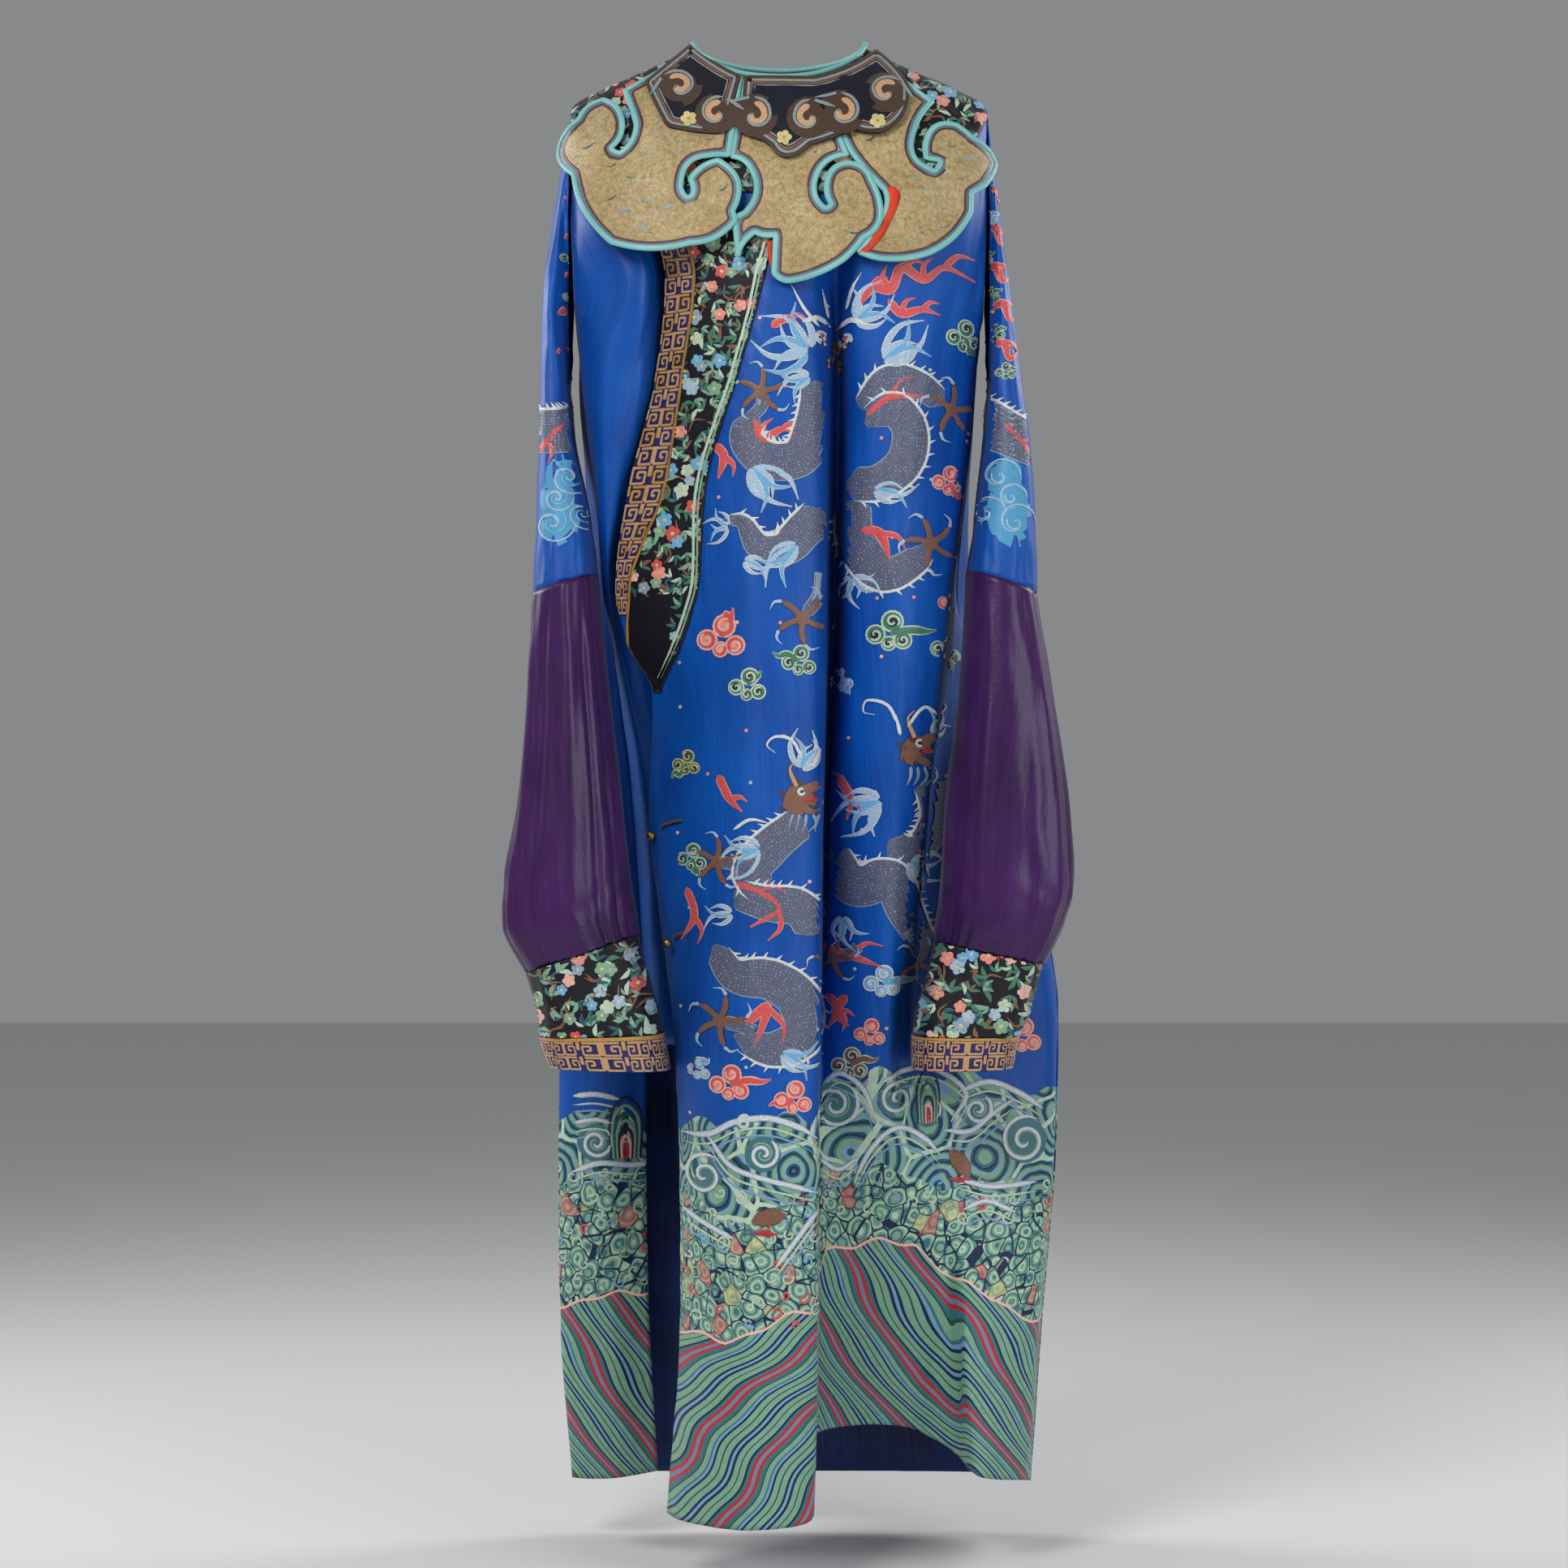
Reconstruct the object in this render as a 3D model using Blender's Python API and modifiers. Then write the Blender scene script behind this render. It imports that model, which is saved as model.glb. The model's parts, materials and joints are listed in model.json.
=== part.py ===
# Chinese dragon robe, hollow and hanging as if worn, with a cloud collar.
# Front faces -Y, right sleeve of the view is +X, origin at the neck point level.
import math

import bmesh
import bpy
import numpy as np
from mathutils import Vector
from mathutils.bvhtree import BVHTree
from mathutils.geometry import delaunay_2d_cdt

# ---------------------------------------------------------------- driving sizes (m)
WALL = 0.0015          # silk with its lining
SEAM_GAP = 0.0003      # clear gap between neighbouring pieces
SHOULDER_HALF_GAP = 0.0010   # half the gap on the shoulder line, measured on the outer face
PLATE_WALL = 0.0013    # collar and bands
BUTTON_RADIUS = 0.0042
BINDING_RADIUS = 0.0026
SHOULDER_POWER = 1.15    # how fast the neck and yoke drop from the shoulder line
NORMAL_STEP = 0.004
SIDE_LIMIT = 0.992     # share of a ring's half width that a collar plate may reach

for item in list(bpy.data.objects):
    bpy.data.objects.remove(item, do_unlink=True)

COLLECTION = bpy.data.collections.new("chinese_dragon_robe")
bpy.context.scene.collection.children.link(COLLECTION)

# name: base colour, roughness, metallic
MATERIALS = {
    "blue_silk": ((0.012, 0.105, 0.45, 1), 0.5, 0.0),
    "plain_blue_silk": ((0.010, 0.12, 0.50, 1), 0.45, 0.0),
    "purple_silk": ((0.10, 0.024, 0.18, 1), 0.42, 0.0),
    "dark_floral_silk": ((0.016, 0.013, 0.028, 1), 0.6, 0.0),
    "fret_silk": ((0.11, 0.07, 0.26, 1), 0.6, 0.0),
    "cream_silk": ((0.62, 0.50, 0.28, 1), 0.55, 0.0),
    "navy_silk": ((0.010, 0.010, 0.030, 1), 0.5, 0.0),
    "turquoise_binding": ((0.13, 0.42, 0.48, 1), 0.5, 0.0),
    "gold_piping": ((0.55, 0.32, 0.09, 1), 0.5, 0.0),
    "orange_lining": ((0.80, 0.10, 0.02, 1), 0.5, 0.0),
    "brown_cord": ((0.16, 0.07, 0.03, 1), 0.7, 0.0),
    "brass": ((0.55, 0.38, 0.12, 1), 0.3, 1.0),
}

# Shoulder form, a row for each ring below the neck edge.
# reach along the cloth, half width, depth in front, depth behind, z front, z side, z back,
# roundness (1 is an ellipse, less is squarer)
FORM_RINGS = np.array([
    (0.000, 0.0830, 0.072, 0.078, -0.0445, 0.000, -0.013, 1.00),
    (0.045, 0.1250, 0.096, 0.098, -0.080, -0.020, -0.045, 0.90),
    (0.090, 0.1660, 0.114, 0.112, -0.117, -0.038, -0.086, 0.82),
    (0.135, 0.1990, 0.127, 0.122, -0.157, -0.061, -0.130, 0.76),
    (0.180, 0.2065, 0.135, 0.127, -0.199, -0.103, -0.176, 0.74),
    (0.230, 0.2120, 0.141, 0.130, -0.250, -0.153, -0.226, 0.74),
    (0.280, 0.2160, 0.145, 0.132, -0.300, -0.203, -0.276, 0.74),
])

# Outer front: columns are lines from the free edge to the side seam, each (x, y):
# edge, piping, border edge, left fold, ridge, right fold, crease, crease side, swell,
# arm front, arm back, side, seam
FRONT_ANGLES = (-33, -24, 0, 3, 6, 10, 16, 22, 36, 60, 74, 83, 90)
FRONT_ROWS = {
    -0.230: ((-0.106, -0.088), (-0.078, -0.113), (-0.012, -0.138), (-0.001, -0.139), (0.013, -0.138),
             (0.032, -0.131), (0.054, -0.098), (0.074, -0.124), (0.118, -0.116), (0.168, -0.088),
             (0.188, -0.068), (0.193, -0.063), (0.1955, -0.058)),
    -0.320: ((-0.115, -0.070), (-0.089, -0.101), (-0.0355, -0.141), (-0.024, -0.145), (-0.002, -0.147),
             (0.035, -0.136), (0.056, -0.060), (0.072, -0.112), (0.115, -0.125), (0.168, -0.082),
             (0.184, -0.045), (0.188, -0.015), (0.189, -0.001)),
    -0.430: ((-0.142, -0.066), (-0.107, -0.092), (-0.0675, -0.121), (-0.060, -0.128), (-0.016, -0.150),
             (0.036, -0.138), (0.055, -0.038), (0.069, -0.102), (0.114, -0.126), (0.163, -0.084),
             (0.176, -0.033), (0.179, 0.010), (0.180, 0.035)),
    -0.520: ((-0.154, -0.060), (-0.140, -0.069), (-0.0745, -0.115), (-0.069, -0.121), (-0.019, -0.153),
             (0.036, -0.140), (0.053, -0.028), (0.066, -0.096), (0.112, -0.125), (0.158, -0.084),
             (0.167, -0.022), (0.171, 0.028), (0.173, 0.054)),
    -0.572: ((-0.145, -0.052), (-0.142, -0.055), (-0.089, -0.101), (-0.070, -0.119), (-0.019, -0.155),
             (0.036, -0.141), (0.052, -0.025), (0.064, -0.092), (0.111, -0.123), (0.154, -0.083),
             (0.163, -0.016), (0.175, 0.036), (0.185, 0.062)),
    -0.620: ((-0.121, -0.045), (-0.119, -0.048), (-0.110, -0.060), (-0.071, -0.118), (-0.019, -0.156),
             (0.036, -0.142), (0.050, -0.022), (0.062, -0.088), (0.110, -0.121), (0.149, -0.080),
             (0.158, -0.008), (0.180, 0.043), (0.199, 0.068)),
    -0.730: ((-0.124, -0.035), (-0.120, -0.042), (-0.105, -0.066), (-0.070, -0.118), (-0.019, -0.160),
             (0.036, -0.145), (0.045, -0.022), (0.058, -0.078), (0.106, -0.110), (0.137, -0.070),
             (0.151, 0.016), (0.213, 0.050), (0.231, 0.080)),
    -0.930: ((-0.102, -0.040), (-0.099, -0.048), (-0.090, -0.074), (-0.070, -0.122), (-0.019, -0.165),
             (0.036, -0.150), (0.040, -0.030), (0.060, -0.050), (0.103, -0.064), (0.121, -0.032),
             (0.151, 0.024), (0.264, 0.052), (0.274, 0.090)),
    -0.985: ((-0.098, -0.050), (-0.095, -0.058), (-0.087, -0.082), (-0.071, -0.123), (-0.020, -0.166),
             (0.035, -0.151), (0.040, -0.033), (0.062, -0.045), (0.103, -0.052), (0.119, -0.018),
             (0.150, 0.020), (0.265, 0.046), (0.273, 0.088)),
    -1.085: ((-0.094, -0.065), (-0.092, -0.072), (-0.086, -0.094), (-0.073, -0.125), (-0.021, -0.168),
             (0.034, -0.152), (0.039, -0.045), (0.070, -0.028), (0.114, -0.022), (0.150, -0.010),
             (0.183, 0.002), (0.263, 0.036), (0.270, 0.082)),
    -1.220: ((-0.094, -0.075), (-0.092, -0.082), (-0.087, -0.100), (-0.074, -0.127), (-0.024, -0.170),
             (0.034, -0.152), (0.039, -0.045), (0.078, -0.008), (0.122, 0.002), (0.162, -0.006),
             (0.180, -0.034), (0.248, 0.008), (0.258, 0.070)),
    -1.398: ((-0.106, -0.070), (-0.104, -0.077), (-0.099, -0.095), (-0.086, -0.120), (-0.026, -0.170),
             (0.031, -0.150), (0.035, -0.045), (0.081, 0.010), (0.123, 0.015), (0.166, -0.005),
             (0.190, -0.050), (0.239, -0.005), (0.245, 0.050)),
}
# How far the hem of each fold line rises above the lowest row.
FRONT_HEM_RISE = (0.001, 0.001, 0.001, 0.001, 0.002, 0.009, 0.071, 0.072, 0.069, 0.050, 0.032, 0.021, 0.012)

# Back: columns from the seam at +X round the back to the slit edge at -X.
BACK_ANGLES = (90, 112, 146, 180, 214, 248, 259, 265, 270)
BACK_ROWS = {
    -0.230: ((0.1955, 0.058), (0.184, 0.076), (0.113, 0.110), (0.000, 0.128), (-0.113, 0.110),
             (-0.184, 0.076), (-0.192, 0.067), (-0.194, 0.062), (-0.1955, 0.058)),
    -0.320: ((0.190, 0.003), (0.189, 0.070), (0.113, 0.125), (0.000, 0.135), (-0.113, 0.125),
             (-0.191, 0.080), (-0.195, 0.050), (-0.193, 0.028), (-0.190, 0.003)),
    -0.430: ((0.181, 0.038), (0.186, 0.088), (0.113, 0.133), (0.000, 0.141), (-0.113, 0.133),
             (-0.186, 0.098), (-0.189, 0.076), (-0.181, 0.052), (-0.174, 0.034)),
    -0.520: ((0.174, 0.058), (0.187, 0.102), (0.113, 0.139), (0.000, 0.146), (-0.113, 0.139),
             (-0.183, 0.113), (-0.190, 0.092), (-0.180, 0.068), (-0.168, 0.056)),
    -0.620: ((0.200, 0.072), (0.203, 0.115), (0.117, 0.145), (0.000, 0.150), (-0.118, 0.145),
             (-0.189, 0.122), (-0.199, 0.100), (-0.177, 0.072), (-0.156, 0.062)),
    -0.730: ((0.232, 0.084), (0.226, 0.125), (0.122, 0.150), (0.000, 0.155), (-0.122, 0.150),
             (-0.196, 0.132), (-0.207, 0.110), (-0.179, 0.082), (-0.143, 0.072)),
    -0.930: ((0.275, 0.094), (0.263, 0.135), (0.126, 0.160), (0.000, 0.163), (-0.126, 0.158),
             (-0.204, 0.140), (-0.217, 0.115), (-0.176, 0.085), (-0.131, 0.092)),
    -1.085: ((0.271, 0.084), (0.262, 0.135), (0.128, 0.165), (0.000, 0.168), (-0.128, 0.163),
             (-0.206, 0.146), (-0.219, 0.118), (-0.174, 0.088), (-0.131, 0.100)),
    -1.220: ((0.259, 0.074), (0.254, 0.135), (0.129, 0.168), (0.000, 0.170), (-0.128, 0.168),
             (-0.205, 0.150), (-0.218, 0.120), (-0.172, 0.090), (-0.129, 0.105)),
    -1.398: ((0.246, 0.054), (0.245, 0.130), (0.126, 0.170), (0.000, 0.172), (-0.127, 0.170),
             (-0.193, 0.150), (-0.206, 0.120), (-0.164, 0.095), (-0.120, 0.110)),
}
BACK_HEM_RISE = (0.011, 0.005, 0.001, 0.001, 0.001, 0.002, 0.003, 0.006, 0.011)

# Inner front, the plain underlap: columns from the side seam at -X to its hidden edge.
INNER_ANGLES = (-90, -76, -60, -50, -43, -38, -33.5)
INNER_ROWS = {
    -0.230: ((-0.1955, -0.058), (-0.188, -0.070), (-0.164, -0.088), (-0.130, -0.099),
             (-0.114, -0.080), (-0.102, -0.030), (-0.050, -0.060)),
    -0.320: ((-0.190, -0.002), (-0.187, -0.050), (-0.162, -0.086), (-0.133, -0.086),
             (-0.120, -0.064), (-0.106, -0.020), (-0.054, -0.055)),
    -0.430: ((-0.175, 0.030), (-0.176, -0.030), (-0.164, -0.066), (-0.150, -0.064),
             (-0.143, -0.048), (-0.128, -0.010), (-0.064, -0.048)),
    -0.520: ((-0.168, 0.053), (-0.168, -0.010), (-0.163, -0.040), (-0.160, -0.036),
             (-0.156, -0.026), (-0.140, 0.000), (-0.070, -0.040)),
    -0.620: ((-0.156, 0.059), (-0.152, 0.010), (-0.144, -0.004), (-0.133, 0.000),
             (-0.120, 0.004), (-0.102, 0.006), (-0.070, -0.008)),
    -0.730: ((-0.143, 0.069), (-0.135, 0.026), (-0.126, 0.016), (-0.114, 0.014),
             (-0.102, 0.013), (-0.088, 0.012), (-0.063, 0.008)),
    -0.960: ((-0.131, 0.089), (-0.122, 0.040), (-0.110, 0.030), (-0.098, 0.028),
             (-0.087, 0.028), (-0.075, 0.028), (-0.055, 0.024)),
}
INNER_HEM_RISE = (0, 0, 0, 0, 0, 0, 0)
RING_REACHES = (0.0, 0.045, 0.090, 0.135)

# Sleeves, a row for each ring: outer x, outer z, inner x, inner z, centre y, half depth
SLEEVE_PLUS = (
    (0.2005, -0.066, 0.2005, -0.318, 0.000, 0.0500),
    (0.2040, -0.100, 0.2025, -0.324, -0.002, 0.0510),
    (0.2110, -0.160, 0.2020, -0.334, -0.004, 0.0610),
    (0.2190, -0.225, 0.1990, -0.350, -0.008, 0.0720),
    (0.2290, -0.300, 0.1960, -0.380, -0.012, 0.0760),
    (0.2390, -0.380, 0.1900, -0.425, -0.020, 0.0790),
    (0.2440, -0.460, 0.1850, -0.470, -0.032, 0.0770),
    (0.2450, -0.526, 0.1790, -0.505, -0.040, 0.0750),
    (0.2600, -0.621, 0.1710, -0.621, -0.052, 0.0720),
    (0.2755, -0.729, 0.1570, -0.729, -0.060, 0.0720),
    (0.2790, -0.799, 0.1530, -0.799, -0.063, 0.0730),
    (0.2700, -0.836, 0.1500, -0.833, -0.064, 0.0720),
    (0.2505, -0.876, 0.1475, -0.854, -0.065, 0.0660),
)
CUFF_PLUS = (
    (0.2505, -0.8765, 0.1475, -0.8545, -0.065, 0.0660),
    (0.2455, -0.8916, 0.1401, -0.8870, -0.065, 0.0660),
    (0.2350, -0.9300, 0.1275, -0.9300, -0.066, 0.0660),
    (0.2260, -0.9480, 0.1265, -0.9480, -0.066, 0.0660),
    (0.2209, -0.9745, 0.1263, -0.9763, -0.066, 0.0650),
)
SLEEVE_MINUS = (
    (-0.2005, -0.066, -0.2005, -0.318, 0.000, 0.0500),
    (-0.2060, -0.100, -0.2025, -0.324, -0.002, 0.0510),
    (-0.2150, -0.160, -0.2020, -0.334, -0.004, 0.0610),
    (-0.2240, -0.225, -0.1995, -0.350, -0.008, 0.0720),
    (-0.2270, -0.300, -0.1960, -0.380, -0.012, 0.0760),
    (-0.2285, -0.380, -0.1860, -0.425, -0.020, 0.0790),
    (-0.2310, -0.460, -0.1780, -0.470, -0.032, 0.0770),
    (-0.2335, -0.527, -0.1730, -0.508, -0.040, 0.0750),
    (-0.2392, -0.621, -0.1610, -0.621, -0.052, 0.0720),
    (-0.2490, -0.729, -0.1480, -0.729, -0.060, 0.0720),
    (-0.2605, -0.799, -0.1400, -0.799, -0.063, 0.0730),
    (-0.2615, -0.840, -0.1360, -0.828, -0.064, 0.0720),
    (-0.2399, -0.884, -0.1330, -0.848, -0.065, 0.0660),
)
CUFF_MINUS = (
    (-0.2399, -0.8845, -0.1330, -0.8485, -0.065, 0.0660),
    (-0.2346, -0.9024, -0.1284, -0.8716, -0.065, 0.0660),
    (-0.2276, -0.9293, -0.1161, -0.9139, -0.066, 0.0660),
    (-0.2253, -0.9493, -0.1084, -0.9486, -0.066, 0.0660),
    (-0.2169, -0.9739, -0.1030, -0.9770, -0.066, 0.0650),
)
SLEEVE_SEAM_ROW = 7    # ring where blue cloth meets purple cloth
FRET_SHARE = 0.30      # share of the cuff that is the fret border
SLEEVE_CORNER = 1.35   # how square the flattened sleeve is at its fold edges
PLEAT_COUNT = 7
PLEAT_DEPTH = 0.0045

# Cloud collar outlines on the front view plane, a row for each arc:
# start x, start z, rise of the arc away from the piece
LOBE_MINUS = (
    (-0.0751, -0.0126, 0.0000), (-0.1443, -0.0545, 0.0000), (-0.1322, -0.0914, -0.0038),
    (-0.1470, -0.1192, -0.0008), (-0.1548, -0.1147, 0.0031), (-0.1438, -0.0907, 0.0054),
    (-0.1629, -0.0622, 0.0046), (-0.1865, -0.0816, 0.0147), (-0.1877, -0.1337, 0.0069),
    (-0.1524, -0.2023, 0.0061), (-0.0814, -0.2056, 0.0060), (-0.0399, -0.1851, 0.0000),
    (-0.0421, -0.1758, 0.0121), (-0.0560, -0.1276, 0.0038), (-0.0824, -0.1464, -0.0008),
    (-0.0793, -0.1575, -0.0015), (-0.0846, -0.1621, -0.0023), (-0.0893, -0.1463, -0.0068),
    (-0.0651, -0.1242, -0.0008), (-0.0461, -0.1237, 0.0000), (-0.0344, -0.0455, -0.0031),
)
LOBE_FRONT = (
    (-0.0314, -0.0456, 0.0000), (0.0316, -0.0465, 0.0000), (0.0631, -0.1218, -0.0076),
    (0.0335, -0.1485, -0.0038), (0.0425, -0.1719, -0.0008), (0.0478, -0.1688, 0.0023),
    (0.0441, -0.1468, 0.0053), (0.0646, -0.1290, 0.0046), (0.0858, -0.1464, 0.0015),
    (0.0940, -0.1713, 0.0061), (0.0780, -0.2002, 0.0008), (0.0605, -0.2204, 0.0030),
    (0.0122, -0.2412, 0.0030), (-0.0051, -0.2336, 0.0000), (-0.0036, -0.1984, 0.0015),
    (-0.0225, -0.1960, -0.0030), (-0.0383, -0.2190, 0.0000), (-0.0414, -0.1812, 0.0000),
    (-0.0323, -0.1766, -0.0076), (-0.0264, -0.1358, -0.0030), (-0.0446, -0.1237, 0.0000),
)
LOBE_PLUS = (
    (0.0331, -0.0464, 0.0000), (0.0655, -0.1162, 0.0015), (0.0971, -0.1540, -0.0023),
    (0.0970, -0.1743, -0.0015), (0.0726, -0.2126, 0.0008), (0.0923, -0.2192, 0.0030),
    (0.1388, -0.2123, 0.0053), (0.1771, -0.1699, 0.0000), (0.1780, -0.1526, 0.0000),
    (0.1902, -0.1429, 0.0015), (0.2015, -0.1188, 0.0039), (0.1804, -0.0984, 0.0008),
    (0.1660, -0.0864, 0.0077), (0.1368, -0.1021, 0.0015), (0.1364, -0.1230, 0.0000),
    (0.1494, -0.1250, -0.0008), (0.1432, -0.1334, -0.0076), (0.1237, -0.1045, -0.0031),
    (0.1441, -0.0640, 0.0000), (0.0863, -0.0141, -0.0031),
)
INNER_COLLAR_MINUS = (
    (-0.0800, -0.0074, 0.0000), (-0.1242, -0.0486, 0.0008), (-0.1084, -0.0873, 0.0023),
    (-0.0974, -0.0988, 0.0008), (-0.0561, -0.1048, 0.0030), (-0.0463, -0.0908, 0.0000),
    (-0.0344, -0.0455, -0.0031),
)
INNER_COLLAR_PLUS = (
    (-0.0314, -0.0456, 0.0000), (-0.0356, -0.1001, 0.0015), (-0.0150, -0.1109, 0.0000),
    (-0.0074, -0.1167, 0.0061), (0.0191, -0.1230, 0.0000), (0.0305, -0.1150, 0.0008),
    (0.0587, -0.1048, 0.0015), (0.0694, -0.0996, 0.0023), (0.0961, -0.1023, 0.0069),
    (0.1200, -0.0638, 0.0008), (0.1181, -0.0482, 0.0023), (0.0886, -0.0138, -0.0047),
    (0.0316, -0.0465, 0.0000),
)
# Inner collar edge of one back half, from the neck seam round to the middle.
BACK_INNER_EDGE = (
    (0.0884, -0.0154, 0.0047), (0.1180, -0.0490, 0.0023), (0.1199, -0.0643, 0.0069),
    (0.0961, -0.1024, 0.0023), (0.0693, -0.1004, 0.0015), (0.0586, -0.1056, 0.0008),
    (0.0305, -0.1158, 0.0000), (0.0191, -0.1239, 0.0030),
)
LINING_PLUS = (
    (0.0994, -0.1516, 0.0000), (0.1032, -0.1500, 0.0045), (0.1108, -0.1646, 0.0008),
    (0.0969, -0.1960, 0.0008), (0.0802, -0.2148, 0.0000), (0.0726, -0.2141, -0.0008),
    (0.0970, -0.1821, -0.0015),
)
LINING_SLIT = (
    (-0.0111, -0.2045, 0.0000), (-0.0059, -0.2022, 0.0000), (-0.0066, -0.2305, 0.0000),
    (-0.0096, -0.2213, 0.0000),
)


# ---------------------------------------------------------------- helpers
def make_material(name):
    """Plain shaded material for one kind of cloth or metal."""
    colour, rough, metal = MATERIALS[name]
    mat = bpy.data.materials.new(name)
    mat.use_nodes = True
    shader = mat.node_tree.nodes["Principled BSDF"]
    shader.inputs["Base Color"].default_value = colour
    shader.inputs["Roughness"].default_value = rough
    shader.inputs["Metallic"].default_value = metal
    mat.diffuse_color = colour
    return mat


MADE = {key: make_material(key) for key in MATERIALS}


def add_object(name, verts, faces, material):
    """Object from vertices and faces, normals facing out of the first side."""
    mesh = bpy.data.meshes.new(name)
    mesh.from_pydata([tuple(v) for v in verts], [], faces)
    mesh.update()
    obj = bpy.data.objects.new(name, mesh)
    COLLECTION.objects.link(obj)
    mesh.materials.append(MADE[material])
    return obj


def thicken(obj, thickness, offset=-1.0):
    """Give a sheet its wall; offset -1 keeps the outer face where it is."""
    mod = obj.modifiers.new("wall", "SOLIDIFY")
    mod.thickness = thickness
    mod.offset = offset
    mod.use_rim = True
    mod.use_even_offset = False
    return obj


def hermite(knots, values, t):
    """Smooth curve through rows of values at rising knots, limited so it never overshoots."""
    knots = np.asarray(knots, float)
    values = np.asarray(values, float)
    step = np.diff(knots)
    slope = np.diff(values, axis=0) / step.reshape((-1,) + (1,) * (values.ndim - 1))
    tangent = np.zeros_like(values)
    tangent[0] = slope[0]
    tangent[-1] = slope[-1]
    before = slope[:-1]
    after = slope[1:]
    same = before * after > 0
    safe = np.where(same, before + after, 1.0)
    tangent[1:-1] = np.where(same, 2 * before * after / safe, 0.0) * 0.7 + 0.15 * (before + after)
    t = np.atleast_1d(t)
    k = np.clip(np.searchsorted(knots, t, side="right") - 1, 0, len(step) - 1)
    shape = (-1,) + (1,) * (values.ndim - 1)
    u = ((t - knots[k]) / step[k]).reshape(shape)
    w = step[k].reshape(shape)
    h00 = 2 * u ** 3 - 3 * u ** 2 + 1
    h10 = u ** 3 - 2 * u ** 2 + u
    h01 = -2 * u ** 3 + 3 * u ** 2
    h11 = u ** 3 - u ** 2
    return h00 * values[k] + h10 * w * tangent[k] + h01 * values[k + 1] + h11 * w * tangent[k + 1]


def form_ring(reach):
    """Sizes of the shoulder form at a reach from the neck edge."""
    return [np.interp(reach, FORM_RINGS[:, 0], FORM_RINGS[:, i]) for i in range(1, 8)]


def on_form(angle, reach):
    """Point of the shoulder form, angle from the front towards +X."""
    half, fore, behind, z_front, z_side, z_back, round_by = form_ring(reach)
    cosine = math.cos(angle)
    sine = math.sin(angle)
    depth = fore if cosine >= 0 else behind
    z_end = z_front if cosine >= 0 else z_back
    z = z_side + (z_end - z_side) * abs(cosine) ** SHOULDER_POWER
    x = math.copysign(half * abs(sine) ** round_by, sine)
    y = -math.copysign(depth * abs(cosine) ** round_by, cosine)
    return np.array([x, y, z])


def reach_at(x, z):
    """Angle and reach on the front of the form of a point given in the front view."""
    low, high = -0.01, 0.28
    for _ in range(40):
        mid = (low + high) / 2
        ring = form_ring(mid)
        share = min(SIDE_LIMIT, abs(x) / ring[0]) ** (1 / ring[6])
        angle = math.copysign(math.asin(share), x)
        if on_form(angle, mid)[2] > z:
            low = mid
        else:
            high = mid
    return angle, mid


def form_normal(angle, reach):
    """Outward normal of the shoulder form."""
    reach = max(reach, NORMAL_STEP)
    d_angle = on_form(angle + 0.01, reach) - on_form(angle - 0.01, reach)
    d_reach = on_form(angle, reach + NORMAL_STEP) - on_form(angle, reach - NORMAL_STEP)
    n = np.cross(d_reach, d_angle)
    return n / np.linalg.norm(n)


def panel_controls(rows, rises, angles, facing):
    """Control points of a body panel: shoulder rings first, then the rows of fold lines."""
    control = []
    for reach in RING_REACHES:
        ring = [on_form(math.radians(a), reach) for a in angles]
        for p in ring:
            p[1] = facing * max(SHOULDER_HALF_GAP, facing * p[1])
        control.append(ring)
    levels = sorted(rows, reverse=True)
    for z in levels:
        lift = rises if z == levels[-1] else [0.0] * len(rises)
        control.append([(x, y, z + r) for (x, y), r in zip(rows[z], lift)])
    return np.array(control)


def column_knots(control):
    """Knots across a panel, spread by the mean chord between fold lines."""
    chord = np.linalg.norm(np.diff(control, axis=1), axis=2).mean(axis=0)
    return np.concatenate([[0], np.cumsum(np.sqrt(chord))])


def row_knots(control):
    """Knots down a panel, spread by the mean drop between rows."""
    chord = np.linalg.norm(np.diff(control, axis=0), axis=2).mean(axis=1)
    return np.concatenate([[0], np.cumsum(chord)])


class Panel:
    """Smooth sheet through a grid of control points."""

    def __init__(self, control):
        self.control = control
        self.across = column_knots(control)
        self.down = row_knots(control)

    def grid(self, per_column, per_row):
        """Points of the sheet, rows down and columns across."""
        u = subdivide(self.across, per_column)
        v = subdivide(self.down, per_row)
        first = hermite(self.down, self.control, v)
        turned = np.swapaxes(first, 0, 1)
        second = hermite(self.across, turned, u)
        return np.swapaxes(second, 0, 1)

    def at(self, u, v):
        """Points of the sheet at matching across and down values."""
        rows = hermite(self.down, self.control, v)
        return np.array([hermite(self.across, r, uu)[0] for r, uu in zip(rows, np.atleast_1d(u))])


def subdivide(knots, parts):
    """Rising values with the given number of parts in each interval."""
    out = [knots[0]]
    for k in range(len(knots) - 1):
        n = parts[k] if isinstance(parts, (list, tuple)) else parts
        for i in range(1, n + 1):
            out.append(knots[k] + (knots[k + 1] - knots[k]) * i / n)
    return np.array(out)


def grid_faces(rows, cols, closed=False, flip=False):
    """Quads of a grid of rows by cols points."""
    faces = []
    last = cols if closed else cols - 1
    for r in range(rows - 1):
        for c in range(last):
            a = r * cols + c
            b = r * cols + (c + 1) % cols
            d = (r + 1) * cols + c
            e = (r + 1) * cols + (c + 1) % cols
            faces.append((a, d, e, b) if not flip else (a, b, e, d))
    return faces


def sheet(name, grid, material, thickness=WALL, closed=False, flip=False, offset=-1.0):
    """Thin wall on a grid of points."""
    rows, cols = grid.shape[:2]
    faces = grid_faces(rows, cols, closed, flip)
    obj = add_object(name, grid.reshape(-1, 3), faces, material)
    return thicken(obj, thickness, offset)


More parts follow.
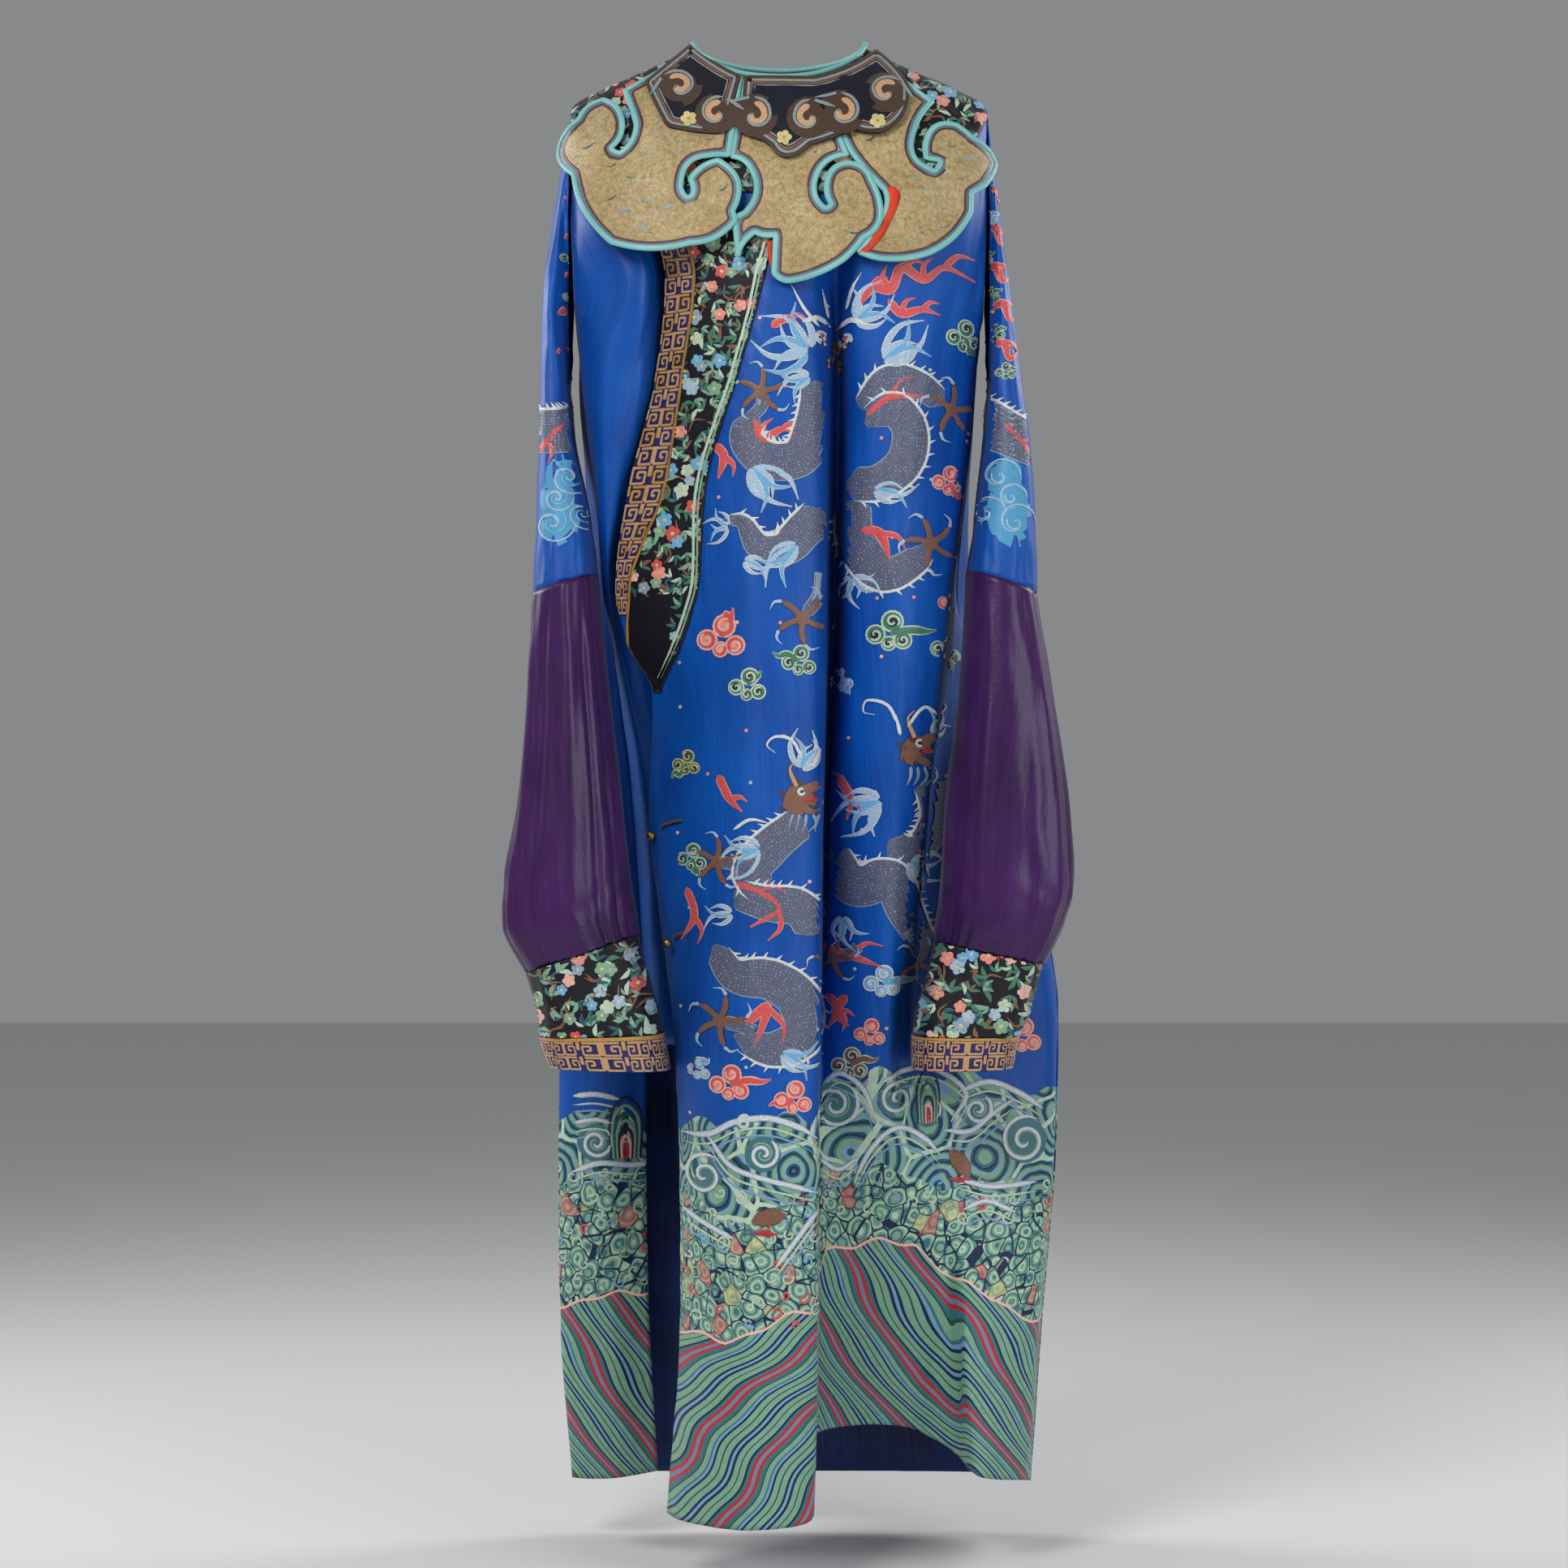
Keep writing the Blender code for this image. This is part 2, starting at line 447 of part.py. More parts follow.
# ---------------------------------------------------------------- body panels
front = Panel(panel_controls(FRONT_ROWS, FRONT_HEM_RISE, FRONT_ANGLES, -1))
back = Panel(panel_controls(BACK_ROWS, BACK_HEM_RISE, BACK_ANGLES, 1))
inner = Panel(panel_controls(INNER_ROWS, INNER_HEM_RISE, INNER_ANGLES, -1))

FRONT_ACROSS = [1, 3, 1, 2, 2, 2, 2, 2, 2, 2, 1, 1]
FRONT_DOWN = [1, 1, 1, 1, 2, 2, 2, 1, 1, 1, 2, 1, 1, 2, 2]
BACK_ACROSS = [1, 2, 2, 2, 2, 1, 2, 2]
BACK_DOWN = [1, 1, 1, 1, 1, 1, 1, 1, 1, 2, 2, 2, 2]
INNER_ACROSS = [1, 2, 2, 1, 1, 1]
INNER_DOWN = [1, 1, 1, 1, 1, 2, 1, 1, 1, 2]
front_grid = front.grid(FRONT_ACROSS, FRONT_DOWN)
back_grid = back.grid(BACK_ACROSS, BACK_DOWN)
inner_grid = inner.grid(INNER_ACROSS, INNER_DOWN)
sheet("front_outer", front_grid, "blue_silk")
sheet("back_panel", back_grid, "blue_silk")
sheet("inner_front", inner_grid, "plain_blue_silk")


# ---------------------------------------------------------------- neck band
def grid_normals(grid):
    """Outward unit normals of a grid whose rows run down and columns run towards +X in front."""
    down = np.gradient(grid, axis=0)
    across = np.gradient(grid, axis=1)
    n = np.cross(down, across)
    return n / np.linalg.norm(n, axis=2, keepdims=True)


def moved_out(grid, distance):
    """The same grid, moved out along its normals."""
    return grid + grid_normals(grid) * distance


NECK_BAND_ROWS = 4
NECK_EDGE_TRIM = 0.06   # share of the first row step left free for the binding
for label, source in (("front", front_grid), ("back", back_grid), ("underlap", inner_grid)):
    part = moved_out(source, SEAM_GAP)[:NECK_BAND_ROWS].copy()
    part[0] += (part[1] - part[0]) * NECK_EDGE_TRIM
    sheet("neck_band_" + label, part, "dark_floral_silk", PLATE_WALL, offset=1.0)


# ---------------------------------------------------------------- overlap borders
BORDER_TOP = 3         # grid row under the collar where the borders begin
FRET_END = 10          # grid row where the fret gives way to the satin tip
BORDER_END = 12        # grid row where the border ends
PIPING_COLUMN = 1
BORDER_COLUMN = 4
BORDER_LIFT = 0.0005
PIPING_RADIUS = 0.0009
lifted = moved_out(front_grid, BORDER_LIFT)
fret = lifted[BORDER_TOP + 1:FRET_END + 1, :PIPING_COLUMN + 1].copy()
border = lifted[BORDER_TOP + 1:BORDER_END + 1, PIPING_COLUMN:BORDER_COLUMN + 1].copy()
piping_step = (border[:, 1] - border[:, 0])
border[:, 0] += piping_step * 0.08
sheet("fret_band", fret, "fret_silk", PLATE_WALL, offset=1.0)
sheet("border_band", border, "dark_floral_silk", PLATE_WALL, offset=1.0)


# ---------------------------------------------------------------- sleeves and cuffs
def sleeve_ring(row, count, pleat):
    """Closed ring of a flattened sleeve with optional pleats."""
    xo, zo, xi, zi, yc, half = row
    mid = np.array([(xo + xi) / 2, yc, (zo + zi) / 2])
    arm = np.array([(xo - xi) / 2, 0.0, (zo - zi) / 2])
    length = np.linalg.norm(arm)
    ring = []
    for k in range(count):
        t = 2 * math.pi * k / count
        c = math.cos(t)
        s = math.sin(t)
        wave = pleat * math.cos(PLEAT_COUNT * t) / length
        across = math.copysign(abs(c) ** (1 / SLEEVE_CORNER), c) * (1 + wave)
        deep = math.copysign(abs(s) ** (1 / SLEEVE_CORNER), s) * (1 + wave * 0.6)
        ring.append(mid + arm * across + np.array([0.0, half * deep, 0.0]))
    return ring


def shift_rows(table, first, last, gap_first, gap_last):
    """Rows of a sleeve piece with its ends pulled in by half a seam gap."""
    rows = [list(r) for r in table[first:last]]
    rows[0][1] -= gap_first
    rows[0][3] -= gap_first
    rows[-1][1] += gap_last
    rows[-1][3] += gap_last
    return rows


RING_POINTS = 13


def sleeve(name, rows, material, pleats=None, refine=1, mirror=False):
    """Sleeve tube through its rings, open at both ends."""
    table = np.array(rows)
    steps = subdivide(np.arange(len(table)), refine)
    smooth = hermite(np.arange(len(table)), table, steps)
    depth = [0.0] * len(smooth) if pleats is None else pleats(steps / steps[-1])
    grid = np.array([sleeve_ring(r, RING_POINTS, d) for r, d in zip(smooth, depth)])
    obj = sheet(name, grid, material, closed=True, flip=not mirror)
    return obj


def gathered(share):
    """Pleat depth along the purple length, deepest just above the cuff."""
    return PLEAT_DEPTH * np.clip(share * 1.5, 0.15, 1.0) * np.where(share > 0.97, 0.4, 1.0)


def cuff_split(table, share_from, share_to, gap):
    """Part of a cuff between two shares of its length."""
    rows = np.array(table)
    steps = np.linspace(share_from, share_to, 4) * (len(rows) - 1)
    out = hermite(np.arange(len(rows)), rows, steps)
    out[0, [1, 3]] -= gap
    out[-1, [1, 3]] += gap
    return out


HALF_GAP = SEAM_GAP / 2 + 0.0001
FRET_FROM = 1 - FRET_SHARE
for side, table, cuff in (("right", SLEEVE_PLUS, CUFF_PLUS), ("left", SLEEVE_MINUS, CUFF_MINUS)):
    mirror = side == "left"
    upper = shift_rows(table, 0, SLEEVE_SEAM_ROW + 1, 0.0, HALF_GAP)
    lower = shift_rows(table, SLEEVE_SEAM_ROW, len(table), HALF_GAP, HALF_GAP)
    sleeve("sleeve_upper_" + side, upper, "blue_silk", mirror=mirror)
    sleeve("sleeve_lower_" + side, lower, "purple_silk", gathered, 1, mirror)
    sleeve("cuff_" + side, cuff_split(cuff, 0, FRET_FROM, HALF_GAP), "dark_floral_silk", mirror=mirror)
    sleeve("cuff_fret_" + side, cuff_split(cuff, FRET_FROM, 1, HALF_GAP), "fret_silk", mirror=mirror)


# ---------------------------------------------------------------- cloud collar
ARC_STEP = 0.010
MESH_STEP = 0.019
BACK_COARSER = 1.25      # the plain back lobes are stepped this much wider


def outline(table, arc_step):
    """Closed outline in the front view from rows of arcs."""
    count = len(table)
    area = sum(table[i][0] * table[(i + 1) % count][1] - table[(i + 1) % count][0] * table[i][1]
               for i in range(count))
    turn = 1.0 if area > 0 else -1.0
    points = []
    for i in range(count):
        x0, z0, rise = table[i]
        x1, z1, _ = table[(i + 1) % count]
        dx = x1 - x0
        dz = z1 - z0
        length = math.hypot(dx, dz)
        pieces = max(1, round(length / arc_step))
        for k in range(pieces):
            t = k / pieces
            bulge = 4 * t * (1 - t) * rise * turn
            points.append((x0 + dx * t + dz / length * bulge, z0 + dz * t - dx / length * bulge))
    return points


def inside(point, loop):
    """Whether a point lies in a closed outline."""
    x, z = point
    hit = False
    for i in range(len(loop)):
        x0, z0 = loop[i]
        x1, z1 = loop[i - 1]
        if (z0 > z) != (z1 > z) and x < (x1 - x0) * (z - z0) / (z1 - z0) + x0:
            hit = not hit
    return hit


def plate(name, table, lift, material, back=False):
    """Collar plate: flat outline with a net of inner points, laid on the shoulder form."""
    step = MESH_STEP * (BACK_COARSER if back else 1.0)
    loop = outline(table, ARC_STEP * (BACK_COARSER if back else 1.0))
    count = len(loop)
    xs = [p[0] for p in loop]
    zs = [p[1] for p in loop]
    net = list(loop)
    x = min(xs) + step / 2
    while x < max(xs):
        z = min(zs) + step / 2
        while z < max(zs):
            near = min(math.hypot(x - a, z - b) for a, b in loop)
            if inside((x, z), loop) and near > step * 0.45:
                net.append((x, z))
            z += step
        x += step
    edges = [(i, (i + 1) % count) for i in range(count)]
    flat = [Vector(p) for p in net]
    result = delaunay_2d_cdt(flat, edges, [list(range(count))], 1, 1e-6)
    verts = []
    for p in result[0]:
        angle, reach = reach_at(p[0], p[1])
        if back:
            angle = math.pi - angle
        verts.append(on_form(angle, reach) + form_normal(angle, reach) * lift)
    faces = []
    for f in result[2]:
        a, b, c = [verts[i] for i in f[:3]]
        n = np.cross(b - a, c - a)
        mid = (a + b + c) / 3
        out = mid - np.array([0.0, 0.0, -0.25])
        faces.append(tuple(f) if np.dot(n, out) > 0 else tuple(reversed(f)))
    obj = add_object(name, verts, faces, material)
    return thicken(obj, PLATE_WALL, 1.0)


def mirrored(table):
    """The same outline with its sides swapped."""
    return tuple((-x, z, rise) for x, z, rise in table)


def both_sides(half):
    """Closed outline from the arcs of its +X half, given from the top middle down."""
    far = []
    for k in range(len(half) - 1, -1, -1):
        x, z, _ = half[k]
        rise = half[k - 1][2] if k > 0 else 0.0
        far.append((-x, z, rise))
    return tuple(half) + tuple(far)


LOBE_BACK = both_sides(LOBE_FRONT[1:13])
INNER_COLLAR_BACK = both_sides((INNER_COLLAR_PLUS[12],) + BACK_INNER_EDGE)


PLATE_START = 0.0042
PLATE_LAYER = 0.0020
plate("collar_lobe_right", LOBE_PLUS, PLATE_START, "cream_silk")
plate("collar_lobe_front", LOBE_FRONT, PLATE_START + PLATE_LAYER, "cream_silk")
plate("collar_lobe_left", LOBE_MINUS, PLATE_START + 2 * PLATE_LAYER, "cream_silk")
plate("collar_inner_left", INNER_COLLAR_MINUS, PLATE_START + 3.5 * PLATE_LAYER, "navy_silk")
plate("collar_inner_right", INNER_COLLAR_PLUS, PLATE_START + 3.5 * PLATE_LAYER, "navy_silk")
plate("collar_lining_right", LINING_PLUS, PLATE_START + PLATE_LAYER, "orange_lining")
plate("collar_lining_slit", LINING_SLIT, PLATE_START + PLATE_LAYER, "orange_lining")
plate("collar_back_lobe_right", LOBE_PLUS, PLATE_START, "cream_silk", True)
plate("collar_back_lobe_left", mirrored(LOBE_PLUS), PLATE_START, "cream_silk", True)
plate("collar_back_lobe_middle", LOBE_BACK, PLATE_START + 1.5 * PLATE_LAYER, "cream_silk", True)
plate("collar_inner_back", INNER_COLLAR_BACK, PLATE_START + 3.5 * PLATE_LAYER, "navy_silk", True)


# ---------------------------------------------------------------- cords, binding and buttons
def cord(name, points, radius, material, closed=False):
    """Round cord along points, ends filled."""
    data = bpy.data.curves.new(name, "CURVE")
    data.dimensions = "3D"
    data.bevel_depth = radius
    data.bevel_resolution = 1
    data.use_fill_caps = not closed
    spline = data.splines.new("POLY")
    spline.points.add(len(points) - 1)
    for slot, p in zip(spline.points, points):
        slot.co = (p[0], p[1], p[2], 1.0)
    spline.use_cyclic_u = closed
    obj = bpy.data.objects.new(name, data)
    COLLECTION.objects.link(obj)
    data.materials.append(MADE[material])
    return obj


BINDING_POINTS = 26
BINDING_RISE = 0.0066
binding = []
for step in range(BINDING_POINTS):
    p = on_form(2 * math.pi * step / BINDING_POINTS, 0.0)
    binding.append(p + np.array([0.0, 0.0, BINDING_RISE]))
cord("neck_binding", binding, BINDING_RADIUS, "turquoise_binding", True)

PIPING_LIFT = BORDER_LIFT + PLATE_WALL + PIPING_RADIUS + SEAM_GAP
piping_grid = moved_out(front_grid, PIPING_LIFT)[BORDER_TOP + 1:FRET_END + 1, PIPING_COLUMN]
cord("gold_piping", piping_grid, PIPING_RADIUS, "gold_piping")

LOOP_RADIUS = 0.0013
CORD_CLEARANCE = 2.2     # cord centre stands this many radii in front of the cloth
FRONT_TREE = BVHTree.FromPolygons(
    [v.co.copy() for v in bpy.data.objects["front_outer"].data.vertices],
    [tuple(p.vertices) for p in bpy.data.objects["front_outer"].data.polygons])
VIEW_FROM_Y = -1.0
VIEW_DIRECTION = Vector((0.0, 1.0, 0.0))


def on_front(x, z, lift):
    """Point on the outer front as seen from in front, brought out along its normal."""
    hit, normal, _, _ = FRONT_TREE.ray_cast(Vector((x, VIEW_FROM_Y, z)), VIEW_DIRECTION)
    facing = 1.0 if normal[1] < 0 else -1.0
    return hit + normal * (facing * lift)


# cord loops and the flap toggle: name, material, radius, points (x, z) in the front view
CORDS = (
    ("button_loop_upper", "brown_cord", LOOP_RADIUS,
     ((-0.1100, -0.7471), (-0.1060, -0.7452), (-0.0960, -0.7420), (-0.0900, -0.7408))),
    ("button_loop_lower", "brown_cord", LOOP_RADIUS,
     ((-0.0975, -0.8520), (-0.0930, -0.8490), (-0.0890, -0.8475))),
)
for name, material, radius, path in CORDS:
    lift = radius * CORD_CLEARANCE
    cord(name, [on_front(x, z, lift) for x, z in path], radius, material)

# closing buttons: name, x, y, z
BUTTONS = (
    ("button_upper", -0.1219, -0.0470, -0.7564),
    ("button_lower", -0.1056, -0.0680, -0.8580),
)
for name, x, y, z in BUTTONS:
    ball = bmesh.new()
    bmesh.ops.create_uvsphere(ball, u_segments=10, v_segments=7, radius=BUTTON_RADIUS)
    mesh = bpy.data.meshes.new(name)
    ball.to_mesh(mesh)
    ball.free()
    obj = bpy.data.objects.new(name, mesh)
    obj.location = (x, y, z)
    COLLECTION.objects.link(obj)
    mesh.materials.append(MADE["brass"])
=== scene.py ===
# Looks of the dragon robe: silk shells on the CAD form, raised embroidery, bindings and cords.
import json
import math
import random

import bpy
import numpy as np
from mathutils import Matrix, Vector
from mathutils.bvhtree import BVHTree
from mathutils.geometry import delaunay_2d_cdt

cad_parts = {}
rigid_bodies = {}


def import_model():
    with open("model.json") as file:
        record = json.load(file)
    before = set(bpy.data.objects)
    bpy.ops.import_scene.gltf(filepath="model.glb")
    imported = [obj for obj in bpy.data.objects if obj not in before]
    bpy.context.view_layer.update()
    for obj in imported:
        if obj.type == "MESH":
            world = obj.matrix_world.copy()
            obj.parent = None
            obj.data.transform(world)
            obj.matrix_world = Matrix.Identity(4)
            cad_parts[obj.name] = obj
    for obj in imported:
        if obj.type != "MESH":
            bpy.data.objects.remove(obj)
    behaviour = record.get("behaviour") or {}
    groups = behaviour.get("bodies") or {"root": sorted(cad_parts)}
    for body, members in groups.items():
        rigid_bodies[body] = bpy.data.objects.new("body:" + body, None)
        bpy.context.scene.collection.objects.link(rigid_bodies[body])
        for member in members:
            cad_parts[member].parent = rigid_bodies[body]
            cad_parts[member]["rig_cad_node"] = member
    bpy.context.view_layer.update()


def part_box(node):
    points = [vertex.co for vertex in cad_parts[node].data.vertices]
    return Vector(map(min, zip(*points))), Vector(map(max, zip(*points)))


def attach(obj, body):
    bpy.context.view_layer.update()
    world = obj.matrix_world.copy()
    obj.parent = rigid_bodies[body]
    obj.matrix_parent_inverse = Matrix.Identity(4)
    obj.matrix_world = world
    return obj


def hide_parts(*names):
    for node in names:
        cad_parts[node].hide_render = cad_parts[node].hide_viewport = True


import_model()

ROOT = "root"
random.seed(7)

# ---------------------------------------------------------------- sizes (m)
WALL = 0.0015
SEAM_GAP = 0.0003
PLATE_WALL = 0.0013
SHOULDER_HALF_GAP = 0.0003
SHOULDER_POWER = 1.15
NORMAL_STEP = 0.004
SIDE_LIMIT = 0.992
STITCH_STEP = 0.0022     # spacing of the points along a line of stitches
STITCH_LIFT = 0.00035    # the lowest stitches stand this far off the silk
LAYER_LIFT = 0.00016     # each further layer of stitches stands this much higher
STITCH_DOME = 0.00035    # a stitched line swells this much in its middle

# Shoulder form, a row for each ring below the neck edge.
# reach along the cloth, half width, depth in front, depth behind, z front, z side, z back,
# roundness (1 is an ellipse, less is squarer)
FORM_RINGS = np.array([
    (0.000, 0.0830, 0.072, 0.078, -0.0445, 0.000, -0.013, 1.00),
    (0.045, 0.1250, 0.096, 0.098, -0.080, -0.020, -0.045, 0.90),
    (0.090, 0.1660, 0.114, 0.112, -0.117, -0.038, -0.086, 0.82),
    (0.135, 0.1990, 0.127, 0.122, -0.157, -0.061, -0.130, 0.76),
    (0.180, 0.2065, 0.135, 0.127, -0.199, -0.103, -0.176, 0.74),
    (0.230, 0.2120, 0.141, 0.130, -0.250, -0.153, -0.226, 0.74),
    (0.280, 0.2160, 0.145, 0.132, -0.300, -0.203, -0.276, 0.74),
])

# Outer front: columns are lines from the free edge to the side seam, each (x, y):
# edge, piping, border edge, left fold, ridge, right fold, crease, crease side, swell,
# arm front, arm back, side, seam
FRONT_ANGLES = (-33, -24, 0, 3, 6, 10, 16, 22, 36, 60, 74, 83, 90)
FRONT_ROWS = {
    -0.230: ((-0.106, -0.088), (-0.078, -0.113), (-0.012, -0.138), (-0.001, -0.139), (0.013, -0.138),
             (0.032, -0.131), (0.054, -0.098), (0.074, -0.124), (0.118, -0.116), (0.168, -0.088),
             (0.188, -0.068), (0.193, -0.063), (0.1955, -0.058)),
    -0.320: ((-0.115, -0.070), (-0.089, -0.101), (-0.0355, -0.141), (-0.024, -0.145), (-0.002, -0.147),
             (0.035, -0.136), (0.056, -0.060), (0.072, -0.112), (0.115, -0.125), (0.168, -0.082),
             (0.184, -0.045), (0.188, -0.015), (0.189, -0.001)),
    -0.430: ((-0.142, -0.066), (-0.107, -0.092), (-0.0675, -0.121), (-0.060, -0.128), (-0.016, -0.150),
             (0.036, -0.138), (0.055, -0.038), (0.069, -0.102), (0.114, -0.126), (0.163, -0.084),
             (0.176, -0.033), (0.179, 0.010), (0.180, 0.035)),
    -0.520: ((-0.154, -0.060), (-0.140, -0.069), (-0.0745, -0.115), (-0.069, -0.121), (-0.019, -0.153),
             (0.036, -0.140), (0.053, -0.028), (0.066, -0.096), (0.112, -0.125), (0.158, -0.084),
             (0.167, -0.022), (0.171, 0.028), (0.173, 0.054)),
    -0.572: ((-0.145, -0.052), (-0.142, -0.055), (-0.089, -0.101), (-0.070, -0.119), (-0.019, -0.155),
             (0.036, -0.141), (0.052, -0.025), (0.064, -0.092), (0.111, -0.123), (0.154, -0.083),
             (0.163, -0.016), (0.175, 0.036), (0.185, 0.062)),
    -0.620: ((-0.121, -0.045), (-0.119, -0.048), (-0.110, -0.060), (-0.071, -0.118), (-0.019, -0.156),
             (0.036, -0.142), (0.050, -0.022), (0.062, -0.088), (0.110, -0.121), (0.149, -0.080),
             (0.158, -0.008), (0.180, 0.043), (0.199, 0.068)),
    -0.730: ((-0.124, -0.035), (-0.120, -0.042), (-0.105, -0.066), (-0.070, -0.118), (-0.019, -0.160),
             (0.036, -0.145), (0.045, -0.022), (0.058, -0.078), (0.106, -0.110), (0.137, -0.070),
             (0.151, 0.016), (0.213, 0.050), (0.231, 0.080)),
    -0.930: ((-0.102, -0.040), (-0.099, -0.048), (-0.090, -0.074), (-0.070, -0.122), (-0.019, -0.165),
             (0.036, -0.150), (0.040, -0.030), (0.060, -0.050), (0.103, -0.064), (0.121, -0.032),
             (0.151, 0.024), (0.264, 0.052), (0.274, 0.090)),
    -0.985: ((-0.098, -0.050), (-0.095, -0.058), (-0.087, -0.082), (-0.071, -0.123), (-0.020, -0.166),
             (0.035, -0.151), (0.040, -0.033), (0.062, -0.045), (0.103, -0.052), (0.119, -0.018),
             (0.150, 0.020), (0.265, 0.046), (0.273, 0.088)),
    -1.085: ((-0.094, -0.065), (-0.092, -0.072), (-0.086, -0.094), (-0.073, -0.125), (-0.021, -0.168),
             (0.034, -0.152), (0.039, -0.045), (0.070, -0.028), (0.114, -0.022), (0.150, -0.010),
             (0.183, 0.002), (0.263, 0.036), (0.270, 0.082)),
    -1.220: ((-0.094, -0.075), (-0.092, -0.082), (-0.087, -0.100), (-0.074, -0.127), (-0.024, -0.170),
             (0.034, -0.152), (0.039, -0.045), (0.078, -0.008), (0.122, 0.002), (0.162, -0.006),
             (0.180, -0.034), (0.248, 0.008), (0.258, 0.070)),
    -1.398: ((-0.106, -0.070), (-0.104, -0.077), (-0.099, -0.095), (-0.086, -0.120), (-0.026, -0.170),
             (0.031, -0.150), (0.035, -0.045), (0.081, 0.010), (0.123, 0.015), (0.166, -0.005),
             (0.190, -0.050), (0.239, -0.005), (0.245, 0.050)),
}
# How far the hem of each fold line rises above the lowest row.
FRONT_HEM_RISE = (0.001, 0.001, 0.001, 0.001, 0.002, 0.009, 0.071, 0.072, 0.069, 0.050, 0.032, 0.021,
    0.012)

# Back: columns from the seam at +X round the back to the slit edge at -X.
BACK_ANGLES = (90, 112, 146, 180, 214, 248, 259, 265, 270)
BACK_ROWS = {
    -0.230: ((0.1955, 0.058), (0.184, 0.076), (0.113, 0.110), (0.000, 0.128), (-0.113, 0.110),
             (-0.184, 0.076), (-0.192, 0.067), (-0.194, 0.062), (-0.1955, 0.058)),
    -0.320: ((0.190, 0.003), (0.189, 0.070), (0.113, 0.125), (0.000, 0.135), (-0.113, 0.125),
             (-0.191, 0.080), (-0.195, 0.050), (-0.193, 0.028), (-0.190, 0.003)),
    -0.430: ((0.181, 0.038), (0.186, 0.088), (0.113, 0.133), (0.000, 0.141), (-0.113, 0.133),
             (-0.186, 0.098), (-0.189, 0.076), (-0.181, 0.052), (-0.174, 0.034)),
    -0.520: ((0.174, 0.058), (0.187, 0.102), (0.113, 0.139), (0.000, 0.146), (-0.113, 0.139),
             (-0.183, 0.113), (-0.190, 0.092), (-0.180, 0.068), (-0.168, 0.056)),
    -0.620: ((0.200, 0.072), (0.203, 0.115), (0.117, 0.145), (0.000, 0.150), (-0.118, 0.145),
             (-0.189, 0.122), (-0.199, 0.100), (-0.177, 0.072), (-0.156, 0.062)),
    -0.730: ((0.232, 0.084), (0.226, 0.125), (0.122, 0.150), (0.000, 0.155), (-0.122, 0.150),
             (-0.196, 0.132), (-0.207, 0.110), (-0.179, 0.082), (-0.143, 0.072)),
    -0.930: ((0.275, 0.094), (0.263, 0.135), (0.126, 0.160), (0.000, 0.163), (-0.126, 0.158),
             (-0.204, 0.140), (-0.217, 0.115), (-0.176, 0.085), (-0.131, 0.092)),
    -1.085: ((0.271, 0.084), (0.262, 0.135), (0.128, 0.165), (0.000, 0.168), (-0.128, 0.163),
             (-0.206, 0.146), (-0.219, 0.118), (-0.174, 0.088), (-0.131, 0.100)),
    -1.220: ((0.259, 0.074), (0.254, 0.135), (0.129, 0.168), (0.000, 0.170), (-0.128, 0.168),
             (-0.205, 0.150), (-0.218, 0.120), (-0.172, 0.090), (-0.129, 0.105)),
    -1.398: ((0.246, 0.054), (0.245, 0.130), (0.126, 0.170), (0.000, 0.172), (-0.127, 0.170),
             (-0.193, 0.150), (-0.206, 0.120), (-0.164, 0.095), (-0.120, 0.110)),
}
BACK_HEM_RISE = (0.011, 0.005, 0.001, 0.001, 0.001, 0.002, 0.003, 0.006, 0.011)

# Inner front, the plain underlap: columns from the side seam at -X to its hidden edge.
INNER_ANGLES = (-90, -76, -60, -50, -43, -38, -33.5)
INNER_ROWS = {
    -0.230: ((-0.1955, -0.058), (-0.188, -0.070), (-0.164, -0.088), (-0.130, -0.099),
             (-0.114, -0.080), (-0.102, -0.030), (-0.050, -0.060)),
    -0.320: ((-0.190, -0.002), (-0.187, -0.050), (-0.162, -0.086), (-0.133, -0.086),
             (-0.120, -0.064), (-0.106, -0.020), (-0.054, -0.055)),
    -0.430: ((-0.175, 0.030), (-0.176, -0.030), (-0.164, -0.066), (-0.150, -0.064),
             (-0.143, -0.048), (-0.128, -0.010), (-0.064, -0.048)),
    -0.520: ((-0.168, 0.053), (-0.168, -0.010), (-0.163, -0.040), (-0.160, -0.036),
             (-0.156, -0.026), (-0.140, 0.000), (-0.070, -0.040)),
    -0.620: ((-0.156, 0.059), (-0.152, 0.010), (-0.144, -0.004), (-0.133, 0.000),
             (-0.120, 0.004), (-0.102, 0.006), (-0.070, -0.008)),
    -0.730: ((-0.143, 0.069), (-0.135, 0.026), (-0.126, 0.016), (-0.114, 0.014),
             (-0.102, 0.013), (-0.088, 0.012), (-0.063, 0.008)),
    -0.960: ((-0.131, 0.089), (-0.122, 0.040), (-0.110, 0.030), (-0.098, 0.028),
             (-0.087, 0.028), (-0.075, 0.028), (-0.055, 0.024)),
}
INNER_HEM_RISE = (0, 0, 0, 0, 0, 0, 0)
RING_REACHES = (0.0, 0.045, 0.090, 0.135)

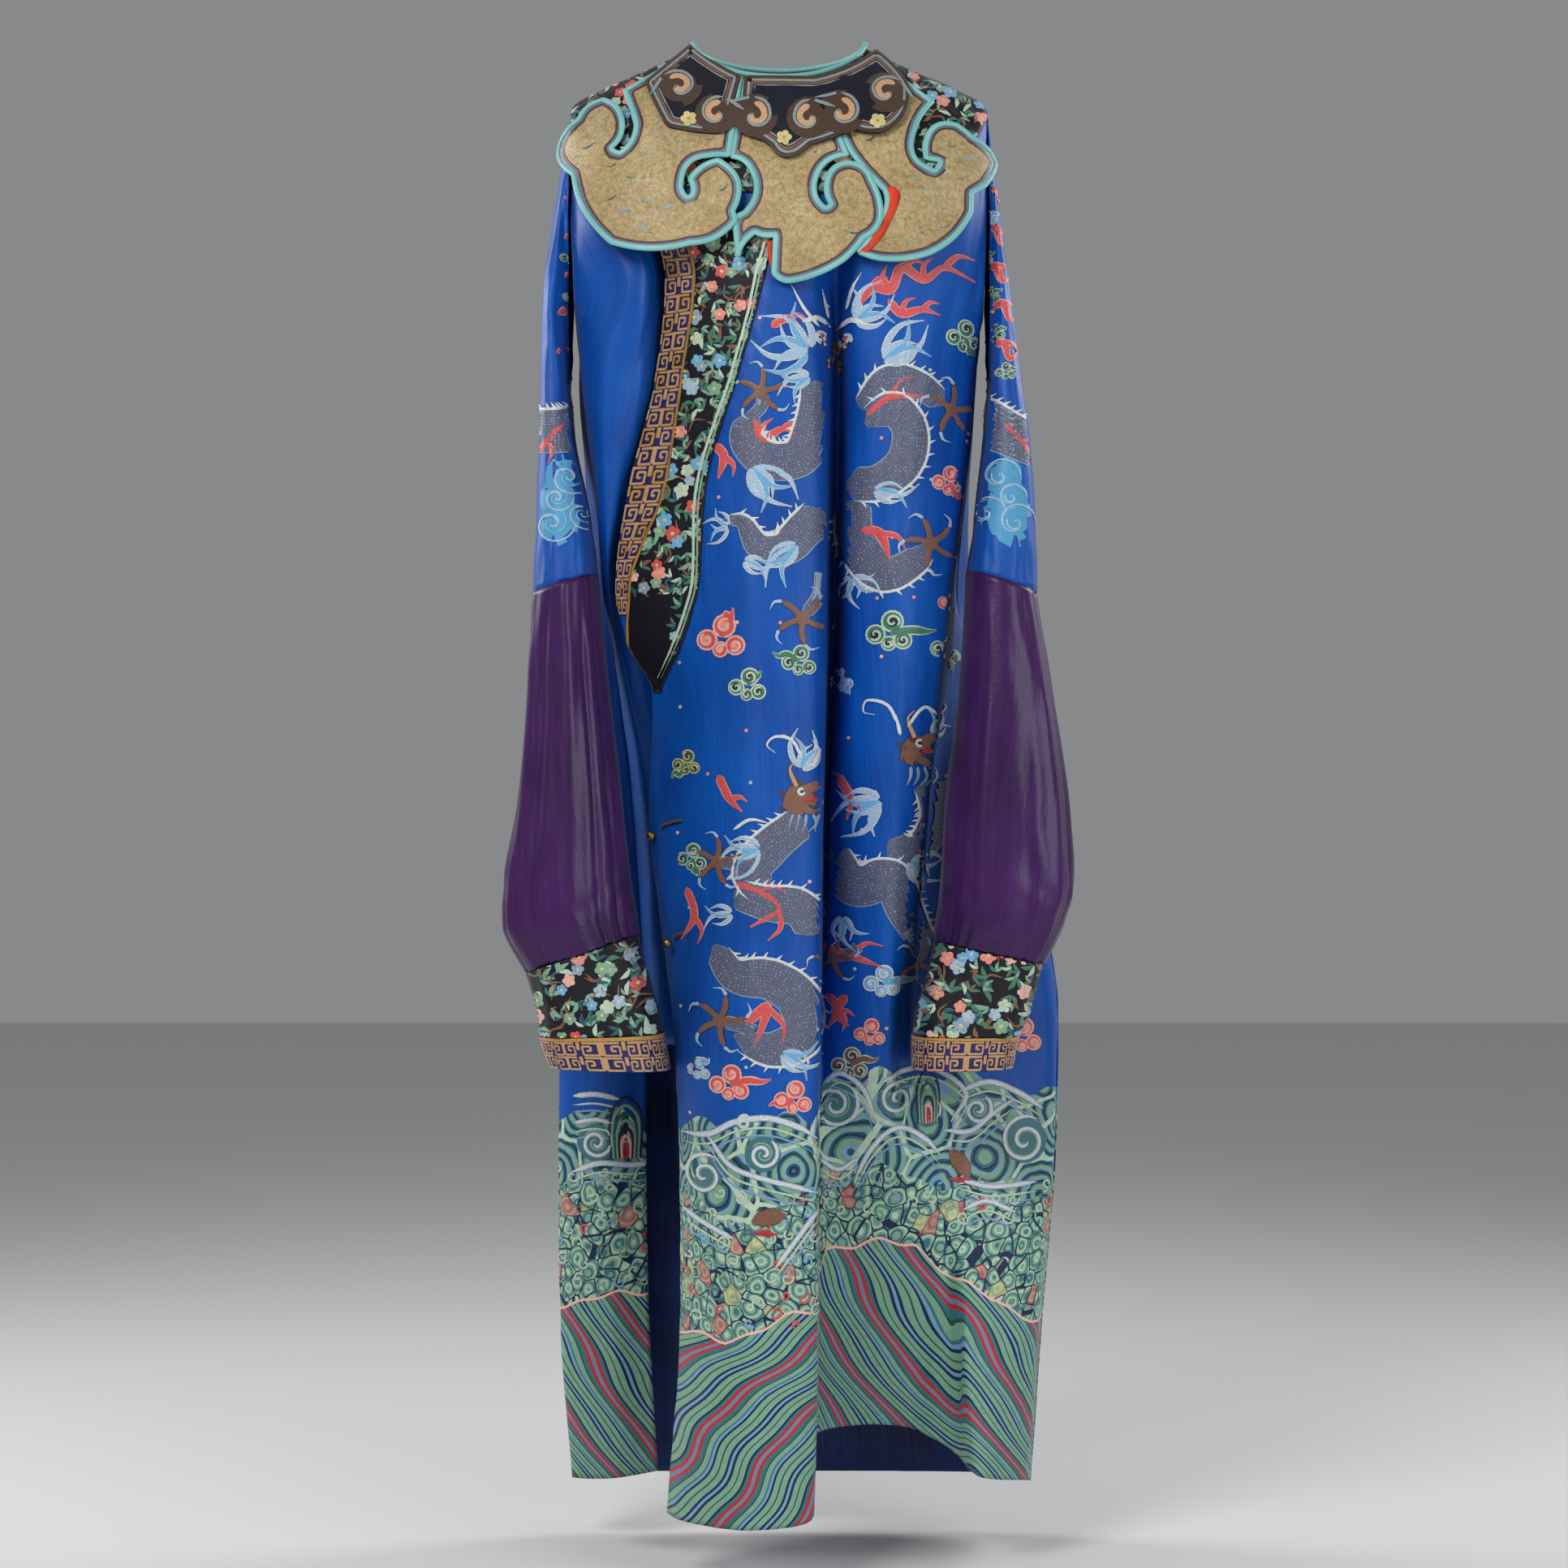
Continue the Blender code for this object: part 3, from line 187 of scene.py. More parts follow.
# Sleeves, a row for each ring: outer x, outer z, inner x, inner z, centre y, half depth
SLEEVE_PLUS = (
    (0.2005, -0.066, 0.2005, -0.318, 0.000, 0.0500),
    (0.2040, -0.100, 0.2025, -0.324, -0.002, 0.0510),
    (0.2110, -0.160, 0.2020, -0.334, -0.004, 0.0610),
    (0.2190, -0.225, 0.1990, -0.350, -0.008, 0.0720),
    (0.2290, -0.300, 0.1960, -0.380, -0.012, 0.0760),
    (0.2390, -0.380, 0.1900, -0.425, -0.020, 0.0790),
    (0.2440, -0.460, 0.1850, -0.470, -0.032, 0.0770),
    (0.2450, -0.526, 0.1790, -0.505, -0.040, 0.0750),
    (0.2600, -0.621, 0.1710, -0.621, -0.052, 0.0720),
    (0.2755, -0.729, 0.1570, -0.729, -0.060, 0.0720),
    (0.2790, -0.799, 0.1530, -0.799, -0.063, 0.0730),
    (0.2700, -0.836, 0.1500, -0.833, -0.064, 0.0720),
    (0.2505, -0.876, 0.1475, -0.854, -0.065, 0.0660),
)
CUFF_PLUS = (
    (0.2505, -0.8765, 0.1475, -0.8545, -0.065, 0.0660),
    (0.2455, -0.8916, 0.1401, -0.8870, -0.065, 0.0660),
    (0.2350, -0.9300, 0.1275, -0.9300, -0.066, 0.0660),
    (0.2260, -0.9480, 0.1265, -0.9480, -0.066, 0.0660),
    (0.2209, -0.9745, 0.1263, -0.9763, -0.066, 0.0650),
)
SLEEVE_MINUS = (
    (-0.2005, -0.066, -0.2005, -0.318, 0.000, 0.0500),
    (-0.2060, -0.100, -0.2025, -0.324, -0.002, 0.0510),
    (-0.2150, -0.160, -0.2020, -0.334, -0.004, 0.0610),
    (-0.2240, -0.225, -0.1995, -0.350, -0.008, 0.0720),
    (-0.2270, -0.300, -0.1960, -0.380, -0.012, 0.0760),
    (-0.2285, -0.380, -0.1860, -0.425, -0.020, 0.0790),
    (-0.2310, -0.460, -0.1780, -0.470, -0.032, 0.0770),
    (-0.2335, -0.527, -0.1730, -0.508, -0.040, 0.0750),
    (-0.2392, -0.621, -0.1610, -0.621, -0.052, 0.0720),
    (-0.2490, -0.729, -0.1480, -0.729, -0.060, 0.0720),
    (-0.2605, -0.799, -0.1400, -0.799, -0.063, 0.0730),
    (-0.2615, -0.840, -0.1360, -0.828, -0.064, 0.0720),
    (-0.2399, -0.884, -0.1330, -0.848, -0.065, 0.0660),
)
CUFF_MINUS = (
    (-0.2399, -0.8845, -0.1330, -0.8485, -0.065, 0.0660),
    (-0.2346, -0.9024, -0.1284, -0.8716, -0.065, 0.0660),
    (-0.2276, -0.9293, -0.1161, -0.9139, -0.066, 0.0660),
    (-0.2253, -0.9493, -0.1084, -0.9486, -0.066, 0.0660),
    (-0.2169, -0.9739, -0.1030, -0.9770, -0.066, 0.0650),
)
SLEEVE_SEAM_ROW = 7    # ring where blue cloth meets purple cloth
FRET_SHARE = 0.30      # share of the cuff that is the fret border
SLEEVE_CORNER = 1.35   # how square the flattened sleeve is at its fold edges
PLEAT_COUNT = 7

# Cloud collar outlines on the front view plane, a row for each arc:
# start x, start z, rise of the arc away from the piece
LOBE_MINUS = (
    (-0.0751, -0.0126, 0.0000), (-0.1443, -0.0545, 0.0000), (-0.1322, -0.0914, -0.0038),
    (-0.1470, -0.1192, -0.0008), (-0.1548, -0.1147, 0.0031), (-0.1438, -0.0907, 0.0054),
    (-0.1629, -0.0622, 0.0046), (-0.1865, -0.0816, 0.0147), (-0.1877, -0.1337, 0.0069),
    (-0.1524, -0.2023, 0.0061), (-0.0814, -0.2056, 0.0060), (-0.0399, -0.1851, 0.0000),
    (-0.0421, -0.1758, 0.0121), (-0.0560, -0.1276, 0.0038), (-0.0824, -0.1464, -0.0008),
    (-0.0793, -0.1575, -0.0015), (-0.0846, -0.1621, -0.0023), (-0.0893, -0.1463, -0.0068),
    (-0.0651, -0.1242, -0.0008), (-0.0461, -0.1237, 0.0000), (-0.0344, -0.0455, -0.0031),
)
LOBE_FRONT = (
    (-0.0314, -0.0456, 0.0000), (0.0316, -0.0465, 0.0000), (0.0631, -0.1218, -0.0076),
    (0.0335, -0.1485, -0.0038), (0.0425, -0.1719, -0.0008), (0.0478, -0.1688, 0.0023),
    (0.0441, -0.1468, 0.0053), (0.0646, -0.1290, 0.0046), (0.0858, -0.1464, 0.0015),
    (0.0940, -0.1713, 0.0061), (0.0780, -0.2002, 0.0008), (0.0605, -0.2204, 0.0030),
    (0.0122, -0.2412, 0.0030), (-0.0051, -0.2336, 0.0000), (-0.0036, -0.1984, 0.0015),
    (-0.0225, -0.1960, -0.0030), (-0.0383, -0.2190, 0.0000), (-0.0414, -0.1812, 0.0000),
    (-0.0323, -0.1766, -0.0076), (-0.0264, -0.1358, -0.0030), (-0.0446, -0.1237, 0.0000),
)
LOBE_PLUS = (
    (0.0331, -0.0464, 0.0000), (0.0655, -0.1162, 0.0015), (0.0971, -0.1540, -0.0023),
    (0.0970, -0.1743, -0.0015), (0.0726, -0.2126, 0.0008), (0.0923, -0.2192, 0.0030),
    (0.1388, -0.2123, 0.0053), (0.1771, -0.1699, 0.0000), (0.1780, -0.1526, 0.0000),
    (0.1902, -0.1429, 0.0015), (0.2015, -0.1188, 0.0039), (0.1804, -0.0984, 0.0008),
    (0.1660, -0.0864, 0.0077), (0.1368, -0.1021, 0.0015), (0.1364, -0.1230, 0.0000),
    (0.1494, -0.1250, -0.0008), (0.1432, -0.1334, -0.0076), (0.1237, -0.1045, -0.0031),
    (0.1441, -0.0640, 0.0000), (0.0863, -0.0141, -0.0031),
)
INNER_COLLAR_MINUS = (
    (-0.0800, -0.0074, 0.0000), (-0.1242, -0.0486, 0.0008), (-0.1084, -0.0873, 0.0023),
    (-0.0974, -0.0988, 0.0008), (-0.0561, -0.1048, 0.0030), (-0.0463, -0.0908, 0.0000),
    (-0.0344, -0.0455, -0.0031),
)
INNER_COLLAR_PLUS = (
    (-0.0314, -0.0456, 0.0000), (-0.0356, -0.1001, 0.0015), (-0.0150, -0.1109, 0.0000),
    (-0.0074, -0.1167, 0.0061), (0.0191, -0.1230, 0.0000), (0.0305, -0.1150, 0.0008),
    (0.0587, -0.1048, 0.0015), (0.0694, -0.0996, 0.0023), (0.0961, -0.1023, 0.0069),
    (0.1200, -0.0638, 0.0008), (0.1181, -0.0482, 0.0023), (0.0886, -0.0138, -0.0047),
    (0.0316, -0.0465, 0.0000),
)
# Inner collar edge of one back half, from the neck seam round to the middle.
BACK_INNER_EDGE = (
    (0.0884, -0.0154, 0.0047), (0.1180, -0.0490, 0.0023), (0.1199, -0.0643, 0.0069),
    (0.0961, -0.1024, 0.0023), (0.0693, -0.1004, 0.0015), (0.0586, -0.1056, 0.0008),
    (0.0305, -0.1158, 0.0000), (0.0191, -0.1239, 0.0030),
)
LINING_PLUS = (
    (0.0994, -0.1516, 0.0000), (0.1032, -0.1500, 0.0045), (0.1108, -0.1646, 0.0008),
    (0.0969, -0.1960, 0.0008), (0.0802, -0.2148, 0.0000), (0.0726, -0.2141, -0.0008),
    (0.0970, -0.1821, -0.0015),
)
LINING_SLIT = (
    (-0.0111, -0.2045, 0.0000), (-0.0059, -0.2022, 0.0000), (-0.0066, -0.2305, 0.0000),
    (-0.0096, -0.2213, 0.0000),
)



# ---------------------------------------------------------------- forms
def hermite(knots, values, t):
    """Smooth curve through rows of values at rising knots, limited so it never overshoots."""
    knots = np.asarray(knots, float)
    values = np.asarray(values, float)
    step = np.diff(knots)
    slope = np.diff(values, axis=0) / step.reshape((-1,) + (1,) * (values.ndim - 1))
    tangent = np.zeros_like(values)
    tangent[0] = slope[0]
    tangent[-1] = slope[-1]
    before = slope[:-1]
    after = slope[1:]
    same = before * after > 0
    safe = np.where(same, before + after, 1.0)
    tangent[1:-1] = np.where(same, 2 * before * after / safe, 0.0) * 0.7 + 0.15 * (before + after)
    t = np.atleast_1d(t)
    k = np.clip(np.searchsorted(knots, t, side="right") - 1, 0, len(step) - 1)
    shape = (-1,) + (1,) * (values.ndim - 1)
    u = ((t - knots[k]) / step[k]).reshape(shape)
    w = step[k].reshape(shape)
    h00 = 2 * u ** 3 - 3 * u ** 2 + 1
    h10 = u ** 3 - 2 * u ** 2 + u
    h01 = -2 * u ** 3 + 3 * u ** 2
    h11 = u ** 3 - u ** 2
    return h00 * values[k] + h10 * w * tangent[k] + h01 * values[k + 1] + h11 * w * tangent[k + 1]


def form_ring(reach):
    """Sizes of the shoulder form at a reach from the neck edge."""
    return [np.interp(reach, FORM_RINGS[:, 0], FORM_RINGS[:, i]) for i in range(1, 8)]


def on_form(angle, reach):
    """Point of the shoulder form, angle from the front towards +X."""
    half, fore, behind, z_front, z_side, z_back, round_by = form_ring(reach)
    cosine = math.cos(angle)
    sine = math.sin(angle)
    depth = fore if cosine >= 0 else behind
    z_end = z_front if cosine >= 0 else z_back
    z = z_side + (z_end - z_side) * abs(cosine) ** SHOULDER_POWER
    x = math.copysign(half * abs(sine) ** round_by, sine)
    y = -math.copysign(depth * abs(cosine) ** round_by, cosine)
    return np.array([x, y, z])


def reach_at(x, z):
    """Angle and reach on the front of the form of a point given in the front view."""
    low, high = -0.01, 0.28
    for _ in range(40):
        mid = (low + high) / 2
        ring = form_ring(mid)
        share = min(SIDE_LIMIT, abs(x) / ring[0]) ** (1 / ring[6])
        angle = math.copysign(math.asin(share), x)
        if on_form(angle, mid)[2] > z:
            low = mid
        else:
            high = mid
    return angle, mid


def form_normal(angle, reach):
    """Outward normal of the shoulder form."""
    reach = max(reach, NORMAL_STEP)
    d_angle = on_form(angle + 0.01, reach) - on_form(angle - 0.01, reach)
    d_reach = on_form(angle, reach + NORMAL_STEP) - on_form(angle, reach - NORMAL_STEP)
    n = np.cross(d_reach, d_angle)
    return n / np.linalg.norm(n)


def panel_controls(rows, rises, angles, facing):
    """Control points of a body panel: shoulder rings first, then the rows of fold lines."""
    control = []
    for reach in RING_REACHES:
        ring = [on_form(math.radians(a), reach) for a in angles]
        for p in ring:
            p[1] = facing * max(SHOULDER_HALF_GAP, facing * p[1])
        control.append(ring)
    levels = sorted(rows, reverse=True)
    for z in levels:
        lift = rises if z == levels[-1] else [0.0] * len(rises)
        control.append([(x, y, z + r) for (x, y), r in zip(rows[z], lift)])
    return np.array(control)


def column_knots(control):
    """Knots across a panel, spread by the mean chord between fold lines."""
    chord = np.linalg.norm(np.diff(control, axis=1), axis=2).mean(axis=0)
    return np.concatenate([[0], np.cumsum(np.sqrt(chord))])


def row_knots(control):
    """Knots down a panel, spread by the mean drop between rows."""
    chord = np.linalg.norm(np.diff(control, axis=0), axis=2).mean(axis=1)
    return np.concatenate([[0], np.cumsum(chord)])


class Panel:
    """Smooth sheet through a grid of control points."""

    def __init__(self, control):
        self.control = control
        self.across = column_knots(control)
        self.down = row_knots(control)

    def grid(self, per_column, per_row):
        """Points of the sheet, rows down and columns across."""
        u = subdivide(self.across, per_column)
        v = subdivide(self.down, per_row)
        first = hermite(self.down, self.control, v)
        turned = np.swapaxes(first, 0, 1)
        second = hermite(self.across, turned, u)
        return np.swapaxes(second, 0, 1)

    def at(self, u, v):
        """Points of the sheet at matching across and down values."""
        rows = hermite(self.down, self.control, v)
        return np.array([hermite(self.across, r, uu)[0] for r, uu in zip(rows, np.atleast_1d(u))])


def subdivide(knots, parts):
    """Rising values with the given number of parts in each interval."""
    out = [knots[0]]
    for k in range(len(knots) - 1):
        n = parts[k] if isinstance(parts, (list, tuple)) else parts
        for i in range(1, n + 1):
            out.append(knots[k] + (knots[k + 1] - knots[k]) * i / n)
    return np.array(out)


def grid_faces(rows, cols, closed=False, flip=False):
    """Quads of a grid of rows by cols points."""
    faces = []
    last = cols if closed else cols - 1
    for r in range(rows - 1):
        for c in range(last):
            a = r * cols + c
            b = r * cols + (c + 1) % cols
            d = (r + 1) * cols + c
            e = (r + 1) * cols + (c + 1) % cols
            faces.append((a, d, e, b) if not flip else (a, b, e, d))
    return faces


def grid_normals(grid):
    """Outward unit normals of a grid whose rows run down and columns run towards +X in front."""
    down = np.gradient(grid, axis=0)
    across = np.gradient(grid, axis=1)
    n = np.cross(down, across)
    return n / np.linalg.norm(n, axis=2, keepdims=True)


def moved_out(grid, distance):
    """The same grid, moved out along its normals."""
    return grid + grid_normals(grid) * distance




def sleeve_ring(row, count, pleat):
    """Closed ring of a flattened sleeve with optional pleats."""
    xo, zo, xi, zi, yc, half = row
    mid = np.array([(xo + xi) / 2, yc, (zo + zi) / 2])
    arm = np.array([(xo - xi) / 2, 0.0, (zo - zi) / 2])
    length = np.linalg.norm(arm)
    ring = []
    for k in range(count):
        t = 2 * math.pi * k / count
        c = math.cos(t)
        s = math.sin(t)
        wave = pleat * math.cos(PLEAT_COUNT * t) / length
        across = math.copysign(abs(c) ** (1 / SLEEVE_CORNER), c) * (1 + wave)
        deep = math.copysign(abs(s) ** (1 / SLEEVE_CORNER), s) * (1 + wave * 0.6)
        ring.append(mid + arm * across + np.array([0.0, half * deep, 0.0]))
    return ring


def shift_rows(table, first, last, gap_first, gap_last):
    """Rows of a sleeve piece with its ends pulled in by half a seam gap."""
    rows = [list(r) for r in table[first:last]]
    rows[0][1] -= gap_first
    rows[0][3] -= gap_first
    rows[-1][1] += gap_last
    rows[-1][3] += gap_last
    return rows




def cuff_split(table, share_from, share_to, gap):
    """Part of a cuff between two shares of its length."""
    rows = np.array(table)
    steps = np.linspace(share_from, share_to, 4) * (len(rows) - 1)
    out = hermite(np.arange(len(rows)), rows, steps)
    out[0, [1, 3]] -= gap
    out[-1, [1, 3]] += gap
    return out




def outline(table, arc_step):
    """Closed outline in the front view from rows of arcs."""
    count = len(table)
    area = sum(table[i][0] * table[(i + 1) % count][1] - table[(i + 1) % count][0] * table[i][1]
               for i in range(count))
    turn = 1.0 if area > 0 else -1.0
    points = []
    for i in range(count):
        x0, z0, rise = table[i]
        x1, z1, _ = table[(i + 1) % count]
        dx = x1 - x0
        dz = z1 - z0
        length = math.hypot(dx, dz)
        pieces = max(1, round(length / arc_step))
        for k in range(pieces):
            t = k / pieces
            bulge = 4 * t * (1 - t) * rise * turn
            points.append((x0 + dx * t + dz / length * bulge, z0 + dz * t - dx / length * bulge))
    return points


def inside(point, loop):
    """Whether a point lies in a closed outline."""
    x, z = point
    hit = False
    for i in range(len(loop)):
        x0, z0 = loop[i]
        x1, z1 = loop[i - 1]
        if (z0 > z) != (z1 > z) and x < (x1 - x0) * (z - z0) / (z1 - z0) + x0:
            hit = not hit
    return hit


def mirrored(table):
    """The same outline with its sides swapped."""
    return tuple((-x, z, rise) for x, z, rise in table)


def both_sides(half):
    """Closed outline from the arcs of its +X half, given from the top middle down."""
    far = []
    for k in range(len(half) - 1, -1, -1):
        x, z, _ = half[k]
        rise = half[k - 1][2] if k > 0 else 0.0
        far.append((-x, z, rise))
    return tuple(half) + tuple(far)


LOBE_BACK = both_sides(LOBE_FRONT[1:13])
INNER_COLLAR_BACK = both_sides((INNER_COLLAR_PLUS[12],) + BACK_INNER_EDGE)




# ---------------------------------------------------------------- colours
def srgb(code):
    """Linear colour from a written six-figure one."""
    parts = [int(code[i:i + 2], 16) / 255 for i in (0, 2, 4)]
    return tuple(p / 12.92 if p <= 0.04045 else ((p + 0.055) / 1.055) ** 2.4 for p in parts)


TINT = {
    "blue": srgb("0058b6"), "blue_deep": srgb("003f94"), "lining_blue": srgb("043a8c"),
    "purple": srgb("451a5e"), "purple_deep": srgb("250c36"), "dark": srgb("0c0b16"),
    "aubergine": srgb("171022"), "navy": srgb("14152c"), "fret_ground": srgb("2f2a72"),
    "cream": srgb("cdb98a"), "cream_deep": srgb("a98f58"), "turquoise": srgb("62a7a8"),
    "turquoise_lit": srgb("93cfc8"), "gold": srgb("c18f3c"), "tan": srgb("c79a6c"),
    "orange": srgb("ee4a22"), "cord_brown": srgb("4a3324"), "coral": srgb("dc5352"),
    "pink": srgb("f0948a"), "rose": srgb("f3b6aa"), "white": srgb("d6dde0"),
    "pale": srgb("a9c4dc"), "sky": srgb("6fb0dc"), "cloud_blue": srgb("4aa0cf"),
    "sage": srgb("84ad92"), "leaf": srgb("3f7a5e"), "teal": srgb("1f5560"),
    "mint": srgb("bfd6bf"), "slate": srgb("6a7590"), "slate_dark": srgb("333c5a"),
    "brown": srgb("82563f"), "brown_dark": srgb("4d2d22"), "red": srgb("b8242c"),
    "straw": srgb("d6cd86"), "grey_blue": srgb("8fa6b8"),
    "stripe_sage": srgb("80ae94"), "stripe_green": srgb("274f4a"), "stripe_navy": srgb("0d1d48"),
    "stripe_sky": srgb("7ea6cc"), "stripe_red": srgb("c81c26"), "stripe_grey": srgb("7488a4"),
    "stripe_teal": srgb("3d7480"), "scroll_cream": srgb("d0a57c"), "ash": srgb("8d9a9c"),
}


# ---------------------------------------------------------------- node helpers
class Tree:
    """A material's nodes, added one at a time."""

    def __init__(self, name):
        self.material = bpy.data.materials.new(name)
        self.material.use_nodes = True
        self.nodes = self.material.node_tree.nodes
        self.links = self.material.node_tree.links
        self.shader = self.nodes["Principled BSDF"]

    def add(self, kind, inputs=(), **settings):
        """Node of a kind with settings and (socket, value or source socket) inputs."""
        node = self.nodes.new(kind)
        for key, value in settings.items():
            setattr(node, key, value)
        for key, value in inputs:
            if isinstance(value, bpy.types.NodeSocket):
                self.links.new(value, node.inputs[key])
            else:
                node.inputs[key].default_value = value
        return node

    def math(self, operation, a, b=0.0, c=0.0):
        """Result of a sum of one, two or three values."""
        return self.add("ShaderNodeMath", ((0, a), (1, b), (2, c)), operation=operation).outputs[0]

    def mix(self, share, a, b, blend="MIX"):
        """Colour between two colours."""
        def full(v):
            return v if isinstance(v, bpy.types.NodeSocket) or len(v) == 4 else (*v, 1)
        node = self.add("ShaderNodeMix", data_type="RGBA", blend_type=blend)
        for slot, value in ((0, share), (6, full(a)), (7, full(b))):
            if isinstance(value, bpy.types.NodeSocket):
                self.links.new(value, node.inputs[slot])
            else:
                node.inputs[slot].default_value = value
        return node.outputs[2]

    def ramp(self, value, stops, constant=False):
        """Colour ramp from (position, colour) stops."""
        node = self.add("ShaderNodeValToRGB", ((0, value),))
        node.color_ramp.interpolation = "CONSTANT" if constant else "LINEAR"
        elements = node.color_ramp.elements
        while len(elements) < len(stops):
            elements.new(0.5)
        for element, (position, colour) in zip(elements, stops):
            element.position = position
            element.color = (*colour, 1)
        return node.outputs[0]

    def noise(self, vector, scale, detail=3.0, rough=0.55):
        """Noise value."""
        node = self.add("ShaderNodeTexNoise", (("Vector", vector), ("Scale", scale), ("Detail", detail),
                                               ("Roughness", rough)))
        return node.outputs[0]

    def uv(self):
        """Flat pattern coordinates in metres."""
        return self.add("ShaderNodeUVMap", uv_map="flat").outputs[0]

    def attribute(self, name, output="Fac"):
        """A value kept on the cloth's points."""
        return self.add("ShaderNodeAttribute", attribute_name=name).outputs[output]

    def set(self, **values):
        """Plain values of the surface shader."""
        for key, value in values.items():
            self.shader.inputs[key.replace("_", " ")].default_value = value

    def colour(self, socket):
        """Drive the base colour."""
        self.links.new(socket, self.shader.inputs["Base Color"])

    def bump(self, *layers):
        """Stack of (height, strength, distance) bumps."""
        last = None
        for height, strength, distance in layers:
            node = self.add("ShaderNodeBump", (("Height", height), ("Strength", strength),
                                               ("Distance", distance)))
            if last is not None:
                self.links.new(last, node.inputs["Normal"])
            last = node.outputs[0]
        self.links.new(last, self.shader.inputs["Normal"])


WEAVE_SCALE = 900.0      # threads a metre in the silk satin


def weave_bumps(t, uv, depth=0.00006):
    """Heights of a satin weave, silk drag and small puckers."""
    stretched = t.add("ShaderNodeMapping", (("Vector", uv), ("Scale",
        (WEAVE_SCALE, WEAVE_SCALE * 0.12, 1))))
    floats = t.noise(stretched.outputs[0], 1.0, 1.0)
    drag_map = t.add("ShaderNodeMapping", (("Vector", uv), ("Scale", (110.0, 26.0, 1))))
    drag = t.noise(drag_map.outputs[0], 1.0, 3.0)
    pucker = t.noise(uv, 260.0, 2.0)
    return (floats, 0.5, depth), (drag, 0.35, 0.0016), (pucker, 0.25, 0.0006)


def silk(name, light, deep, rough=0.42, sheen=0.08, coat=0.0):
    """Plain silk satin: two close tones in the dye, a weave and soft drag lines."""
    t = Tree(name)
    uv = t.uv()
    cloud = t.noise(uv, 9.0, 4.0)
    slub_map = t.add("ShaderNodeMapping", (("Vector", uv), ("Scale", (420.0, 9.0, 1))))
    slub = t.noise(slub_map.outputs[0], 1.0, 2.0)
    tone = t.math("MULTIPLY_ADD", slub, 0.45, t.math("MULTIPLY", cloud, 0.75))
    share = t.add("ShaderNodeMapRange", (("Value", tone), ("From Min", 0.40), ("From Max", 0.80)))
    t.colour(t.mix(share.outputs[0], deep, light))
    t.bump(*weave_bumps(t, uv))
    t.set(Roughness=rough, Sheen_Weight=sheen, Sheen_Roughness=0.4, Coat_Weight=coat,
        Specular_IOR_Level=0.32)
    return t.material


# Hem stripes across one repeat: width in millimetres, colour
STRIPES = (
    (4.8, "stripe_sage"), (1.2, "stripe_green"), (4.6, "stripe_sage"), (2.4, "stripe_navy"),
    (2.6, "stripe_sky"), (2.4, "stripe_navy"), (5.0, "stripe_sage"), (1.3, "stripe_green"),
    (5.0, "stripe_sage"), (2.0, "stripe_navy"), (2.4, "stripe_sky"), (1.6, "stripe_teal"),
    (4.4, "stripe_sage"), (1.3, "stripe_green"), (4.0, "stripe_teal"), (2.7, "stripe_red"),
    (3.6, "stripe_grey"), (2.7, "stripe_red"), (3.0, "stripe_teal"), (2.2, "stripe_navy"),
)
BILLOWS_PER_M = 19.0     # big wave rings along a metre
SWIRLS_PER_M = 62.0      # small swirl clouds along a metre
STRIPE_REPEAT = sum(width for width, _ in STRIPES) / 1000


def stripe_stops(rows):
    """Ramp stops of a row of stripes."""
    total = sum(width for width, _ in rows)
    stops = []
    done = 0.0
    for width, tint in rows:
        stops.append((done / total, TINT[tint]))
        done += width
    return stops


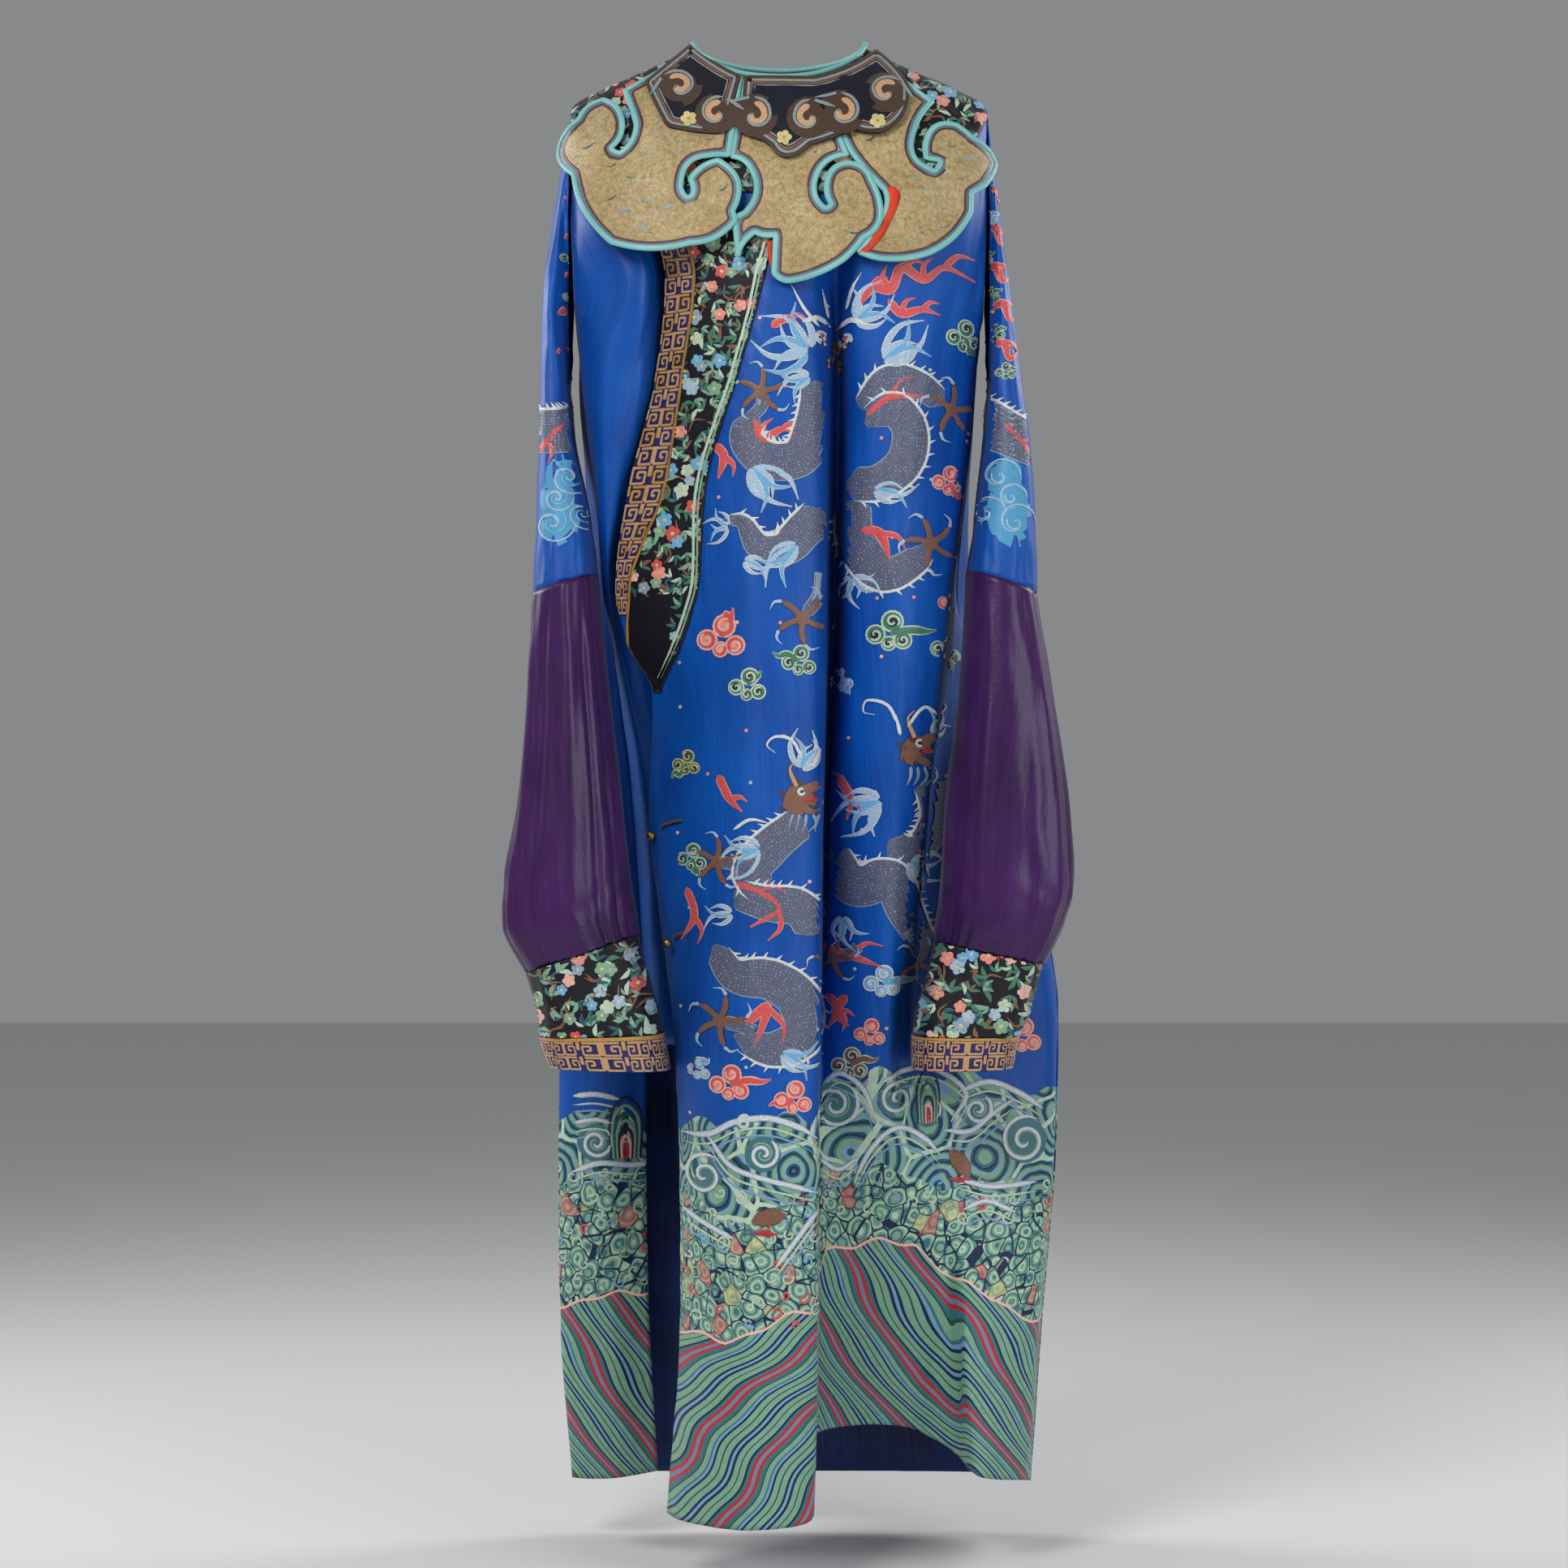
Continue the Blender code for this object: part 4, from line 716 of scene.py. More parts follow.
def robe_silk(name):
    """Blue silk that turns into billows, small swirl clouds and slanting stripes at the hem."""
    t = Tree(name)
    uv = t.uv()
    cloud = t.noise(uv, 9.0, 4.0)
    slub_map = t.add("ShaderNodeMapping", (("Vector", uv), ("Scale", (420.0, 9.0, 1))))
    slub = t.noise(slub_map.outputs[0], 1.0, 2.0)
    tone = t.math("MULTIPLY_ADD", slub, 0.45, t.math("MULTIPLY", cloud, 0.75))
    share = t.add("ShaderNodeMapRange", (("Value", tone), ("From Min", 0.40), ("From Max", 0.80)))
    ground = t.mix(share.outputs[0], TINT["blue_deep"], TINT["blue"])
    # big billows: rings round scattered centres, white where two billows meet
    warp = t.noise(uv, 30.0, 2.0)
    drift = t.add("ShaderNodeCombineXYZ", ((0, t.math("MULTIPLY", warp, 0.010)),
                                           (1, t.math("MULTIPLY", warp, 0.014)))).outputs[0]
    bent = t.add("ShaderNodeVectorMath", ((0, uv), (1, drift)), operation="ADD").outputs[0]

    def billows(scale, rings, stops, edge_width, edge_tint):
        cell = t.add("ShaderNodeTexVoronoi", (("Vector", bent), ("Scale", scale), ("Randomness", 0.85)))
        edge = t.add("ShaderNodeTexVoronoi", (("Vector", bent), ("Scale", scale), ("Randomness", 0.85)),
                     feature="DISTANCE_TO_EDGE")
        turn = t.math("FRACT", t.math("MULTIPLY", cell.outputs["Distance"], rings))
        body = t.ramp(turn, stops, True)
        rim = t.math("LESS_THAN", edge.outputs["Distance"], edge_width)
        return t.mix(rim, body, edge_tint), cell.outputs["Color"]

    big_rings = ((0.0, TINT["sage"]), (0.34, TINT["stripe_teal"]), (0.52, TINT["stripe_navy"]),
                 (0.66, TINT["teal"]), (0.84, TINT["stripe_sky"]))
    small_rings = ((0.0, TINT["sage"]), (0.30, TINT["stripe_teal"]), (0.55, TINT["stripe_sage"]),
                   (0.80, TINT["mint"]))
    big, _ = billows(BILLOWS_PER_M, 5.5, big_rings, 0.035, TINT["mint"])
    small, pick = billows(SWIRLS_PER_M, 3.0, small_rings, 0.04, TINT["stripe_navy"])
    hue = t.add("ShaderNodeSeparateColor", ((0, pick),)).outputs[0]
    small = t.mix(t.math("MULTIPLY", t.math("GREATER_THAN", hue, 0.92), 0.5), small, TINT["coral"])
    small = t.mix(t.math("MULTIPLY", t.math("LESS_THAN", hue, 0.05), 0.5), small, TINT["straw"])
    water = t.attribute("water")
    swirl = t.attribute("swirl")
    hem = t.attribute("hem")
    phase = t.math("FRACT", t.math("DIVIDE", t.attribute("phase"), STRIPE_REPEAT))
    stripes = t.ramp(phase, stripe_stops(STRIPES), True)
    mottle = t.noise(uv, 140.0, 2.0)
    full = t.mix(t.math("GREATER_THAN", swirl, 0.0), big, small)
    full = t.mix(t.math("GREATER_THAN", hem, 0.0), full, stripes)
    full = t.mix(t.add("ShaderNodeMapRange", (("Value", mottle), ("From Min", 0.3), ("From Max", 0.75),
                                              ("To Min", 0.0), ("To Max", 0.22))).outputs[0],
                 full, TINT["stripe_green"])
    line = t.math("LESS_THAN", t.math("ABSOLUTE", t.math("SUBTRACT", hem, -0.0012)), 0.0012)
    full = t.mix(line, full, TINT["rose"])
    t.colour(t.mix(t.math("GREATER_THAN", water, 0.0), ground, full))
    stitch_map = t.add("ShaderNodeMapping", (("Vector", uv), ("Scale", (1300.0, 1300.0, 1)),
                                             ("Rotation", (0, 0, 0.8))))
    stitch = t.noise(stitch_map.outputs[0], 1.0, 1.0)
    t.bump(*weave_bumps(t, uv), (stitch, 0.3, 0.00012))
    t.set(Roughness=0.48, Sheen_Weight=0.03, Sheen_Roughness=0.4, Specular_IOR_Level=0.28)
    return t.material


def thread(name, gloss=0.46):
    """Floss embroidery: its colour lies on the stitches and fine lines cross each stroke."""
    t = Tree(name)
    uv = t.uv()
    base = t.attribute("thread", "Color")
    fine = t.add("ShaderNodeMapping", (("Vector", uv), ("Scale", (1500.0, 160.0, 1))))
    lines = t.noise(fine.outputs[0], 1.0, 1.0)
    uneven = t.noise(uv, 500.0, 2.0)
    shade = t.add("ShaderNodeMapRange", (("Value", t.math("ADD", lines, uneven)), ("From Min", 0.7),
                                         ("From Max", 1.3), ("To Min", 0.62), ("To Max", 1.12)))
    grey = t.add("ShaderNodeCombineColor", ((0, shade.outputs[0]), (1, shade.outputs[0]),
                                            (2, shade.outputs[0]))).outputs[0]
    t.colour(t.mix(1.0, base, grey, "MULTIPLY"))
    t.bump((lines, 0.6, 0.0002))
    t.set(Roughness=gloss, Sheen_Weight=0.15)
    return t.material


def scaled_thread(name):
    """Dragon scales: rows of pale knots in dark outlines, some of them rusty."""
    t = Tree(name)
    uv = t.uv()
    cell = t.add("ShaderNodeTexVoronoi", (("Vector", uv), ("Scale", 330.0), ("Randomness", 0.35)))
    hue = t.add("ShaderNodeSeparateColor", ((0, cell.outputs["Color"]),)).outputs[0]
    knot = t.ramp(cell.outputs["Distance"], ((0.0, TINT["white"]), (0.20, TINT["slate"]),
        (0.44, TINT["slate_dark"])))
    rusty = t.ramp(cell.outputs["Distance"], ((0.0, TINT["tan"]), (0.22, TINT["brown"]),
        (0.46, TINT["slate_dark"])))
    base = t.mix(t.math("GREATER_THAN", hue, 0.62), knot, rusty)
    shade = t.attribute("thread", "Color")
    t.colour(t.mix(0.38, base, shade))
    height = t.math("SUBTRACT", 1.0, cell.outputs["Distance"])
    t.bump((height, 0.7, 0.0006))
    t.set(Roughness=0.5, Sheen_Weight=0.1)
    return t.material


def cream_silk(name):
    """Collar silk: cream, worked all over in small stitches, stained at places."""
    t = Tree(name)
    uv = t.uv()
    cloud = t.noise(uv, 22.0, 4.0)
    fleck = t.noise(uv, 190.0, 3.0)
    knots = t.add("ShaderNodeTexVoronoi", (("Vector", uv), ("Scale", 420.0)))
    share = t.add("ShaderNodeMapRange", (("Value", t.math("MULTIPLY_ADD", fleck, 0.6,
        t.math("MULTIPLY", cloud, 0.6))),
                                         ("From Min", 0.45), ("From Max", 0.75)))
    base = t.mix(share.outputs[0], TINT["cream_deep"], TINT["cream"])
    sprinkle = t.math("GREATER_THAN", t.noise(uv, 130.0, 2.0), 0.64)
    base = t.mix(t.math("MULTIPLY", sprinkle, 0.30), base, TINT["leaf"])
    base = t.mix(t.math("MULTIPLY", knots.outputs["Distance"], 0.5), base, TINT["cord_brown"])
    t.colour(base)
    t.bump((knots.outputs["Distance"], 0.5, 0.0004), (fleck, 0.5, 0.0007))
    t.set(Roughness=0.6, Sheen_Weight=0.2)
    return t.material


def loop_cord(name):
    """Twisted brown silk cord of the button loops."""
    t = Tree(name)
    place = t.add("ShaderNodeTexCoord").outputs["Object"]
    plies = t.add("ShaderNodeMapping", (("Vector", place), ("Scale", (900.0, 900.0, 2600.0)),
        ("Rotation", (0.6, 0, 0))))
    twist = t.noise(plies.outputs[0], 1.0, 1.0)
    t.colour(t.mix(twist, TINT["cord_brown"], TINT["brown"]))
    t.bump((twist, 0.5, 0.0002))
    t.set(Roughness=0.6)
    return t.material


def brass(name):
    """Worn brass."""
    t = Tree(name)
    place = t.add("ShaderNodeTexCoord").outputs["Object"]
    grime = t.noise(place, 700.0, 3.0)
    t.colour(t.mix(grime, srgb("8a6a2c"), srgb("d7b05a")))
    t.bump((grime, 0.2, 0.0002))
    t.set(Metallic=1.0, Roughness=0.32)
    return t.material


SILKS = {
    "robe": robe_silk("robe_silk"),
    "plain_blue": silk("plain_blue_silk", TINT["blue"], TINT["blue_deep"], 0.4),
    "lining": silk("lining_silk", TINT["lining_blue"], TINT["navy"], 0.5, 0.05),
    "sleeve_blue": silk("sleeve_blue_silk", TINT["blue"], TINT["blue_deep"], 0.44),
    "purple": silk("purple_satin", TINT["purple"], TINT["purple_deep"], 0.34, 0.12),
    "dark": silk("dark_silk", TINT["dark"], TINT["dark"], 0.55, 0.1),
    "aubergine": silk("aubergine_satin", TINT["aubergine"], TINT["dark"], 0.42, 0.15),
    "fret": silk("fret_silk", TINT["fret_ground"], TINT["navy"], 0.5, 0.1),
    "cream": cream_silk("cream_silk"),
    "navy": silk("collar_ground", TINT["navy"], TINT["dark"], 0.6, 0.1),
    "turquoise": silk("turquoise_satin", TINT["turquoise_lit"], TINT["turquoise"], 0.45),
    "gold": silk("gold_cord", TINT["gold"], TINT["cord_brown"], 0.45),
    "orange": silk("orange_silk", TINT["orange"], srgb("b8300f"), 0.5),
    "brown": silk("brown_cord", TINT["cord_brown"], TINT["brown_dark"], 0.6),
    "thread": thread("floss"),
    "scales": scaled_thread("scale_floss"),
    "brass": brass("brass"),
    "loop": loop_cord("loop_cord"),
}
# the buttons and their loops are the solids themselves
for solid in bpy.data.objects:
    for word, key in (("button_loop", "loop"), ("button_upper", "brass"), ("button_lower", "brass")):
        if solid.get("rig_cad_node", "").startswith(word):
            solid.data.materials.clear()
            solid.data.materials.append(SILKS[key])


# ---------------------------------------------------------------- cloth shells
SHEETS = []       # piece, flat width, flat length, flat area, smaller pieces on it


def flat_pattern(grid):
    """Width and length along the cloth of every point of a grid, in metres."""
    across = np.linalg.norm(np.diff(grid, axis=1), axis=2)
    down = np.linalg.norm(np.diff(grid, axis=0), axis=2)
    u = np.concatenate([np.zeros((len(grid), 1)), np.cumsum(across, axis=1)], axis=1)
    u -= u[:, -1:] / 2
    v = np.concatenate([np.zeros((1, grid.shape[1])), np.cumsum(down, axis=0)], axis=0)
    v = v * 0.25 + v.mean(axis=1, keepdims=True) * 0.75
    return u, v


def shell(name, grid, material, node, closed=False, flip=False, offset=-1.0, thickness=WALL, fields=None):
    """Cloth wall on a fine grid that stands for a CAD node; keeps its flat pattern as UVs."""
    rows, cols = grid.shape[:2]
    around = np.concatenate([grid, grid[:, :1]], axis=1) if closed else grid
    u, v = flat_pattern(around)
    mesh = bpy.data.meshes.new(name)
    faces = grid_faces(rows, cols, closed, flip)
    mesh.from_pydata(grid.reshape(-1, 3).tolist(), [], faces)
    layer = mesh.uv_layers.new(name="flat")
    index = np.zeros(len(mesh.loops), int)
    mesh.loops.foreach_get("vertex_index", index)
    row = index // cols
    col = index % cols
    if closed:
        first = np.repeat(np.array([min(f) for f in faces]) * 0, 4)
        span = np.arange(len(faces)) % cols == cols - 1
        wraps = np.repeat(span, 4) & (col == 0)
        col = np.where(wraps, cols, col) + first
    flat = np.stack([u[row, col], -v[row, col]], axis=1)
    layer.data.foreach_set("uv", flat.astype(np.float32).ravel())
    for key, values in (fields or {}).items():
        slot = mesh.attributes.new(key, "FLOAT", "POINT")
        slot.data.foreach_set("value", np.asarray(values, np.float32).ravel())
    mesh.polygons.foreach_set("use_smooth", [True] * len(mesh.polygons))
    mesh.materials.append(SILKS[material])
    mesh.materials.append(SILKS["lining"])
    obj = bpy.data.objects.new(name, mesh)
    bpy.context.scene.collection.objects.link(obj)
    mod = obj.modifiers.new("wall", "SOLIDIFY")
    mod.material_offset = 1 if offset < 0 else 0
    mod.thickness = thickness
    mod.offset = offset
    mod.use_rim = True
    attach(obj, ROOT)
    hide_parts(node)
    wide = float((u.max(axis=1) - u.min(axis=1)).max())
    long = float((v.max(axis=0) - v.min(axis=0)).max())
    quads = np.linalg.norm(np.cross(np.diff(around, axis=1)[:-1], np.diff(around, axis=0)[:, :-1]),
        axis=2)
    SHEETS.append([obj, wide, long, min(float(quads.sum()), wide * long), []])
    return obj


def smooth_step(t):
    """Soft rise from 0 to 1."""
    t = np.clip(t, 0, 1)
    return t * t * (3 - 2 * t)


def crease_field(u, v, rows):
    """Height of soft troughs and ridges: across, top, foot, lean, width, height (+ out)."""
    out = np.zeros_like(u)
    for across, top, foot, lean, width, height in rows:
        along = np.clip((v - top) / (foot - top), -1, 2)
        centre = across + lean * along
        ends = smooth_step((v - top) / 0.05 + 0.5) * smooth_step((foot - v) / 0.06 + 0.5)
        out += height * np.exp(-((u - centre) / width) ** 2) * ends
    return out


def ripples(u, v, seed, size, height, stretch=3.0):
    """Uneven small puckers, longer down the cloth than across."""
    rng = np.random.default_rng(seed)
    out = np.zeros(np.broadcast(u, v).shape)
    for _ in range(10):
        angle = rng.normal(0, 0.5)
        rate = 2 * math.pi / (size * rng.uniform(0.6, 1.8))
        out += np.sin((u * math.cos(angle) + v * math.sin(angle) / stretch) * rate + rng.uniform(0, 6.28)
                      + 2.0 * np.sin(v * rate / stretch * 0.37 + rng.uniform(0, 6.28)))
    return out * height / 10 ** 0.5


def worn(grid, rows, seed, size=0.02, height=0.0004, closed=False):
    """Grid with its creases and puckers raised along the normals."""
    u, v = flat_pattern(grid)
    field = crease_field(u, v, rows) + ripples(u, v, seed, size, height)
    fade = smooth_step(v / 0.02) if not closed else 1.0
    if closed:
        padded = np.concatenate([grid[:, -1:], grid, grid[:, :1]], axis=1)
        n = grid_normals(padded)[:, 1:-1]
    else:
        n = grid_normals(grid)
    return grid + n * (field * fade)[..., None]


# Creases of the body: across from the middle, top, foot, lean, width, height, all in metres
FRONT_CREASES = (
    (-0.010, 0.20, 0.75, 0.012, 0.007, 0.0012), (-0.045, 0.28, 0.60, -0.008, 0.006, -0.0014),
    (0.095, 0.25, 0.58, 0.010, 0.008, -0.0016), (0.130, 0.18, 0.70, -0.006, 0.007, 0.0013),
    (0.175, 0.22, 0.52, 0.004, 0.006, -0.0012), (0.020, 0.60, 1.25, -0.010, 0.010, 0.0018),
    (-0.040, 0.75, 1.35, 0.006, 0.009, -0.0018), (0.110, 0.85, 1.40, 0.015, 0.010, 0.0020),
    (0.165, 0.80, 1.35, -0.012, 0.009, -0.0022), (0.215, 0.90, 1.40, 0.004, 0.008, 0.0016),
    (0.060, 0.55, 0.95, 0.006, 0.006, -0.0012), (-0.085, 0.70, 1.10, 0.004, 0.006, 0.0010),
)
BACK_CREASES = (
    (0.000, 0.12, 0.75, 0.010, 0.012, -0.0030), (-0.070, 0.30, 1.20, -0.012, 0.014, 0.0035),
    (0.080, 0.26, 1.15, 0.014, 0.013, 0.0032), (-0.130, 0.50, 1.38, 0.008, 0.012, -0.0034),
    (0.140, 0.55, 1.38, -0.010, 0.013, -0.0036), (0.030, 0.70, 1.38, 0.012, 0.014, 0.0038),
    (-0.035, 0.85, 1.38, -0.006, 0.012, -0.0030), (0.200, 0.60, 1.30, 0.006, 0.010, 0.0026),
    (-0.190, 0.40, 1.10, 0.004, 0.009, 0.0022),
)
INNER_CREASES = (
    (-0.045, 0.10, 0.60, 0.014, 0.009, 0.0026), (-0.012, 0.12, 0.70, 0.010, 0.008, -0.0026),
    (0.022, 0.12, 0.65, -0.004, 0.008, 0.0020), (0.045, 0.20, 0.60, 0.006, 0.007, -0.0018),
)

front_panel = Panel(panel_controls(FRONT_ROWS, FRONT_HEM_RISE, FRONT_ANGLES, -1))
back_panel = Panel(panel_controls(BACK_ROWS, BACK_HEM_RISE, BACK_ANGLES, 1))
inner_panel = Panel(panel_controls(INNER_ROWS, INNER_HEM_RISE, INNER_ANGLES, -1))

FRONT_ACROSS = [6, 9, 4, 9, 13, 13, 9, 9, 13, 12, 9, 6]
FRONT_DOWN = [9, 9, 9, 17, 17, 20, 17, 10, 10, 20, 36, 10, 18, 24, 32]
BACK_ACROSS = [9, 16, 20, 20, 16, 7, 8, 10]
BACK_DOWN = [8, 8, 8, 14, 14, 16, 14, 15, 16, 30, 23, 20, 26]
INNER_ACROSS = [5, 7, 7, 6, 6, 6]
INNER_DOWN = [6, 6, 6, 12, 12, 15, 12, 13, 14, 26]


def hem_fields(grid, slope_of, water_of, swirl_of, hem_of):
    """Distances below the lines where billows, swirls and stripes begin, and the stripes' phase."""
    x = grid[..., 0]
    y = grid[..., 1]
    z = grid[..., 2]
    wave = 0.006 * np.sin(x * 70 + 1.0) + 0.004 * np.sin(x * 150)
    bend = 0.012 * np.sin(z * 30 + x * 14) + 0.003 * np.sin(z * 95 + x * 40)
    turned = slope_of(x, y)
    return {
        "water": water_of(x) + wave - z,
        "swirl": swirl_of(x) + wave * 0.8 - z,
        "hem": hem_of(x) + wave * 0.6 - z,
        "phase": (z + turned + bend) * 0.74 + 10.0,
    }


FRONT_BEND_X = 0.036     # the deep crease, where the stripes turn
STRIPE_SLOPE = 1.05


def front_slope(x, y):
    """Stripes rise towards the deep crease on the front fold and fall away from it beyond."""
    return np.where(x < FRONT_BEND_X, -(x - FRONT_BEND_X) * STRIPE_SLOPE,
                    (x - FRONT_BEND_X) * STRIPE_SLOPE * 1.15 + (y + 0.03) * 0.6)


def back_slope(x, y):
    """Stripes fall from the slit edge to its fold, then meet at the middle of the back."""
    side = np.where(y < 0.125, 1.0, 0.0)
    return np.abs(x) * STRIPE_SLOPE * (1 - side) * -1.0 + x * STRIPE_SLOPE * 1.3 * side


def stepped(points):
    """Line through (x, z) points as a function."""
    xs, zs = zip(*points)
    return lambda x: np.interp(x, xs, zs)


FRONT_WATER = stepped(((-0.11, -1.038), (-0.07, -1.025), (-0.02, -1.016), (0.03, -1.020), (0.045, -0.985),
                       (0.12, -0.985), (0.19, -0.992), (0.27, -1.010)))
FRONT_SWIRL = stepped(((-0.11, -1.085), (-0.04, -1.118), (0.03, -1.085), (0.05, -1.070), (0.12, -1.080),
                       (0.18, -1.100), (0.27, -1.105)))
FRONT_HEM = stepped(((-0.11, -1.228), (-0.05, -1.222), (0.03, -1.196), (0.045, -1.150), (0.13, -1.150),
                     (0.17, -1.185), (0.20, -1.200), (0.27, -1.235)))
BACK_WATER = stepped(((-0.21, -1.030), (-0.13, -1.034), (0.0, -1.015), (0.13, -1.028), (0.27, -1.010)))
BACK_SWIRL = stepped(((-0.21, -1.098), (-0.12, -1.096), (0.0, -1.110), (0.27, -1.100)))
BACK_HEM = stepped(((-0.21, -1.222), (-0.12, -1.205), (0.0, -1.190), (0.15, -1.215), (0.27, -1.230)))

front_grid = worn(front_panel.grid(FRONT_ACROSS, FRONT_DOWN), FRONT_CREASES, 3)
back_grid = worn(back_panel.grid(BACK_ACROSS, BACK_DOWN), BACK_CREASES, 5, 0.03)
inner_grid = worn(inner_panel.grid(INNER_ACROSS, INNER_DOWN), INNER_CREASES, 8, 0.03)
front_shell = shell("silk_front", front_grid, "robe", "front_outer", fields=hem_fields(
    front_grid, front_slope, FRONT_WATER, FRONT_SWIRL, FRONT_HEM))
back_shell = shell("silk_back", back_grid, "robe", "back_panel", fields=hem_fields(
    back_grid, back_slope, BACK_WATER, BACK_SWIRL, BACK_HEM))
shell("silk_inner_front", inner_grid, "plain_blue", "inner_front")
front_cols = np.cumsum([0] + FRONT_ACROSS)
front_rows = np.cumsum([0] + FRONT_DOWN)


# ---------------------------------------------------------------- bands on the body
NECK_BAND_ROWS = int(front_rows[3]) + 1
BACK_BAND_ROWS = int(np.cumsum([0] + BACK_DOWN)[3]) + 1
INNER_BAND_ROWS = int(np.cumsum([0] + INNER_DOWN)[3]) + 1
BAND_OUT = SEAM_GAP
for label, source, count, node in (
        ("silk_neck_band_front", front_grid, NECK_BAND_ROWS, "neck_band_front"),
        ("silk_neck_band_back", back_grid, BACK_BAND_ROWS, "neck_band_back"),
        ("silk_neck_band_underlap", inner_grid, INNER_BAND_ROWS, "neck_band_underlap")):
    part = moved_out(source, BAND_OUT)[:count].copy()
    shell(label, part, "dark", node, offset=1.0, thickness=PLATE_WALL)

PIPING_COLUMN = int(front_cols[1])
BORDER_COLUMN = int(front_cols[2])
BORDER_TOP = int(front_rows[3])
FRET_END = int(front_rows[7] + FRONT_DOWN[7] * 0.6)
BORDER_END = int(front_rows[9]) + 1
BORDER_LIFT = 0.0005
lifted = moved_out(front_grid, BORDER_LIFT)
fret_grid = lifted[BORDER_TOP + 4:FRET_END, :PIPING_COLUMN + 1].copy()
border_grid = lifted[BORDER_TOP + 4:BORDER_END, PIPING_COLUMN:BORDER_COLUMN + 1].copy()
fret_shell = shell("silk_fret_band", fret_grid, "fret", "fret_band", offset=1.0, thickness=PLATE_WALL)
border_shell = shell("silk_border_band", border_grid, "dark", "border_band", offset=1.0,
    thickness=PLATE_WALL)


# ---------------------------------------------------------------- sleeves and cuffs
RING_POINTS = 104
SLEEVE_FINE = 12


def tube(name, table, material, node, mirror, pleat=None, extra=None, fine=SLEEVE_FINE, height=0.0005):
    """Sleeve tube on fine rings; pleat(share) gives gathers and extra(theta, share) larger folds."""
    rows = np.array(table)
    steps = subdivide(np.arange(len(rows)), fine)
    smooth = hermite(np.arange(len(rows)), rows, steps)
    share = steps / steps[-1]
    grid = np.array([sleeve_ring(r, RING_POINTS, 0.0) for r in smooth])
    theta = np.linspace(0, 2 * math.pi, RING_POINTS, endpoint=False)
    padded = np.concatenate([grid[:, -1:], grid, grid[:, :1]], axis=1)
    n = grid_normals(padded)[:, 1:-1]
    if not mirror:
        n = -n
    field = np.zeros(grid.shape[:2])
    if extra is not None:
        field += extra(theta[None, :], share[:, None])
    if pleat is not None:
        field += pleat(theta[None, :], share[:, None])
    length = (share * (rows[:, 1].max() - rows[:, 1].min()))[:, None]
    field += ripples(theta[None, :] * 0.06, length, 11, 0.03, height)
    grid = grid + n * field[..., None]
    return shell(name, grid, material, node, closed=True, flip=mirror), grid


def fold_rows(rows):
    """Folds along a sleeve: place round it (turns), from share, to share, width (turns), height."""
    def field(theta, share):
        out = np.zeros(np.broadcast(theta, share).shape)
        for turn, start, stop, width, height in rows:
            centre = turn * 2 * math.pi
            gap = np.abs((theta - centre + math.pi) % (2 * math.pi) - math.pi)
            ends = smooth_step((share - start) / 0.15) * smooth_step((stop - share) / 0.15)
            out = out + height * np.exp(-(gap / (width * 2 * math.pi)) ** 2) * ends
        return out
    return field


GATHER_COUNT = 34
GATHER_HEIGHT = 0.0022


def gathers(theta, share):
    """Small uneven gathers over the cuff seam."""
    rise = smooth_step((share - 0.72) / 0.24)
    wave = np.sin(theta * GATHER_COUNT + 1.3 * np.sin(theta * 5)) + 0.4 * np.sin(theta * 19 + 2)
    return wave * GATHER_HEIGHT * rise * 0.6


# place round (0 is the outer edge, 0.25 the back, 0.5 the inner edge, 0.75 the front)
PLUS_FOLDS = fold_rows((
    (0.93, -0.2, 1.2, 0.012, 0.0034), (0.86, 0.1, 1.2, 0.020, -0.0030), (0.78, 0.2, 1.0, 0.018, 0.0022),
    (0.70, 0.0, 0.8, 0.016, -0.0020), (0.62, 0.1, 1.2, 0.014, 0.0018), (0.56, 0.3, 1.2, 0.012, -0.0016),
    (0.20, 0.0, 1.1, 0.022, -0.0036), (0.30, 0.1, 1.2, 0.018, 0.0030), (0.10, 0.2, 1.2, 0.018, 0.0026),
))
MINUS_FOLDS = fold_rows((
    (0.95, -0.2, 1.2, 0.014, 0.0040), (0.89, -0.1, 1.2, 0.016, -0.0042), (0.82, 0.0, 1.2, 0.018, 0.0026),
    (0.745, -0.1, 1.2, 0.016, -0.0040), (0.68, 0.0, 1.1, 0.012, 0.0030), (0.62, -0.1, 1.2, 0.010, 0.0042),
    (0.575, 0.1, 1.2, 0.010, -0.0036), (0.22, 0.0, 1.1, 0.022, -0.0036), (0.32, 0.1, 1.2, 0.018, 0.0032),
    (0.12, 0.2, 1.2, 0.016, 0.0026),
))
UPPER_FOLDS = fold_rows((
    (0.88, 0.3, 1.2, 0.020, -0.0018), (0.80, 0.4, 1.2, 0.020, 0.0016), (0.66, 0.5, 1.2, 0.016, -0.0016),
    (0.25, 0.3, 1.1, 0.030, -0.0030),
))
CUFF_FOLDS = fold_rows((
    (0.84, -0.2, 1.2, 0.030, -0.0024), (0.72, -0.2, 1.2, 0.030, 0.0024),
    (0.62, -0.2, 1.2, 0.024, -0.0018),
    (0.30, -0.2, 1.2, 0.030, 0.0022), (0.16, -0.2, 1.2, 0.026, -0.0022),
))
HALF_GAP = 0.0001
FRET_FROM = 1 - FRET_SHARE
TUBES = {}
